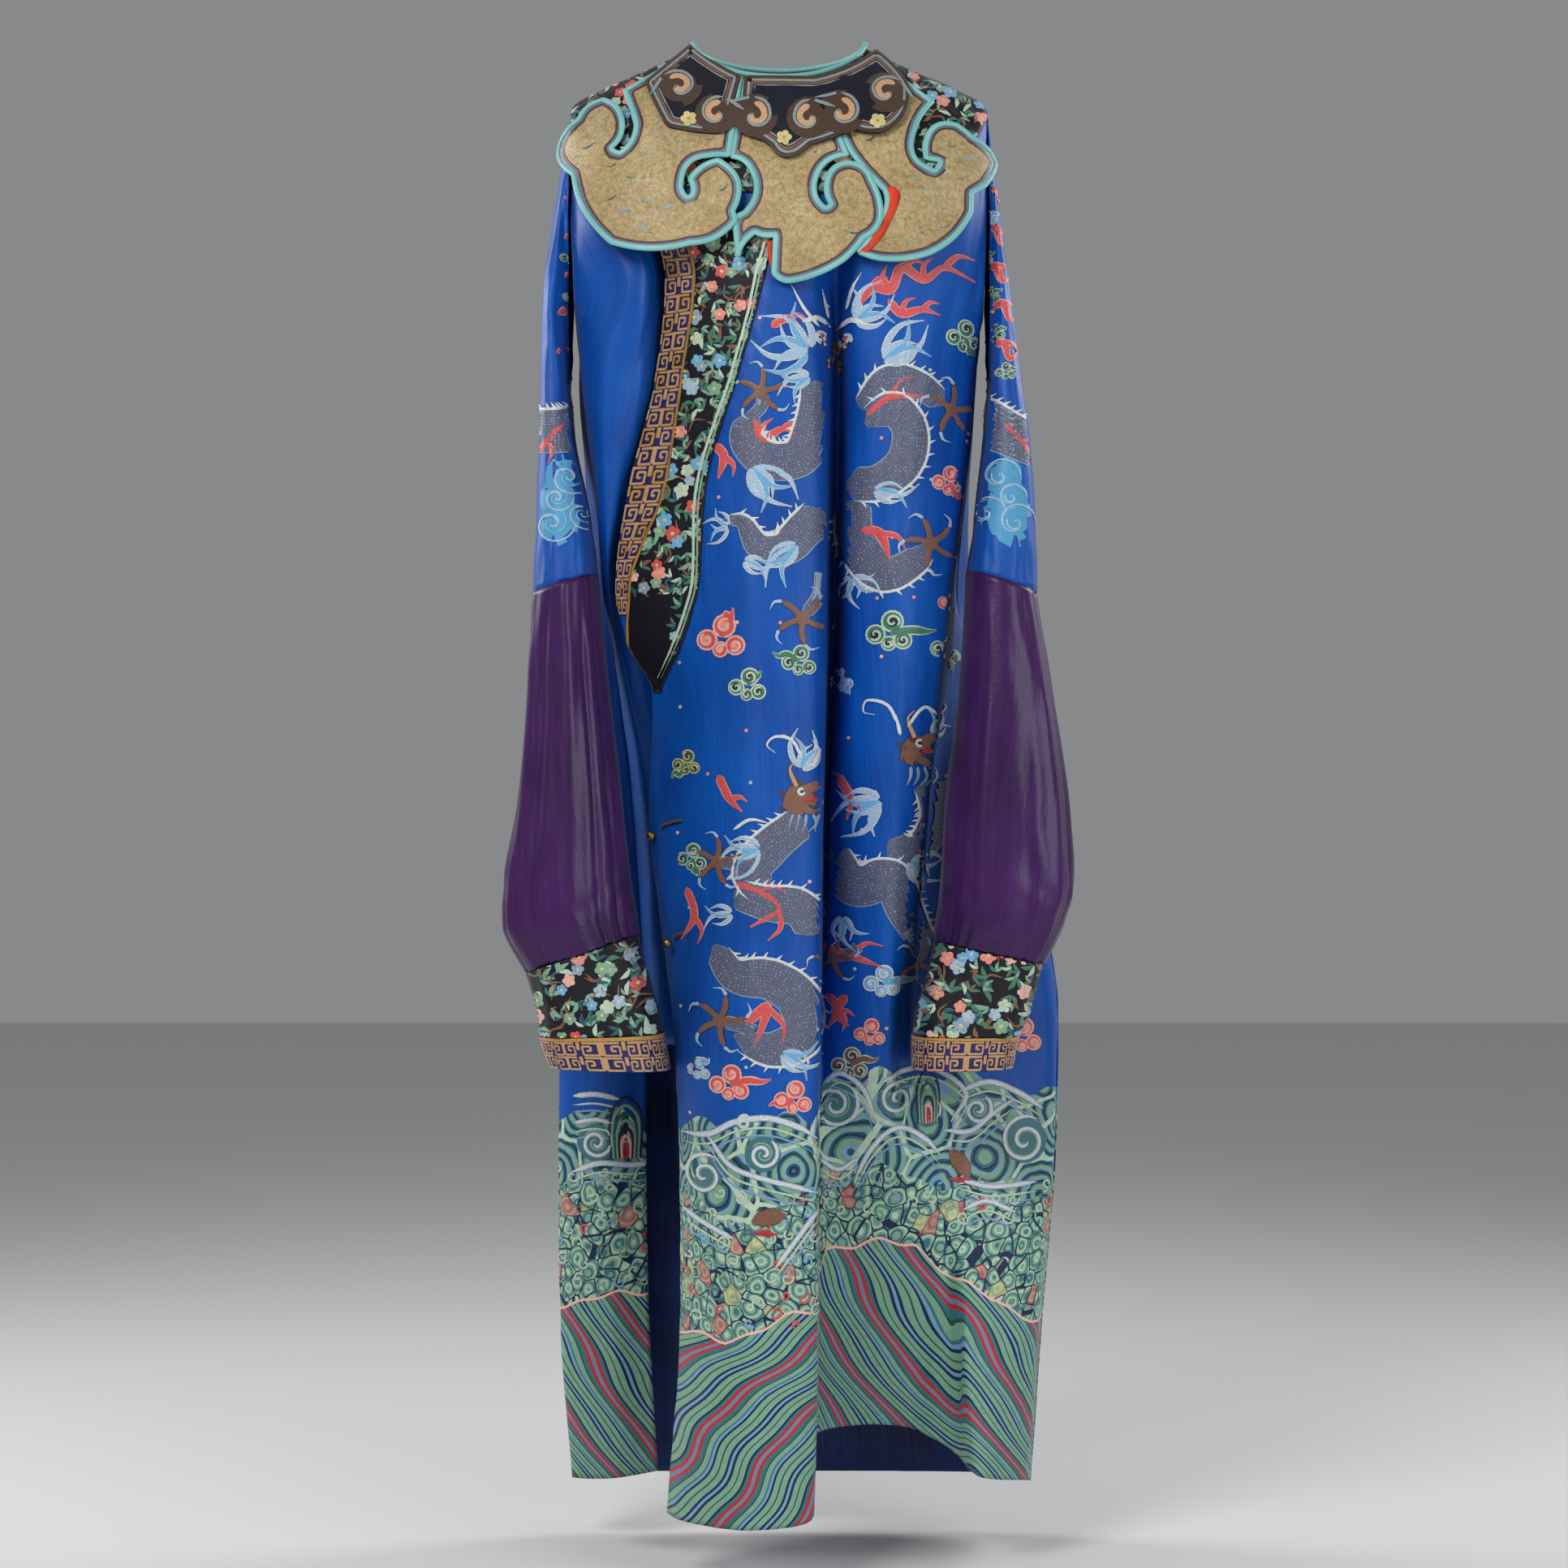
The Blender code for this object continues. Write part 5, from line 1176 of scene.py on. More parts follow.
for side, table, cuff, folds in (("right", SLEEVE_PLUS, CUFF_PLUS, PLUS_FOLDS),
                                 ("left", SLEEVE_MINUS, CUFF_MINUS, MINUS_FOLDS)):
    mirror = side == "left"
    upper = shift_rows(table, 0, SLEEVE_SEAM_ROW + 1, 0.0, HALF_GAP)
    lower = shift_rows(table, SLEEVE_SEAM_ROW, len(table), HALF_GAP, HALF_GAP)
    TUBES["upper_" + side] = tube("silk_sleeve_upper_" + side, upper, "sleeve_blue",
        "sleeve_upper_" + side,
                                  mirror, extra=UPPER_FOLDS)
    TUBES["lower_" + side] = tube("silk_sleeve_lower_" + side, lower, "purple", "sleeve_lower_" + side,
                                  mirror, pleat=gathers, extra=folds, fine=22)
    TUBES["cuff_" + side] = tube("silk_cuff_" + side, cuff_split(cuff, 0, FRET_FROM, HALF_GAP), "dark",
                                 "cuff_" + side, mirror, extra=CUFF_FOLDS)
    TUBES["cuff_fret_" + side] = tube("silk_cuff_fret_" + side, cuff_split(cuff, FRET_FROM, 1, HALF_GAP),
                                      "fret", "cuff_fret_" + side, mirror)


# ---------------------------------------------------------------- cloud collar
PLATE_START = 0.0042
PLATE_LAYER = 0.0020
ARC_STEP = 0.0035
MESH_STEP = 0.0045
SLIM_SHARE = 0.4         # a curved sliver is measured along its own length instead
SLIM_FILL = 0.6
SCRAP_AREA = 0.0003      # a smaller piece counts with the one before it
PUFF = 0.0012            # the padded middle of a collar plate stands this much prouder
PUFF_EDGE = 0.012        # the padding rises over this distance from the edge
QUILT_DEPTH = 0.0004


def near_edge(point, loop):
    """Distance of a point from a closed outline's points."""
    return float(np.min(np.hypot(loop[:, 0] - point[0], loop[:, 1] - point[1])))


def laid(x, z, lift, back=False):
    """Point and normal above the shoulder form from its place in the front view."""
    angle, reach = reach_at(x, z)
    if back:
        angle = math.pi - angle
    normal = form_normal(angle, reach)
    return on_form(angle, reach) + normal * lift, normal


def plate(name, table, lift, material, node, back=False):
    """Collar plate on a fine net, slightly fuller in its middle, as a shell for its CAD node."""
    loop = outline(table, ARC_STEP)
    ring = np.array(loop)
    net = list(loop)
    x = ring[:, 0].min() + MESH_STEP / 2
    while x < ring[:, 0].max():
        z = ring[:, 1].min() + MESH_STEP / 2
        while z < ring[:, 1].max():
            if inside((x, z), loop) and near_edge((x, z), ring) > MESH_STEP * 0.45:
                net.append((x, z))
            z += MESH_STEP
        x += MESH_STEP
    count = len(loop)
    edges = [(i, (i + 1) % count) for i in range(count)]
    result = delaunay_2d_cdt([Vector(p) for p in net], edges, [list(range(count))], 1, 1e-6)
    verts = []
    for p in result[0]:
        far = near_edge(p, ring)
        quilt = QUILT_DEPTH * math.sin(p[0] * 190) * math.sin(p[1] * 170)
        swell = PUFF * float(smooth_step(far / PUFF_EDGE)) + quilt
        verts.append(tuple(laid(p[0], p[1], lift + swell, back)[0]))
    faces = []
    for f in result[2]:
        a, b, c = [np.array(verts[i]) for i in f[:3]]
        n = np.cross(b - a, c - a)
        out = (a + b + c) / 3 - np.array([0.0, 0.0, -0.25])
        faces.append(tuple(f) if np.dot(n, out) > 0 else tuple(reversed(f)))
    mesh = bpy.data.meshes.new(name)
    mesh.from_pydata(verts, [], faces)
    layer = mesh.uv_layers.new(name="flat")
    flat = result[0]
    index = np.zeros(len(mesh.loops), int)
    mesh.loops.foreach_get("vertex_index", index)
    layer.data.foreach_set("uv", np.array([flat[i][:] for i in index], np.float32).ravel())
    mesh.polygons.foreach_set("use_smooth", [True] * len(mesh.polygons))
    mesh.materials.append(SILKS[material])
    obj = bpy.data.objects.new(name, mesh)
    bpy.context.scene.collection.objects.link(obj)
    mod = obj.modifiers.new("wall", "SOLIDIFY")
    mod.thickness = PLATE_WALL
    mod.offset = 1.0
    mod.use_rim = True
    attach(obj, ROOT)
    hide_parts(node)
    area = sum(p.area for p in mesh.polygons)
    wide = float(np.ptp(ring[:, 0]))
    tall = float(np.ptp(ring[:, 1])) * 1.25
    if area < SCRAP_AREA:
        SHEETS[-1][4].append(obj)
        return loop
    if area < SLIM_SHARE * wide * tall:
        wide = area / (SLIM_FILL * tall)
    SHEETS.append([obj, wide, tall, min(area, wide * tall), []])
    return loop


LOOPS = {}
for key, table, layer_at, material, back in (
        ("collar_lobe_right", LOBE_PLUS, 0, "cream", False),
        ("collar_lobe_front", LOBE_FRONT, 1, "cream", False),
        ("collar_lobe_left", LOBE_MINUS, 2, "cream", False),
        ("collar_inner_left", INNER_COLLAR_MINUS, 3.5, "navy", False),
        ("collar_inner_right", INNER_COLLAR_PLUS, 3.5, "navy", False),
        ("collar_lining_right", LINING_PLUS, 1, "orange", False),
        ("collar_lining_slit", LINING_SLIT, 1, "orange", False),
        ("collar_back_lobe_right", LOBE_PLUS, 0, "cream", True),
        ("collar_back_lobe_left", mirrored(LOBE_PLUS), 0, "cream", True),
        ("collar_back_lobe_middle", LOBE_BACK, 1.5, "cream", True),
        ("collar_inner_back", INNER_COLLAR_BACK, 3.5, "navy", True)):
    lift = PLATE_START + layer_at * PLATE_LAYER
    LOOPS[key] = (plate("silk_" + key, table, lift, material, key, back), lift + PLATE_WALL, back)


# ---------------------------------------------------------------- cords and bindings
def curve_points(path, step, closed=False):
    """Evenly spaced points of a smooth line through a path of any dimension."""
    path = np.asarray(path, float)
    if closed:
        path = np.concatenate([path, path[:1]])
    gaps = np.linalg.norm(np.diff(path, axis=0), axis=1)
    keep = np.concatenate([[True], gaps > 1e-7])
    path = path[keep]
    gaps = np.linalg.norm(np.diff(path, axis=0), axis=1)
    knots = np.concatenate([[0], np.cumsum(gaps)])
    count = max(2, int(math.ceil(knots[-1] / step)) + 1)
    t = np.linspace(0, knots[-1], count)
    if len(path) < 3:
        share = (t / knots[-1])[:, None]
        return path[0] * (1 - share) + path[1] * share
    slope = np.zeros_like(path)
    slope[1:-1] = (path[2:] - path[:-2]) / (knots[2:] - knots[:-2])[:, None]
    slope[0] = (path[1] - path[0]) / gaps[0]
    slope[-1] = (path[-1] - path[-2]) / gaps[-1]
    if closed:
        slope[0] = slope[-1] = (path[1] - path[-2]) / (gaps[0] + gaps[-1])
    k = np.clip(np.searchsorted(knots, t, side="right") - 1, 0, len(gaps) - 1)
    h = gaps[k][:, None]
    u = ((t - knots[k]) / gaps[k])[:, None]
    return ((2 * u ** 3 - 3 * u ** 2 + 1) * path[k] + (u ** 3 - 2 * u ** 2 + u) * h * slope[k]
            + (3 * u ** 2 - 2 * u ** 3) * path[k + 1] + (u ** 3 - u ** 2) * h * slope[k + 1])


def round_cord(name, points, normals, radius, flatten, material, closed, nodes=(),
    sides=8,
               twist=0.0):
    """Cord of oval section along points, flattened towards the cloth, with UVs along and round it."""
    points = np.asarray(points)
    normals = np.asarray(normals)
    count = len(points)
    ahead = np.roll(points, -1, axis=0) - np.roll(points, 1, axis=0)
    if not closed:
        ahead[0] = points[1] - points[0]
        ahead[-1] = points[-1] - points[-2]
    ahead /= np.linalg.norm(ahead, axis=1, keepdims=True)
    side = np.cross(ahead, normals)
    side /= np.linalg.norm(side, axis=1, keepdims=True)
    up = np.cross(side, ahead)
    verts = []
    for i in range(count):
        grow = 1.0
        if not closed and i in (0, count - 1):
            grow = 0.55
        for k in range(sides):
            a = 2 * math.pi * k / sides
            lobed = 1 + twist * math.cos(2 * a + i * 0.9)
            verts.append(points[i] + side[i] * math.cos(a) * radius * grow * lobed
                         + up[i] * math.sin(a) * radius * flatten * grow * lobed)
    faces = []
    for i in range(count if closed else count - 1):
        j = (i + 1) % count
        for k in range(sides):
            m = (k + 1) % sides
            faces.append((i * sides + k, i * sides + m, j * sides + m, j * sides + k))
    if not closed:
        faces.append(tuple(range(sides))[::-1])
        faces.append(tuple(range((count - 1) * sides, count * sides)))
    mesh = bpy.data.meshes.new(name)
    mesh.from_pydata([tuple(v) for v in verts], [], faces)
    layer = mesh.uv_layers.new(name="flat")
    along = np.concatenate([[0], np.cumsum(np.linalg.norm(np.diff(points, axis=0), axis=1))])
    uvs = []
    for f in faces:
        for v in f:
            uvs.append((v % sides * radius * 0.8, along[v // sides]))
    layer.data.foreach_set("uv", np.array(uvs, np.float32).ravel())
    mesh.polygons.foreach_set("use_smooth", [True] * len(mesh.polygons))
    mesh.materials.append(SILKS[material])
    obj = bpy.data.objects.new(name, mesh)
    bpy.context.scene.collection.objects.link(obj)
    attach(obj, ROOT)
    if nodes:
        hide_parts(*nodes)
    return obj


def inset(loop, distance):
    """Outline moved inwards by a distance, with crowded points dropped."""
    p = np.array(loop)
    area = float(np.sum(p[:, 0] * np.roll(p[:, 1], -1) - np.roll(p[:, 0], -1) * p[:, 1]))
    t = np.roll(p, -1, axis=0) - np.roll(p, 1, axis=0)
    t /= np.linalg.norm(t, axis=1, keepdims=True)
    n = np.stack([-t[:, 1], t[:, 0]], axis=1) * (1 if area > 0 else -1)
    moved = p + n * distance
    ok = [k for k, q in enumerate(moved) if near_edge(q, p) > abs(distance) * 0.92]
    return moved[ok]


BINDING_RADIUS = 0.0029
for key, (loop, lift, back) in LOOPS.items():
    if "lining" in key or "inner" in key:
        continue
    tilt = BINDING_RADIUS * 0.25
    path = curve_points(inset(loop, 0.0008), 0.0025, True)[:-1]
    spots = [laid(x, z, lift + tilt, back) for x, z in path]
    cord_piece = round_cord("binding_" + key, [s[0] for s in spots], [s[1] for s in spots],
        BINDING_RADIUS,
                            0.62, "turquoise", True, ())

neck_path = [on_form(2 * math.pi * k / 150, 0.0) + np.array([0.0, 0.0, 0.0066]) for k in range(150)]
neck_up = [np.array([0.0, 0.0, 1.0])] * 150
round_cord("binding_neck", neck_path, neck_up, 0.0026, 1.0, "turquoise", True, ("neck_binding",))
piping = moved_out(front_grid, BORDER_LIFT + PLATE_WALL + 0.0009)
piping_path = piping[BORDER_TOP + 4:FRET_END + 6, PIPING_COLUMN]
piping_up = grid_normals(front_grid)[BORDER_TOP + 4:FRET_END + 6, PIPING_COLUMN]
round_cord("cord_gold_piping", piping_path, piping_up, 0.0014, 0.8, "gold", False, ("gold_piping",),
           twist=0.15)


# ---------------------------------------------------------------- needlework
FAR = 2.0
RAIL_GAP = 0.0055        # widest strip of a broad band of stitches
BREAK = 0.012            # stitches never bridge a step in the cloth deeper than this


def surface_tree(objects):
    """Search tree over the outer faces of cloth pieces."""
    verts = []
    faces = []
    for obj in objects:
        start = len(verts)
        verts.extend(v.co.copy() for v in obj.data.vertices)
        faces.extend(tuple(start + i for i in p.vertices) for p in obj.data.polygons)
    return BVHTree.FromPolygons(verts, faces)


def front_view(tree, facing=-1.0, lift=0.0, shift=0.0):
    """Lays drawn points on cloth as seen from the front, or from the back with facing 1."""
    def place(x, z):
        x += shift
        hit, normal, _, _ = tree.ray_cast(Vector((x * -facing, facing * FAR, z)), Vector((0, -facing, 0)))
        if hit is None:
            return None
        if normal[1] * facing < 0:
            normal = -normal
        return hit + normal * lift, normal
    return place


def collar_view(lift, back=False):
    """Lays drawn points on the collar."""
    def place(x, z):
        point, normal = laid(x, z, lift, back)
        return Vector(point), Vector(normal)
    return place


def grid_view(grid, lift, closed=False):
    """Lays points given as shares across and down a grid of cloth."""
    normals = grid_normals(grid)
    if closed:
        out = grid - grid[:, :-1].mean(axis=1, keepdims=True)
        normals = normals * np.sign((out * normals).sum())
    rows, cols = grid.shape[:2]

    def place(s, t):
        c = min(max(s, 0), 1) * (cols - 1)
        r = min(max(t, 0), 1) * (rows - 1)
        i, j = min(int(r), rows - 2), min(int(c), cols - 2)
        a, b = r - i, c - j
        out = []
        for field in (grid, normals):
            out.append((field[i, j] * (1 - b) + field[i, j + 1] * b) * (1 - a)
                       + (field[i + 1, j] * (1 - b) + field[i + 1, j + 1] * b) * a)
        return Vector(out[0] + out[1] * lift), Vector(out[1])
    return place


class Needlework:
    """Raised stitches: lines and filled shapes drawn flat and laid on cloth."""

    def __init__(self, place, scale=(1.0, 1.0)):
        self.place = place
        self.scale = scale
        self.verts, self.faces, self.tints, self.uvs, self.kinds = [], [], [], [], []

    def put(self, x, z, lift):
        """Vertex on the cloth, or none where there is no cloth."""
        spot = self.place(x, z)
        if spot is None:
            return None
        self.verts.append(spot[0] + spot[1] * lift)
        return len(self.verts) - 1

    def face(self, corners, uvs, tint, kind):
        """Face between laid vertices unless it would bridge a step in the cloth."""
        if None in corners:
            return
        p = [self.verts[c] for c in corners]
        if max((p[0] - q).length for q in p) > BREAK:
            return
        self.faces.append(corners)
        self.uvs.extend(uvs)
        self.tints.extend([tint] * len(corners))
        self.kinds.append(kind)

    def line(self, path, width, tint, layer=1, taper=(0.25, 0.25), kind=0, step=STITCH_STEP,
        dome=STITCH_DOME):
        """Line of stitches of a width, or widths, tapering over shares of its two ends."""
        scale = np.array(self.scale)
        pts = curve_points(np.asarray(path, float), step)
        count = len(pts)
        share = np.linspace(0, 1, count)
        wide = np.interp(share, np.linspace(0, 1, len(width)), width) if hasattr(width,
            "__len__") else width
        ends = np.ones(count)
        if taper[0] > 0:
            ends *= np.clip(share / taper[0], 0.12, 1) ** 0.7
        if taper[1] > 0:
            ends *= np.clip((1 - share) / taper[1], 0.12, 1) ** 0.7
        half = wide * ends / 2
        ahead = np.gradient(pts, axis=0)
        side = np.stack([-ahead[:, 1], ahead[:, 0]], axis=1)
        side /= np.linalg.norm(side, axis=1, keepdims=True) + 1e-12
        base = STITCH_LIFT + layer * LAYER_LIFT
        strips = 2 * max(1, math.ceil(float(np.max(half)) / RAIL_GAP))
        across = np.linspace(-1, 1, strips + 1)
        rails = []
        for k in across:
            rail = (pts + side * half[:, None] * k) / scale
            rise = base + dome * (1 - k * k)
            rails.append([self.put(p[0], p[1], rise) for p in rail])
        run = share * step * count
        for i in range(count - 1):
            for k in range(strips):
                a, b = rails[k], rails[k + 1]
                u0, u1 = across[k] * half[i], across[k + 1] * half[i]
                self.face((a[i], a[i + 1], b[i + 1], b[i]),
                          ((run[i], u0), (run[i + 1], u0), (run[i + 1], u1), (run[i], u1)), tint, kind)

    def edged(self, path, width, tint, edge, rim=0.0016, layer=1, taper=(0.25, 0.25), kind=0):
        """Line with an outline of another colour showing along both sides."""
        outer = [w + 2 * rim for w in width] if hasattr(width, "__len__") else width + 2 * rim
        self.line(path, outer, edge, layer, taper)
        self.line(path, width, tint, layer + 1.2, taper, kind)

    def blob(self, x, z, size, tint, layer=1, squash=1.0, turn=0.0, lobes=0, depth=0.25, sides=14):
        """Filled rounded shape, with scalloped edge if it has lobes."""
        base = STITCH_LIFT + layer * LAYER_LIFT
        reach = max(1, math.ceil(size * 0.65 / RAIL_GAP / 1.6))
        rings = [[self.put(x / self.scale[0], z / self.scale[1], base + STITCH_DOME)] * sides]
        for step in range(1, reach + 1):
            share = step / reach
            ring = []
            for k in range(sides):
                a = 2 * math.pi * k / sides
                scallop = depth * abs(math.sin(lobes * a / 2)) - depth / 2 if lobes else 0
                r = size / 2 * share * (1 + scallop)
                dx, dz = r * math.cos(a), r * squash * math.sin(a)
                ring.append(self.put((x + dx * math.cos(turn) - dz * math.sin(turn)) / self.scale[0],
                                     (z + dx * math.sin(turn) + dz * math.cos(turn)) / self.scale[1],
                                     base + STITCH_DOME * (1 - share)))
            rings.append(ring)
        for inner, outer in zip(rings, rings[1:]):
            for k in range(sides):
                j = (k + 1) % sides
                uvs = ((x, z), (x + size / 3, z), (x + size / 3, z + size / 3))
                self.face((inner[k], outer[k], outer[j]), uvs, tint, 0)
                if inner is not rings[0]:
                    self.face((inner[k], outer[j], inner[j]), uvs, tint, 0)

    def spiral(self, x, z, radius, turns, width, tint, start=0.0, spin=1, layer=2, squash=1.0):
        """Curl of stitches winding in to its middle."""
        count = max(10, int(turns * 14))
        path = []
        for k in range(count + 1):
            share = k / count
            a = start + spin * share * turns * 2 * math.pi
            r = radius * (1 - share * 0.88)
            path.append((x + r * math.cos(a), z + r * squash * math.sin(a)))
        self.line(path, width, tint, layer, (0.08, 0.05))
        return path

    def build(self, name, materials=("thread", "scales"), on=None):
        """Finished object riding on the robe."""
        mesh = bpy.data.meshes.new(name)
        mesh.from_pydata([tuple(v) for v in self.verts], [], self.faces)
        layer = mesh.uv_layers.new(name="flat")
        layer.data.foreach_set("uv", np.array(self.uvs, np.float32).ravel())
        tint = mesh.color_attributes.new("thread", "FLOAT_COLOR", "CORNER")
        tint.data.foreach_set("color", np.array([(*t, 1.0) for t in self.tints], np.float32).ravel())
        for key in materials:
            mesh.materials.append(SILKS[key])
        mesh.polygons.foreach_set("material_index", self.kinds)
        mesh.polygons.foreach_set("use_smooth", [True] * len(self.faces))
        obj = bpy.data.objects.new(name, mesh)
        bpy.context.scene.collection.objects.link(obj)
        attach(obj, ROOT)
        for row in SHEETS:
            if row[0] is on:
                row[4].append(obj)


# ---------------------------------------------------------------- motifs
def jitter(size):
    """Small seeded offset."""
    return random.uniform(-size, size)


def cloud(n, x, z, size, tints, tail=(1, -0.3), spin=1):
    """Cloud of three curled heads and a trailing tail: tints are edge, body and core."""
    edge, body, core = (TINT[t] for t in tints)
    tx, tz = tail
    n.edged([(x, z), (x + tx * size * 0.7, z + tz * size * 0.7),
        (x + tx * size * 1.15, z + tz * size * 0.5),
             (x + tx * size * 1.5, z + tz * size * 0.9)], size * 0.20, body, edge, 0.0013, 1, (0.05, 0.4))
    for dx, dz, r in ((-0.42, -0.05, 0.34), (0.06, 0.32, 0.38), (0.36, -0.22, 0.32),
        (-0.05, -0.32, 0.26)):
        cx, cz = x + dx * size, z + dz * size
        n.blob(cx, cz, r * size * 1.75, edge, 1.5)
        n.blob(cx, cz, r * size * 1.40, body, 2.5)
        n.blob(cx, cz, r * size * 0.86, core, 3.5)
        n.spiral(cx, cz, r * size * 0.55, 1.2, size * 0.07, edge, random.uniform(0, 6), spin, 4.5)


def flame(n, path, width, tint="coral", edge="pink"):
    """Branching ribbon of red flame."""
    n.edged(path, width, TINT[tint], TINT[edge], 0.0010, 2, (0.1, 0.5))
    for k in range(1, len(path) - 1):
        x, z = path[k]
        dx, dz = path[k + 1][0] - x, path[k + 1][1] - z
        n.edged([(x, z), (x - dz * 0.5 + dx * 0.3, z + dx * 0.5 + dz * 0.3),
                 (x - dz * 0.6 + dx * 0.8, z + dx * 0.6 + dz * 0.8)],
                width * 0.62, TINT[tint], TINT[edge], 0.0008, 2, (0.1, 0.7))


def foot(n, x, z, size, turn=0.0, leg=None):
    """Five-clawed foot: rusty toes with white claws."""
    for k in range(5):
        a = turn + (k - 2) * 1.18
        bx, bz = x + size * 0.55 * math.cos(a), z + size * 0.55 * math.sin(a)
        tip = (x + size * 0.95 * math.cos(a + 0.12), z + size * 0.95 * math.sin(a + 0.12))
        n.line([(x, z), (bx, bz), tip], size * 0.20, TINT["brown"], 4, (0.05, 0.2))
        n.line([tip, (x + size * 1.15 * math.cos(a + 0.30), z + size * 1.15 * math.sin(a + 0.30)),
                (x + size * 1.18 * math.cos(a + 0.55), z + size * 1.18 * math.sin(a + 0.55))],
               size * 0.12, TINT["pale"], 4, (0.0, 0.8))
    n.blob(x, z, size * 0.5, TINT["brown"], 5)
    if leg:
        n.edged([leg, ((leg[0] + x) / 2 + 0.006, (leg[1] + z) / 2), (x, z)], size * 0.42, TINT["slate"],
                TINT["grey_blue"], 0.001, 2, (0.0, 0.2), 1)


def body(n, path, widths, spine=1, tint="slate"):
    """Coil of a dragon's body: scales, a pale line of spines and a soft outline."""
    n.edged(path, widths, TINT[tint], TINT["grey_blue"], 0.0011, 1, (0.06, 0.10), 1)
    pts = curve_points(np.array(path, float), 0.0085)
    ahead = np.gradient(pts, axis=0)
    side = np.stack([-ahead[:, 1], ahead[:, 0]], axis=1)
    side /= np.linalg.norm(side, axis=1, keepdims=True)
    half = np.interp(np.linspace(0, 1, len(pts)), np.linspace(0, 1, len(widths)), widths) / 2
    back = pts + side * half[:, None] * spine
    n.line(back[1:-1], 0.0026, TINT["white"], 4, (0.1, 0.1))
    for k in range(2, len(pts) - 2):
        d = ahead[k] / np.linalg.norm(ahead[k])
        tip = back[k] + side[k] * spine * 0.0058 + d * 0.0022
        n.line([back[k] - d * 0.001, tip], 0.0028, TINT["white"], 4, (0.0, 0.9))


def tufts(n, x, z, turn, size, count=6, tint="pale", spread=1.3):
    """Fan of flame-like locks of hair."""
    for k in range(count):
        a = turn + (k / max(1, count - 1) - 0.5) * spread
        length = size * (0.75 + 0.35 * ((k * 7) % 3) / 2)
        bend = 0.25 * (1 if k % 2 else -1)
        path = [(x + length * s * math.cos(a + bend * math.sin(s * 4)),
                 z + length * s * math.sin(a + bend * math.sin(s * 4))) for s in (0.1, 0.4, 0.7, 1.0)]
        n.edged(path, size * 0.10, TINT["sky" if k % 3 == 1 else tint], TINT["white"], 0.0008, 3,
            (0.1, 0.6))


def blossom(n, x, z, size, tint, core="straw", layer=2):
    """Five-petalled flower."""
    turn = random.uniform(0, 1.2)
    for k in range(5):
        a = turn + k * 1.2566
        n.blob(x + size * 0.30 * math.cos(a), z + size * 0.30 * math.sin(a), size * 0.46, TINT[tint],
            layer,
               sides=8)
    n.blob(x, z, size * 0.26, TINT[core], layer + 1, sides=7)


def leaf(n, x, z, size, turn, tint, layer=1):
    """Pointed leaf."""
    c, s = math.cos(turn), math.sin(turn)
    n.line([(x, z), (x + size * 0.5 * c - size * 0.12 * s, z + size * 0.5 * s + size * 0.12 * c),
            (x + size * c, z + size * s)], size * 0.38, TINT[tint], layer, (0.5, 0.5))


FLOWER_TINTS = ("sky", "grey_blue", "coral", "mint", "rose", "pale", "pink", "sage")
LEAF_TINTS = ("leaf", "sage", "teal", "mint", "leaf", "brown", "stripe_sage")


def garden(n, spots, size, mix=0.5):
    """Scattered flowers, leaves and twigs over a dark ground."""
    for x, z in spots:
        pick = random.random()
        turn = random.uniform(0, 6.28)
        if pick < 0.30 * mix * 2:
            blossom(n, x, z, size * random.uniform(0.8, 1.3), random.choice(FLOWER_TINTS))
        elif pick < 0.85:
            for k in range(3):
                leaf(n, x, z, size * random.uniform(0.6, 1.1), turn + k * 0.9, random.choice(LEAF_TINTS))
        else:
            n.line([(x, z), (x + size * math.cos(turn), z + size * math.sin(turn)),
                    (x + size * 1.7 * math.cos(turn + 0.6), z + size * 1.7 * math.sin(turn + 0.6))],
                   size * 0.16, TINT["brown"], 1)


def scattered(box, gap):
    """Uneven net of spots in a box of left, right, low and high."""
    left, right, low, high = box
    out = []
    row = 0
    z = low
    while z < high:
        x = left + (gap / 2 if row % 2 else 0)
        while x < right:
            out.append((x + jitter(gap * 0.3), z + jitter(gap * 0.3)))
            x += gap
        z += gap * 0.87
        row += 1
    return out


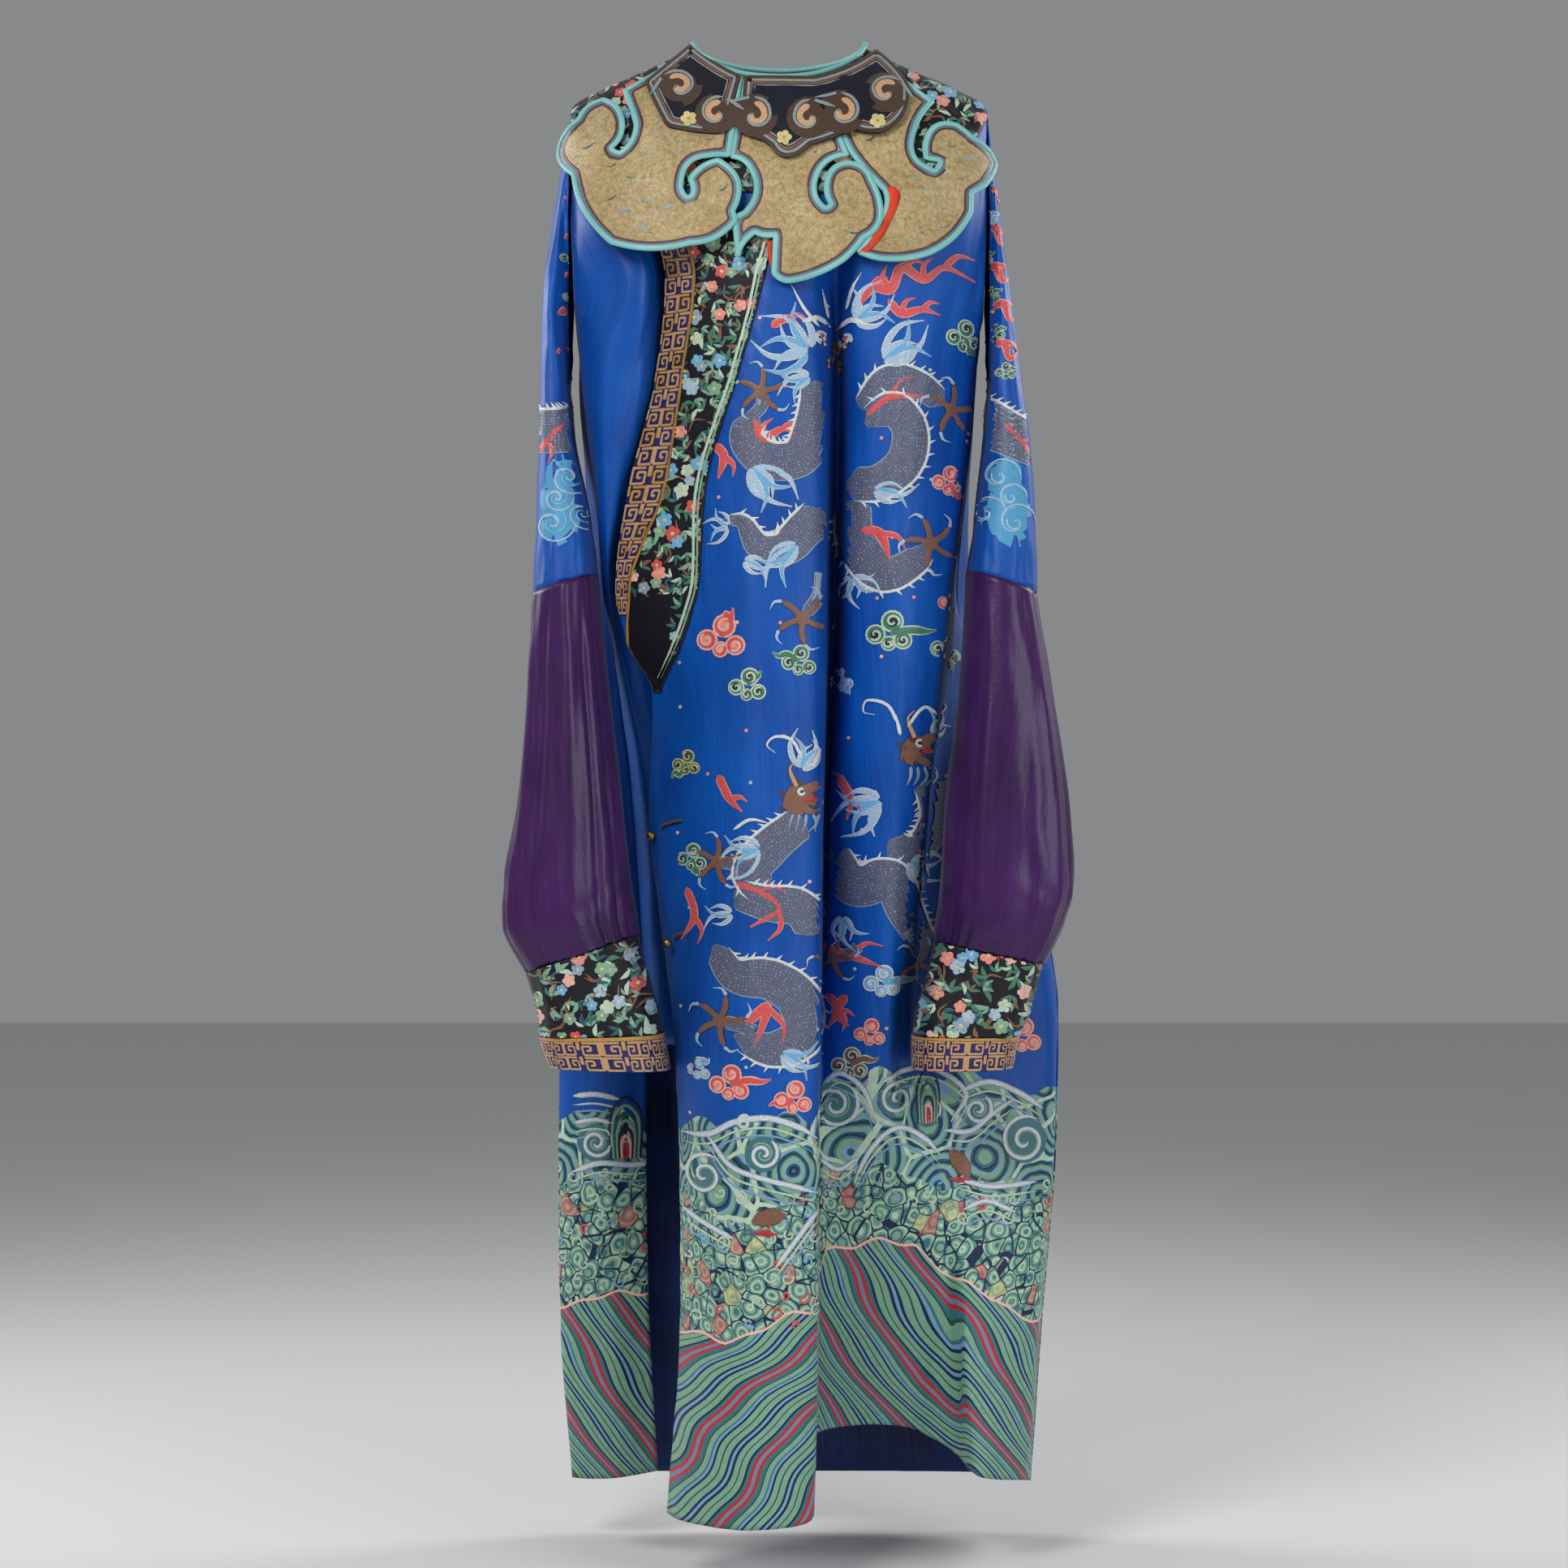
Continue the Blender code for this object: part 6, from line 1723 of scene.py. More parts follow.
# ---------------------------------------------------------------- the front's figures
# coils of dragon bodies: widths along it, side of the spines, path of (x, z)
COILS = (
    ((0.030, 0.036, 0.034, 0.026), -1, ((0.0363, -0.3320), (0.0318, -0.3712), (0.0190, -0.4028),
    (-0.0111, -0.4058), (-0.0299, -0.3862), (-0.0224, -0.3599))),
    ((0.018, 0.030, 0.022), 1, ((0.0770, -0.3561), (0.0996, -0.3305), (0.1297, -0.3335),
    (0.1545, -0.3501))),
    ((0.030, 0.034, 0.034, 0.032, 0.026), -1,
     ((0.0642, -0.4254), (0.0943, -0.4254), (0.1184, -0.4050), (0.1222, -0.3749), (0.1056, -0.3561),
     (0.0815, -0.3712))),
    ((0.034, 0.036, 0.022), -1, ((0.0680, -0.4404), (0.0725, -0.4803), (0.0981, -0.5112),
    (0.1267, -0.4992), (0.1372, -0.4826))),
    ((0.006, 0.022, 0.034, 0.034), 1, ((-0.0525, -0.4615), (-0.0337, -0.4630), (-0.0186, -0.4856),
    (0.0039, -0.4886), (0.0243, -0.4691), (0.0408, -0.4525))),
    ((0.026, 0.034, 0.034), 1, ((-0.0412, -0.8079), (-0.0111, -0.8169), (0.0190, -0.8215),
    (0.0348, -0.8456))),
    ((0.020, 0.036, 0.040, 0.036, 0.020), 1,
     ((-0.0601, -0.8568), (-0.0412, -0.8832), (-0.0073, -0.8877), (0.0190, -0.9073), (0.0228, -0.9397),
     (-0.0073, -0.9525), (-0.0412, -0.9397))),
    ((0.036, 0.034, 0.030), -1, ((0.1433, -0.7025), (0.1493, -0.7401), (0.1267, -0.7718),
    (0.1018, -0.7627))),
    ((0.034, 0.040, 0.036, 0.024), 1, ((0.0469, -0.7703), (0.0717, -0.8019), (0.1041, -0.7966),
    (0.1222, -0.8305), (0.1433, -0.8681))),
    ((0.030, 0.036, 0.030), -1, ((0.0228, -0.7401), (-0.0073, -0.7642), (-0.0262, -0.7891),
    (-0.0111, -0.8094))),
)
# claws: middle, size, turn, where its leg begins
CLAWS = (
    ((-0.0164, -0.3425), 0.024, 1.4, (-0.0262, -0.3674)), ((0.1621, -0.3546), 0.026, 0.2, None),
    ((0.1417, -0.4811), 0.026, 0.6, None),
    ((0.0213, -0.5534), 0.026, -1.6, (0.0393, -0.5105)), ((-0.0570, -0.7793), 0.024, 2.6,
    (-0.0262, -0.7853)), ((-0.0540, -0.9269), 0.026, 2.4, (-0.0224, -0.9359)),
    ((0.0514, -0.8727), 0.022, -1.2, (0.0755, -0.8606)), ((0.1320, -0.8794), 0.022, -0.4,
    (0.1207, -0.8456)),
)
# tufts of hair and foam: foot, direction, size, count, spread
TUFTS = (
    ((0.0303, -0.3049), 2.75, 0.052, 8, 1.9), ((0.0695, -0.2748), 0.65, 0.042, 7, 1.5),
    ((0.0303, -0.3275), 3.5, 0.034, 5, 1.0),
    ((0.0943, -0.3124), 0.55, 0.052, 6, 0.8), ((-0.0262, -0.4103), -0.9, 0.050, 6, 0.9),
    ((-0.0450, -0.4675), 3.0, 0.024, 6, 1.9),
    ((0.0190, -0.4826), -2.4, 0.048, 5, 0.7), ((0.0695, -0.5105), -1.2, 0.030, 7, 2.2),
    ((0.0868, -0.4314), -0.2, 0.040, 4, 0.7),
    ((-0.0337, -0.4992), -0.4, 0.030, 4, 0.8), ((-0.0149, -0.7665), 3.4, 0.040, 6, 1.3),
    ((0.0190, -0.6950), 1.2, 0.036, 6, 1.2),
    ((0.0981, -0.7213), 3.6, 0.048, 7, 1.4), ((0.1433, -0.6611), 0.9, 0.026, 5, 1.2),
    ((0.0002, -0.9547), -0.4, 0.040, 5, 0.9),
    ((0.1207, -0.7778), -0.6, 0.040, 6, 1.2), ((0.0604, -0.8305), -1.4, 0.034, 5, 1.2),
    ((-0.0412, -0.8267), 3.3, 0.030, 4, 1.0),
)
# red flames: width, path
FLAMES = (
    (0.0075, ((0.0755, -0.2597), (0.0868, -0.2432), (0.1041, -0.2447), (0.1146, -0.2243),
    (0.1357, -0.2341), (0.1545, -0.2221), (0.1847, -0.2319))),
    (0.0065, ((0.1018, -0.2544), (0.1146, -0.2672), (0.1342, -0.2627), (0.1508, -0.2672))),
    (0.0060, ((-0.0073, -0.2823), (0.0077, -0.2748), (0.0228, -0.2868))),
    (0.0070, ((-0.0239, -0.3674), (-0.0149, -0.3862), (0.0039, -0.3772), (0.0152, -0.3825))),
    (0.0070, ((0.0830, -0.3621), (0.1056, -0.3456), (0.1357, -0.3441))),
    (0.0075, ((0.0770, -0.4691), (0.0943, -0.4728), (0.1041, -0.4992))),
    (0.0070, ((-0.0601, -0.3900), (-0.0510, -0.4013), (-0.0563, -0.4224))),
    (0.0075, ((-0.0412, -0.7989), (-0.0186, -0.8064), (0.0002, -0.8215), (-0.0262, -0.8395))),
    (0.0075, ((-0.0299, -0.9284), (-0.0111, -0.9133), (-0.0224, -0.9510))),
    (0.0070, ((0.0529, -0.6950), (0.0680, -0.7213), (0.0642, -0.7401))),
    (0.0070, ((0.0454, -0.9073), (0.0567, -0.9209), (0.0469, -0.9397))),
    (0.0070, ((0.0642, -0.9073), (0.0544, -0.9246), (0.0664, -0.9374))),
    (0.0065, ((-0.0563, -0.6987), (-0.0450, -0.7213), (-0.0337, -0.7326))),
    (0.0060, ((0.0378, -0.8606), (0.0680, -0.8696), (0.0981, -0.8802))),
    (0.0060, ((-0.0864, -0.8041), (-0.0789, -0.8305), (-0.0917, -0.8531))),
)
RED_CLOUD = ("rose", "coral", "pink")
GREEN_CLOUD = ("mint", "leaf", "navy")
SKY_CLOUD = ("white", "sky", "pale")
# clouds: middle, size, tints, tail
CLOUDS = (
    ((-0.0525, -0.5707), 0.034, RED_CLOUD, (0.2, 0.9)), ((0.1598, -0.4224), 0.024, RED_CLOUD,
    (0.5, -0.8)),
    ((0.1628, -0.5353), 0.020, RED_CLOUD, (0.9, 0.2)), ((-0.0284, -0.6159), 0.026, GREEN_CLOUD,
    (0.3, 0.6)),
    ((0.1041, -0.5654), 0.032, GREEN_CLOUD, (0.9, 0.1)), ((0.1598, -0.5782), 0.026, GREEN_CLOUD,
    (0.2, -0.9)),
    ((0.1749, -0.2846), 0.026, GREEN_CLOUD, (0.4, -0.8)), ((0.0190, -0.5933), 0.024, GREEN_CLOUD,
    (-0.7, 0.4)),
    ((0.0589, -0.6084), 0.018, SKY_CLOUD, (0.3, -0.9)), ((-0.0450, -0.9849), 0.028, RED_CLOUD,
    (0.9, 0.2)),
    ((0.0137, -0.9977), 0.026, RED_CLOUD, (-0.6, -0.3)), ((-0.0811, -0.7763), 0.022, GREEN_CLOUD,
    (0.2, -0.9)),
    ((-0.0864, -0.6874), 0.020, ("straw", "leaf", "navy"), (-0.5, -0.8)),
    ((0.1922, -0.9434), 0.024, RED_CLOUD, (0.8, 0.4)),
    ((0.2374, -0.9525), 0.028, RED_CLOUD, (0.1, 0.8)), ((0.0981, -0.8945), 0.026, SKY_CLOUD, (0.9, 0.1)),
    ((0.0868, -0.9434), 0.022, RED_CLOUD, (0.2, 0.6)), ((0.1658, -0.9133), 0.024, GREEN_CLOUD,
    (0.6, 0.2)),
    ((0.0680, -0.9736), 0.026, ("mint", "brown", "brown_dark"), (0.7, 0.3)),
    ((0.2246, -0.8907), 0.020, SKY_CLOUD, (0.4, 0.7)), ((-0.0751, -0.9736), 0.018, SKY_CLOUD, (0.4, 0.7)),
)
# white whiskers and horns
WHISKERS = (
    ((0.0363, -0.2808), (0.0228, -0.2642), (0.0115, -0.2432)),
    ((0.0642, -0.2620), (0.0695, -0.2432), (0.0770, -0.2296)), ((0.0454, -0.2695), (0.0393, -0.2447)),
    ((0.0213, -0.6837), (0.0115, -0.6663), (-0.0036, -0.6633), (-0.0111, -0.6709), (-0.0036, -0.6784)),
    ((0.0303, -0.6912), (0.0363, -0.6761), (0.0303, -0.6663)),
    ((0.1116, -0.6513), (0.1018, -0.6332), (0.0830, -0.6287), (0.0800, -0.6392), (0.0905, -0.6422)),
    ((0.1192, -0.6535), (0.1357, -0.6347), (0.1508, -0.6407), (0.1598, -0.6317), (0.1508, -0.6272)),
    ((-0.0412, -0.7492), (-0.0262, -0.7401), (-0.0073, -0.7439)), ((0.1131, -0.6611), (0.1094, -0.6422)),
)
# dragon heads in profile: middle, size, way it faces
HEADS = (((0.0190, -0.7213), 0.030, 1), ((0.1297, -0.6761), 0.032, 1))


def head(n, x, z, size, way):
    """Dragon head in profile: brow, open jaws, eye, horn and beard."""
    n.blob(x, z, size * 1.25, TINT["brown_dark"], 2, 0.9, 0.4, 7, 0.3)
    n.blob(x, z, size * 1.0, TINT["brown"], 3, 0.85, 0.4, 5, 0.3)
    n.line([(x, z + size * 0.2), (x + way * size * 0.55, z + size * 0.42),
        (x + way * size * 0.75, z + size * 0.15)],
           size * 0.30, TINT["brown"], 4, (0.0, 0.4))
    n.line([(x, z - size * 0.2), (x + way * size * 0.4, z - size * 0.38),
        (x + way * size * 0.62, z - size * 0.28)],
           size * 0.22, TINT["brown"], 4, (0.0, 0.6))
    n.line([(x + way * size * 0.1, z), (x + way * size * 0.55, z + size * 0.02)], size * 0.14,
        TINT["red"], 5)
    n.blob(x + way * size * 0.05, z + size * 0.24, size * 0.26, TINT["white"], 5)
    n.blob(x + way * size * 0.06, z + size * 0.24, size * 0.12, TINT["navy"], 6)
    n.line([(x - way * size * 0.1, z + size * 0.4), (x - way * size * 0.3, z + size * 0.95),
            (x - way * size * 0.1, z + size * 1.2)], size * 0.12, TINT["tan"], 4, (0.0, 0.7))
    for k in range(5):
        bx = x - way * size * 0.2 + way * size * 0.2 * k
        n.line([(bx, z - size * 0.45), (bx + jitter(0.004), z - size * 0.75),
            (bx - way * 0.004, z - size * 1.0)],
               size * 0.10, TINT["grey_blue"], 3, (0.1, 0.6))


def facing_head(n, x, z, size):
    """Dragon head seen from in front: brown mask, red eyes, snout and pale brows."""
    n.blob(x, z, size, TINT["brown_dark"], 3, 1.25, 0.0, 9, 0.2)
    n.blob(x, z - size * 0.1, size * 0.72, TINT["brown"], 4, 1.2)
    for side in (-1, 1):
        n.blob(x + side * size * 0.30, z + size * 0.18, size * 0.34, TINT["white"], 5)
        n.blob(x + side * size * 0.30, z + size * 0.18, size * 0.22, TINT["red"], 6)
        n.line([(x + side * size * 0.1, z + size * 0.5), (x + side * size * 0.4, z + size * 0.62),
                (x + side * size * 0.75, z + size * 0.5)], size * 0.12, TINT["white"], 6)
        n.blob(x + side * size * 0.16, z - size * 0.36, size * 0.20, TINT["tan"], 5)


DOT_FIELD = (-0.14, 0.24, -1.03, -0.25)       # small dots between the figures: left, right, low, high
DOT_GAP = 0.062
DOT_SIZE = 0.0035


def figures(n):
    """All figures of one face of the robe above the water."""
    for widths, spine, path in COILS:
        body(n, path, widths, spine)
    for (x, z), turn, size, count, spread in TUFTS:
        tufts(n, x, z, turn, size, count, "pale", spread)
    for (x, z), size, turn, leg in CLAWS:
        foot(n, x, z, size, turn, leg)
    for width, path in FLAMES:
        flame(n, path, width)
    for (x, z), size, tints, tail in CLOUDS:
        cloud(n, x, z, size, tints, tail)
    for (x, z), size, way in HEADS:
        head(n, x, z, size, way)
    facing_head(n, 0.0514, -0.2974, 0.040)
    for path in WHISKERS:
        n.line(path, 0.0030, TINT["white"], 6, (0.1, 0.5))
    for x, z in scattered(DOT_FIELD, DOT_GAP):
        n.blob(x, z, DOT_SIZE, TINT[random.choice(("pink", "mint", "rose", "pale"))], 1, sides=8)


# the water: crests (width, path) and curls (middle, radius, turns, way)
ECHO_DROPS = ((0.009, 0.0020, "mint"), (0.016, 0.0018, "stripe_sky"))    # drop, width, tint
SWIRL_FIELD = (-0.24, 0.30, -1.20, -1.09)     # left, right, low, high
SWIRL_GAP = 0.021
VALLEY_LEFT = 0.035      # right of here the stripes of the hem reach higher
VALLEY_STRIPES = -1.125
CRESTS = (
    (0.0042, ((-0.0917, -1.0353), (-0.0638, -1.0323), (-0.0412, -1.0202), (-0.0111, -1.0157),
    (0.0190, -1.0248), (0.0348, -1.0353))),
    (0.0034, ((-0.0661, -1.0338), (-0.0450, -1.0602), (-0.0149, -1.0715), (0.0190, -1.0805),
    (0.0363, -1.0865))),
    (0.0036, ((0.0363, -1.0037), (0.0567, -0.9826), (0.0792, -0.9962), (0.0905, -1.0225))),
    (0.0036, ((0.0943, -0.9924), (0.1207, -0.9811), (0.1545, -0.9849), (0.1809, -1.0074),
    (0.1658, -1.0338))),
    (0.0034, ((0.0717, -1.0865), (0.0905, -1.0526), (0.1131, -1.0353), (0.1395, -1.0474),
    (0.1545, -1.0639))),
    (0.0040, ((0.1734, -1.0052), (0.2035, -0.9962), (0.2336, -1.0074), (0.2562, -1.0225))),
    (0.0034, ((0.1583, -1.0413), (0.1847, -1.0428), (0.2073, -1.0263), (0.2276, -1.0127))),
    (0.0034, ((0.1696, -1.0865), (0.2035, -1.0955), (0.2487, -1.0925))),
    (0.0034, ((-0.0902, -1.1053), (-0.0676, -1.1166), (-0.0412, -1.1279))),
    (0.0034, ((-0.0036, -1.1543), (0.0190, -1.1242), (0.0363, -1.1016))),
    (0.0036, ((-0.2031, -1.0150), (-0.1805, -1.0127), (-0.1579, -1.0172))),
    (0.0040, ((-0.2046, -1.0903), (-0.1768, -1.0805), (-0.1467, -1.0827), (-0.1218, -1.0805))),
    (0.0030, ((-0.2016, -1.0413), (-0.1805, -1.0376), (-0.1640, -1.0413))),
    (0.0030, ((0.1771, -1.1166), (0.1997, -1.1091), (0.2276, -1.1204))),
    (0.0030, ((0.0378, -1.0639), (0.0567, -1.0752), (0.0755, -1.0639))),
)
CURLS = (
    ((-0.0691, -1.0715), 0.022, 1.7, 1), ((0.0529, -1.0127), 0.026, 1.8, -1),
    ((0.2381, -1.0526), 0.026, 1.8, 1),
    ((-0.1805, -1.0602), 0.018, 1.6, -1), ((-0.0149, -1.0489), 0.016, 1.4, -1),
    ((0.1131, -1.0074), 0.018, 1.6, 1),
    ((0.1922, -1.0225), 0.016, 1.5, -1), ((-0.0314, -1.0202), 0.008, 1.2, 1),
    ((0.1433, -1.0225), 0.014, 1.4, -1),
)


def water(n, shift=0.0):
    """White crests, foam curls and small coloured swirls over the billows."""
    for width, path in CRESTS:
        path = [(x + shift, z) for x, z in path]
        n.edged(path, width, TINT["white"], TINT["grey_blue"], 0.0010, 2, (0.15, 0.15))
        for drop, fine, tint in ECHO_DROPS:
            n.line([(x, z - drop) for x, z in path], fine, TINT[tint], 2, (0.2, 0.2))
    for (x, z), radius, turns, way in CURLS:
        n.blob(x + shift, z, radius * 2.1, TINT["stripe_teal"], 1)
        n.spiral(x + shift, z, radius * 0.92, turns, 0.0032, TINT["white"], 1.0, way, 3)
        n.spiral(x + shift, z, radius * 0.72, turns * 0.8, 0.0018, TINT["sage"], 2.6, way, 3)
    for x, z in scattered(SWIRL_FIELD, SWIRL_GAP):
        if x > VALLEY_LEFT and z < VALLEY_STRIPES:
            continue
        tint = random.choice(("mint", "sage", "mint", "sage", "coral", "sky", "grey_blue",
            "stripe_teal", "mint"))
        n.spiral(x, z, random.uniform(0.0045, 0.0075), 1.1, 0.0020, TINT[tint], random.uniform(0, 6),
                 random.choice((-1, 1)), 2)
    for (x, z), turn in (((-0.0111, -1.1091), 0.2), ((0.1749, -1.0752), 2.2)):
        n.edged([(x + shift - 0.014 * math.cos(turn), z - 0.014 * math.sin(turn)), (x + shift, z + 0.002),
                 (x + shift + 0.018 * math.cos(turn), z + 0.018 * math.sin(turn))], 0.014,
                TINT["brown"], TINT["brown_dark"], 0.001, 3, (0.3, 0.3))
        n.line([(x + shift - 0.012, z - 0.012), (x + shift + 0.010, z - 0.014)], 0.005, TINT["red"], 4,
            (0.4, 0.4))


def rock(n, x, z, width, height):
    """Tall rock standing in the water, in nested arches."""
    for k, tint in enumerate(("stripe_navy", "sage", "teal", "sage", "stripe_navy", "rose", "red")):
        w = width * (1 - k / 7)
        h = height * (1 - k / 8)
        path = [(x - w / 2, z), (x - w / 2, z + h * 0.75), (x, z + h), (x + w / 2, z + h * 0.75),
            (x + w / 2, z)]
        n.line(path, width / 9, TINT[tint], 3 + k * 0.3, (0.0, 0.0))


BACK_STRETCH = 1.38     # the back is wider than the front, and its figures are broader
BACK_SHIFT = 0.085       # brings the figures to the middle of the back
WATER_SHIFT = -0.02
front_tree = surface_tree([front_shell])
back_tree = surface_tree([back_shell])
front_work = Needlework(front_view(front_tree))
figures(front_work)
front_work.build("embroidery_front", on=front_shell)
sea_work = Needlework(front_view(surface_tree([front_shell, back_shell])))
water(sea_work)
rock(sea_work, -0.1514, -1.0760, 0.028, 0.060)
rock(sea_work, 0.1433, -1.0338, 0.020, 0.050)
sea_work.build("embroidery_water_front", on=front_shell)
back_work = Needlework(front_view(back_tree, 1.0, 0.0, -BACK_SHIFT), (1 / BACK_STRETCH, 1.0))
figures(back_work)
back_work.build("embroidery_back", on=back_shell)
far_sea = Needlework(front_view(back_tree, 1.0))
water(far_sea, WATER_SHIFT)
far_sea.build("embroidery_water_back", on=back_shell)


# ---------------------------------------------------------------- sleeves' and bands' figures
def sleeve_figures(n, side):
    """Blue sleeve: red and white medley, a band of dragon coil, and a three-headed cloud."""
    cx = 0.2075 if side > 0 else -0.1985
    body(n, [(cx - 0.045 * side, -0.335), (cx, -0.372), (cx + 0.045 * side,
        -0.392 if side > 0 else -0.372)],
         (0.038, 0.042, 0.040), 1 * side)
    flame(n, [(cx + 0.005 * side, -0.368), (cx + 0.020 * side, -0.384), (cx + 0.032 * side, -0.402)],
        0.006)
    for dx, dz, r in ((0.000, -0.418, 0.026), (-0.013, -0.452, 0.024), (0.014, -0.462, 0.028),
        (0.010, -0.438, 0.020)):
        x, z = cx + dx * side, dz
        n.blob(x, z, r * 1.65, TINT["cloud_blue"], 1, lobes=8, depth=0.06)
        for k in range(3):
            n.spiral(x, z, r * (0.78 - 0.24 * k), 1.0, 0.0016, TINT["sky" if k % 2 else "pale"],
                     1.3 * k, side, 3)
    for z in (-0.300, -0.262, -0.225, -0.188, -0.150):
        x = cx - (0.006 if z > -0.24 else 0.0) * side
        flame(n, [(x - 0.012, z), (x + 0.004, z + 0.010), (x + 0.010, z - 0.006),
            (x + 0.020, z + 0.004)], 0.0055,
              "coral", "rose")
        cloud(n, x + jitter(0.008), z - 0.018, 0.014, random.choice((SKY_CLOUD, GREEN_CLOUD,
            RED_CLOUD)), (0.5, 0.4))


for side, sign in (("right", 1), ("left", -1)):
    piece, grid = TUBES["upper_" + side]
    tree = surface_tree([piece])
    for facing, word in ((-1.0, "front"), (1.0, "back")):
        n = Needlework(front_view(tree, facing))
        sleeve_figures(n, sign * -facing)
        n.build("embroidery_sleeve_%s_%s" % (side, word), on=piece)
    cuff_tree = surface_tree([TUBES["cuff_" + side][0]])
    lo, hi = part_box("cuff_" + side)
    for facing, word in ((-1.0, "front"), (1.0, "back")):
        n = Needlework(front_view(cuff_tree, facing))
        left, right = (lo[0], hi[0]) if facing < 0 else (-hi[0], -lo[0])
        garden(n, scattered((left, right, lo[2], hi[2]), 0.0125), 0.0125, 0.5)
        n.build("embroidery_cuff_%s_%s" % (side, word), on=TUBES["cuff_" + side][0])

border_work = Needlework(front_view(surface_tree([border_shell]), -1.0, PLATE_WALL))
border_spots = scattered((-0.14, 0.02, -0.60, -0.17), 0.0115)
garden(border_work, [p for p in border_spots if p[1] > -0.53], 0.0115, 0.34)
garden(border_work, [p for p in border_spots if p[1] <= -0.53 and p[0] > -0.098], 0.010, 0.5)
border_lines = ((-0.0072, 0.0026, "mint"), (-0.0035, 0.0018, "sage"))
edge_points = border_grid[:, -1]
for inwards, width, tint in border_lines:
    path = [(p[0] + inwards + 0.0012 * math.sin(p[2] * 260), p[2]) for p in edge_points[4::4]]
    border_work.line(path, width, TINT[tint], 4, (0.02, 0.1))
border_work.build("embroidery_border", on=border_shell)

neck_pieces = [bpy.data.objects["silk_neck_band_" + word] for word in ("front", "underlap", "back")]
neck_work = Needlework(front_view(surface_tree(neck_pieces), -1.0, PLATE_WALL))
garden(neck_work, scattered((-0.20, 0.21, -0.24, -0.02), 0.0125), 0.0115, 0.45)
neck_work.build("embroidery_neck_front")
neck_far = Needlework(front_view(surface_tree(neck_pieces), 1.0, PLATE_WALL))
garden(neck_far, scattered((-0.20, 0.20, -0.22, -0.02), 0.0135), 0.0115, 0.7)
neck_far.build("embroidery_neck_back")

# one repeat of the key fret in a square of side 1, worked as lines
FRET_LINES = (
    ((0.05, 0.0), (0.05, 0.9), (0.75, 0.9), (0.75, 0.3), (0.35, 0.3), (0.35, 0.6), (0.55, 0.6)),
    ((0.95, 0.0), (0.95, 0.55)), ((0.05, 0.08), (0.75, 0.08)),
)
FRET_LINE = 0.0020


def fret(n, wide, long, columns):
    """Rows of key fret over a band, every second column turned over."""
    rows = int(long / (wide / columns))
    for r in range(rows):
        for c in range(columns):
            for line in FRET_LINES:
                path = []
                for s, t in line:
                    s = 1 - s if (r + c) % 2 else s
                    path.append(((c + s) / columns * wide, (r + t) / rows * long))
                for (a, b) in zip(path, path[1:]):
                    n.line([a, b], FRET_LINE, TINT["tan" if (r + c) % 3 else "gold"], 1, (0.0, 0.0),
                        step=0.004)


fret_wide = 0.030
fret_long = 0.330
fret_work = Needlework(grid_view(fret_grid, PLATE_WALL), (fret_wide, fret_long))
fret(fret_work, fret_wide, fret_long, 2)
fret_work.build("embroidery_fret_band", ("thread",), fret_shell)
for side in ("right", "left"):
    piece, grid = TUBES["cuff_fret_" + side]
    closed = np.concatenate([grid, grid[:, :1]], axis=1)
    around, deep = 0.36, 0.030
    n = Needlework(grid_view(closed, 0.0, True), (around, deep))
    count = int(around / 0.015)
    for c in range(count):
        for r in range(2):
            for line in FRET_LINES:
                pts = [((c + (1 - s if c % 2 else s)) / count * around,
                    (0.12 + (r + t) * 0.44) * deep) for s, t in line]
                for a, b in zip(pts, pts[1:]):
                    n.line([a, b], 0.0018, TINT["tan"], 1, (0.0, 0.0), step=0.004)
    n.line([(k / 60 * around, 0.05 * deep) for k in range(61)], 0.0034, TINT["gold"], 2, (0.0, 0.0))
    n.build("embroidery_fret_cuff_" + side, ("thread",), piece)


# ---------------------------------------------------------------- the collar's figures
# hooked scrolls of the inner ring: middle, radius, start, way
HOOKS = (
    ((-0.0917, -0.0564), 0.0189, 2.4, -1), ((-0.0570, -0.0850), 0.0169, 1.2, 1),
    ((-0.0221, -0.0873), 0.0182, 1.6, -1),
    ((0.0273, -0.0895), 0.0175, 1.5, 1), ((0.0574, -0.0835), 0.0189, 1.6, -1),
    ((0.0981, -0.0624), 0.0182, 0.8, 1),
)
for back in (False, True):
    lift = PLATE_START + 3.5 * PLATE_LAYER + PLATE_WALL + 0.0012
    n = Needlework(collar_view(lift, back))
    for (x, z), radius, start, way in HOOKS:
        n.blob(x, z, radius * 2.35, TINT["cord_brown"], 0.5)
        n.spiral(x, z, radius * 0.98, 0.95, 0.0030, TINT["ash"], start, way, 3)
        n.spiral(x, z, radius * 0.66, 0.95, 0.0080, TINT["cord_brown"], start, way, 3)
        n.spiral(x, z, radius * 0.64, 0.85, 0.0056, TINT["scroll_cream"], start, way, 4.5)
        tail = start - way * 0.25
        n.line([(x + radius * math.cos(tail), z + radius * math.sin(tail)),
                (x + radius * 1.15 * math.cos(tail - way * 0.5),
                z + radius * 1.15 * math.sin(tail - way * 0.5)),
                (x + radius * 1.5 * math.cos(tail - way * 0.8),
                z + radius * 1.5 * math.sin(tail - way * 0.8))],
               0.0030, TINT["ash"], 3, (0.0, 0.4))
    for (x, z), size in (((-0.0826, -0.0903), 0.015), ((0.0047, -0.1091), 0.014),
        ((0.0905, -0.0926), 0.015)):
        blossom(n, x, z, size, "straw", "tan", 4)
    n.build("embroidery_collar_ring_" + ("back" if back else "front"), ("thread",))
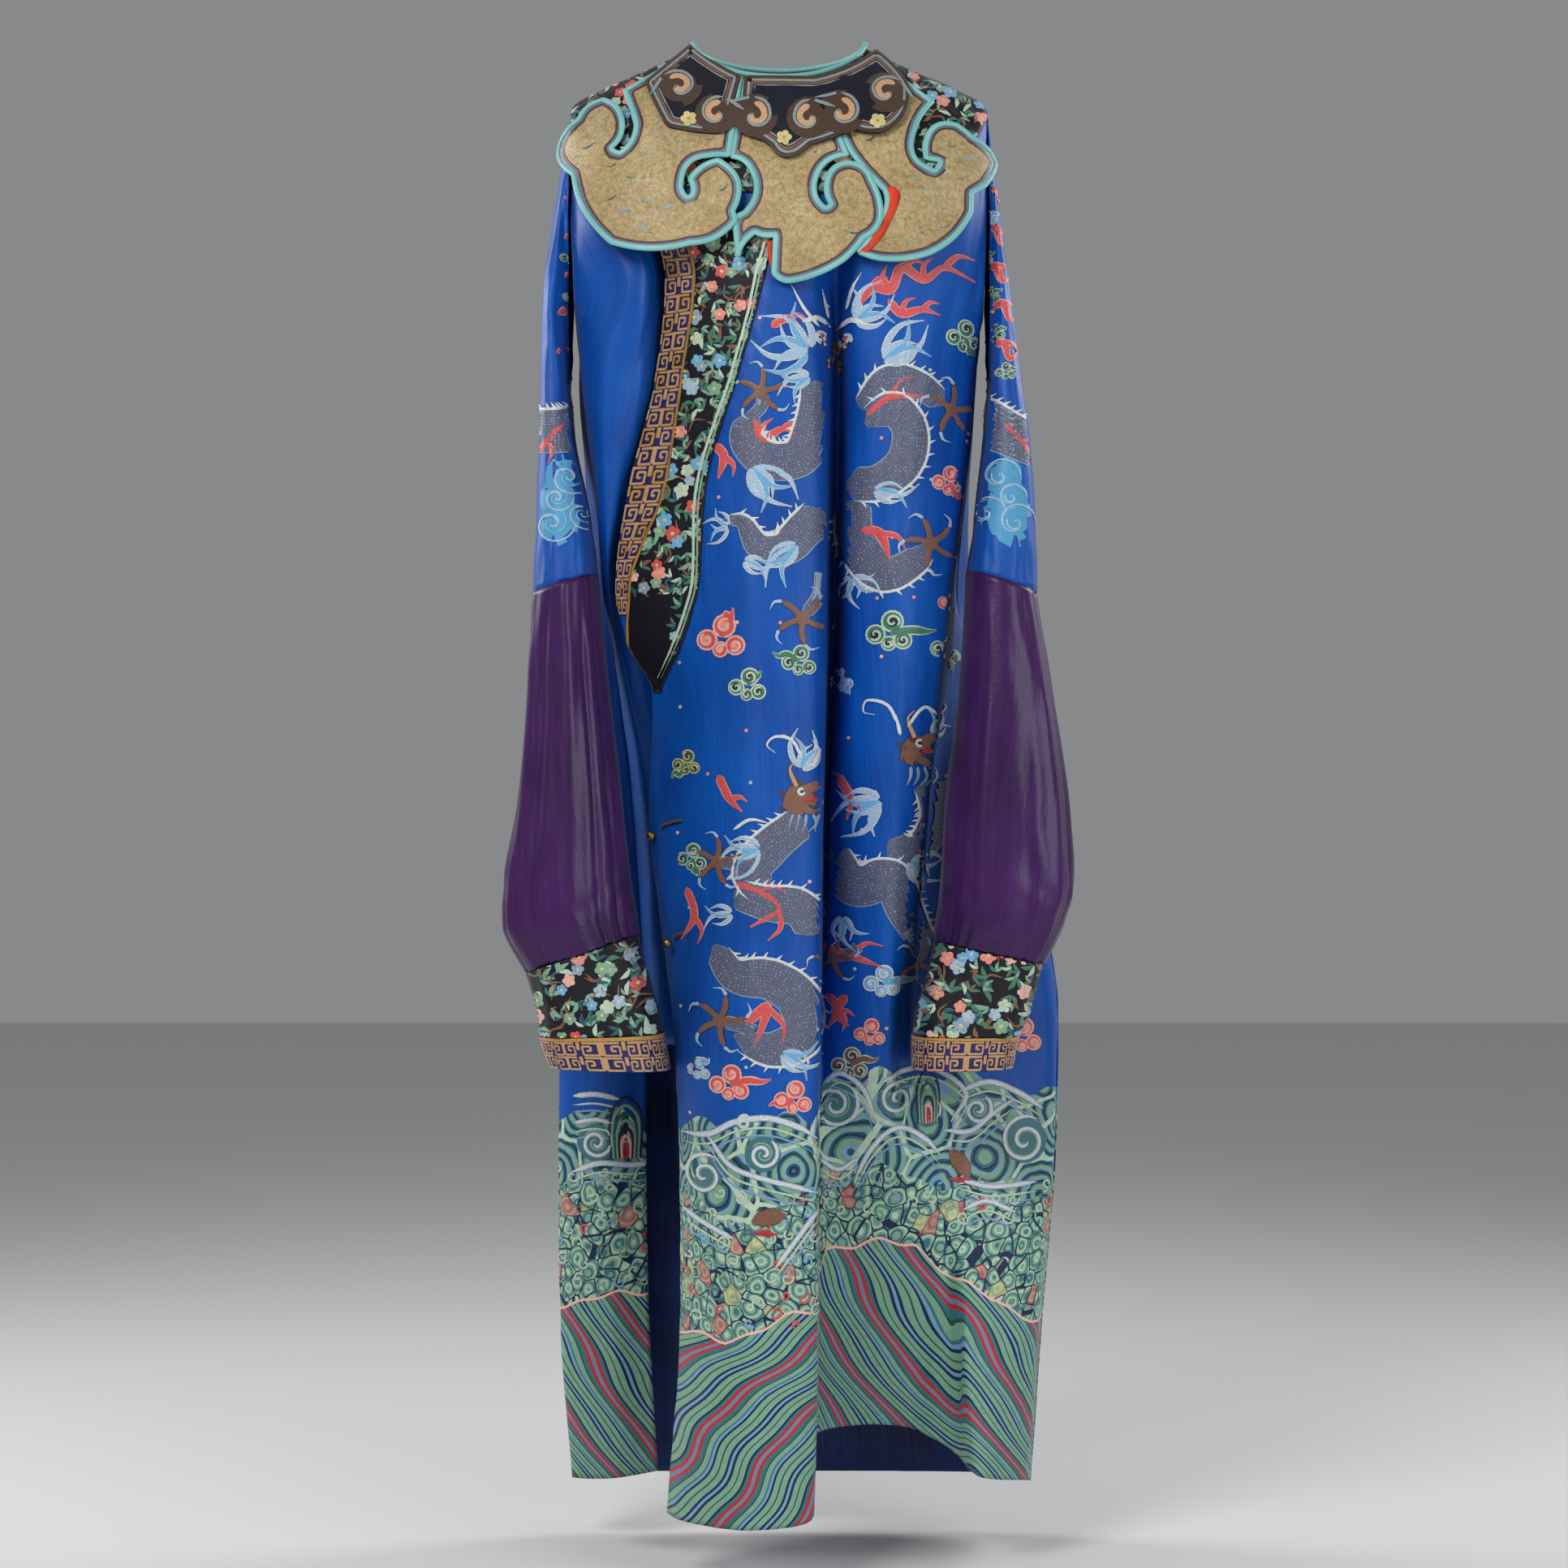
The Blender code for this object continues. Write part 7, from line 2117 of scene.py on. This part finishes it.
for key, (loop, lift, back) in LOOPS.items():
    if "lining" in key:
        continue
    n = Needlework(collar_view(lift + 0.0004, back))
    if "inner" in key:
        rims = ((0.0016, 0.0032, "cord_brown"), (0.0048, 0.0026, "ash"), (0.0078, 0.0022, "brown"),
                (0.0104, 0.0014, "ash"))
    else:
        rims = ((0.0040, 0.0022, "slate"), (0.0062, 0.0018, "cord_brown"), (0.0092, 0.0012, "tan"))
    for distance, width, tint in rims:
        path = inset(loop, distance)
        pieces = []
        run = [path[0]]
        for a, b in zip(path, path[1:]):
            if np.hypot(*(b - a)) > 0.009:
                pieces.append(run)
                run = []
            run.append(b)
        pieces.append(run)
        for part in pieces:
            if len(part) > 3:
                n.line(part, width, TINT[tint], 1.5, (0.0, 0.0))
    if "inner" not in key:
        ring = np.array(loop)
        box = (ring[:, 0].min(), ring[:, 0].max(), ring[:, 1].min(), ring[:, 1].max())
        for x, z in scattered(box, 0.019):
            if inside((x, z), loop) and near_edge((x, z), ring) > 0.014:
                turn = random.uniform(-0.5, 0.3)
                n.line([(x, z), (x + 0.005 * math.cos(turn), z + 0.005 * math.sin(turn)),
                        (x + 0.010 * math.cos(turn + 0.3), z + 0.010 * math.sin(turn + 0.3))], 0.0016,
                       TINT[random.choice(("leaf", "sage", "sky", "cream_deep", "teal", "cream_deep"))],
                           2)
    n.build("embroidery_" + key, ("thread",))


# ---------------------------------------------------------------- camera, floor and light
scene = bpy.context.scene
camera_data = bpy.data.cameras.new("camera")
camera_data.sensor_width = 36.0
camera_data.lens = 95.3
camera = bpy.data.objects.new("camera", camera_data)
camera.location = (0.0047, -4.0, -0.707)
camera.rotation_euler = (math.pi / 2, 0, 0)
scene.collection.objects.link(camera)
scene.camera = camera

FLOOR_Z = -1.455
floor_mesh = bpy.data.meshes.new("floor")
FLOOR_HALF = 9.0
corners = [(FLOOR_HALF * a, FLOOR_HALF * b, 0) for a, b in ((-1, -1), (1, -1), (1, 1), (-1, 1))]
floor_mesh.from_pydata(corners, [], [(0, 1, 2, 3)])
floor = bpy.data.objects.new("floor", floor_mesh)
floor.location = (0, 0, FLOOR_Z)
scene.collection.objects.link(floor)
plain = Tree("plain_floor")
plain.set(Base_Color=(0.72, 0.72, 0.72, 1), Roughness=0.85)
floor_mesh.materials.append(plain.material)

world = bpy.data.worlds.new("studio")
world.use_nodes = True
world.node_tree.nodes["Background"].inputs[0].default_value = (0.82, 0.83, 0.85, 1)
world.node_tree.nodes["Background"].inputs[1].default_value = 0.30
scene.world = world

# soft lights: name, place, aim, width, power, colour
LIGHTS = (
    ("key", (-1.3, -2.6, 1.2), (0.0, 0.0, -0.6), 1.2, 62.0, (1.0, 0.98, 0.95)),
    ("fill", (1.9, -2.2, -0.1), (0.0, 0.0, -0.8), 1.4, 26.0, (0.96, 0.98, 1.0)),
    ("rim_left", (-2.0, 0.9, 0.3), (0.0, 0.0, -0.7), 1.0, 26.0, (1.0, 1.0, 1.0)),
    ("rim_right", (2.0, 1.2, 0.5), (0.0, 0.0, -0.6), 1.0, 26.0, (1.0, 1.0, 1.0)),
)
for name, place, aim, width, power, colour in LIGHTS:
    data = bpy.data.lights.new(name, "AREA")
    data.shape = "SQUARE"
    data.size = width
    data.energy = power
    data.color = colour
    lamp = bpy.data.objects.new(name, data)
    lamp.location = place
    lamp.rotation_euler = (Vector(aim) - Vector(place)).to_track_quat("-Z", "Y").to_euler()
    scene.collection.objects.link(lamp)
scene.view_settings.view_transform = "Standard"
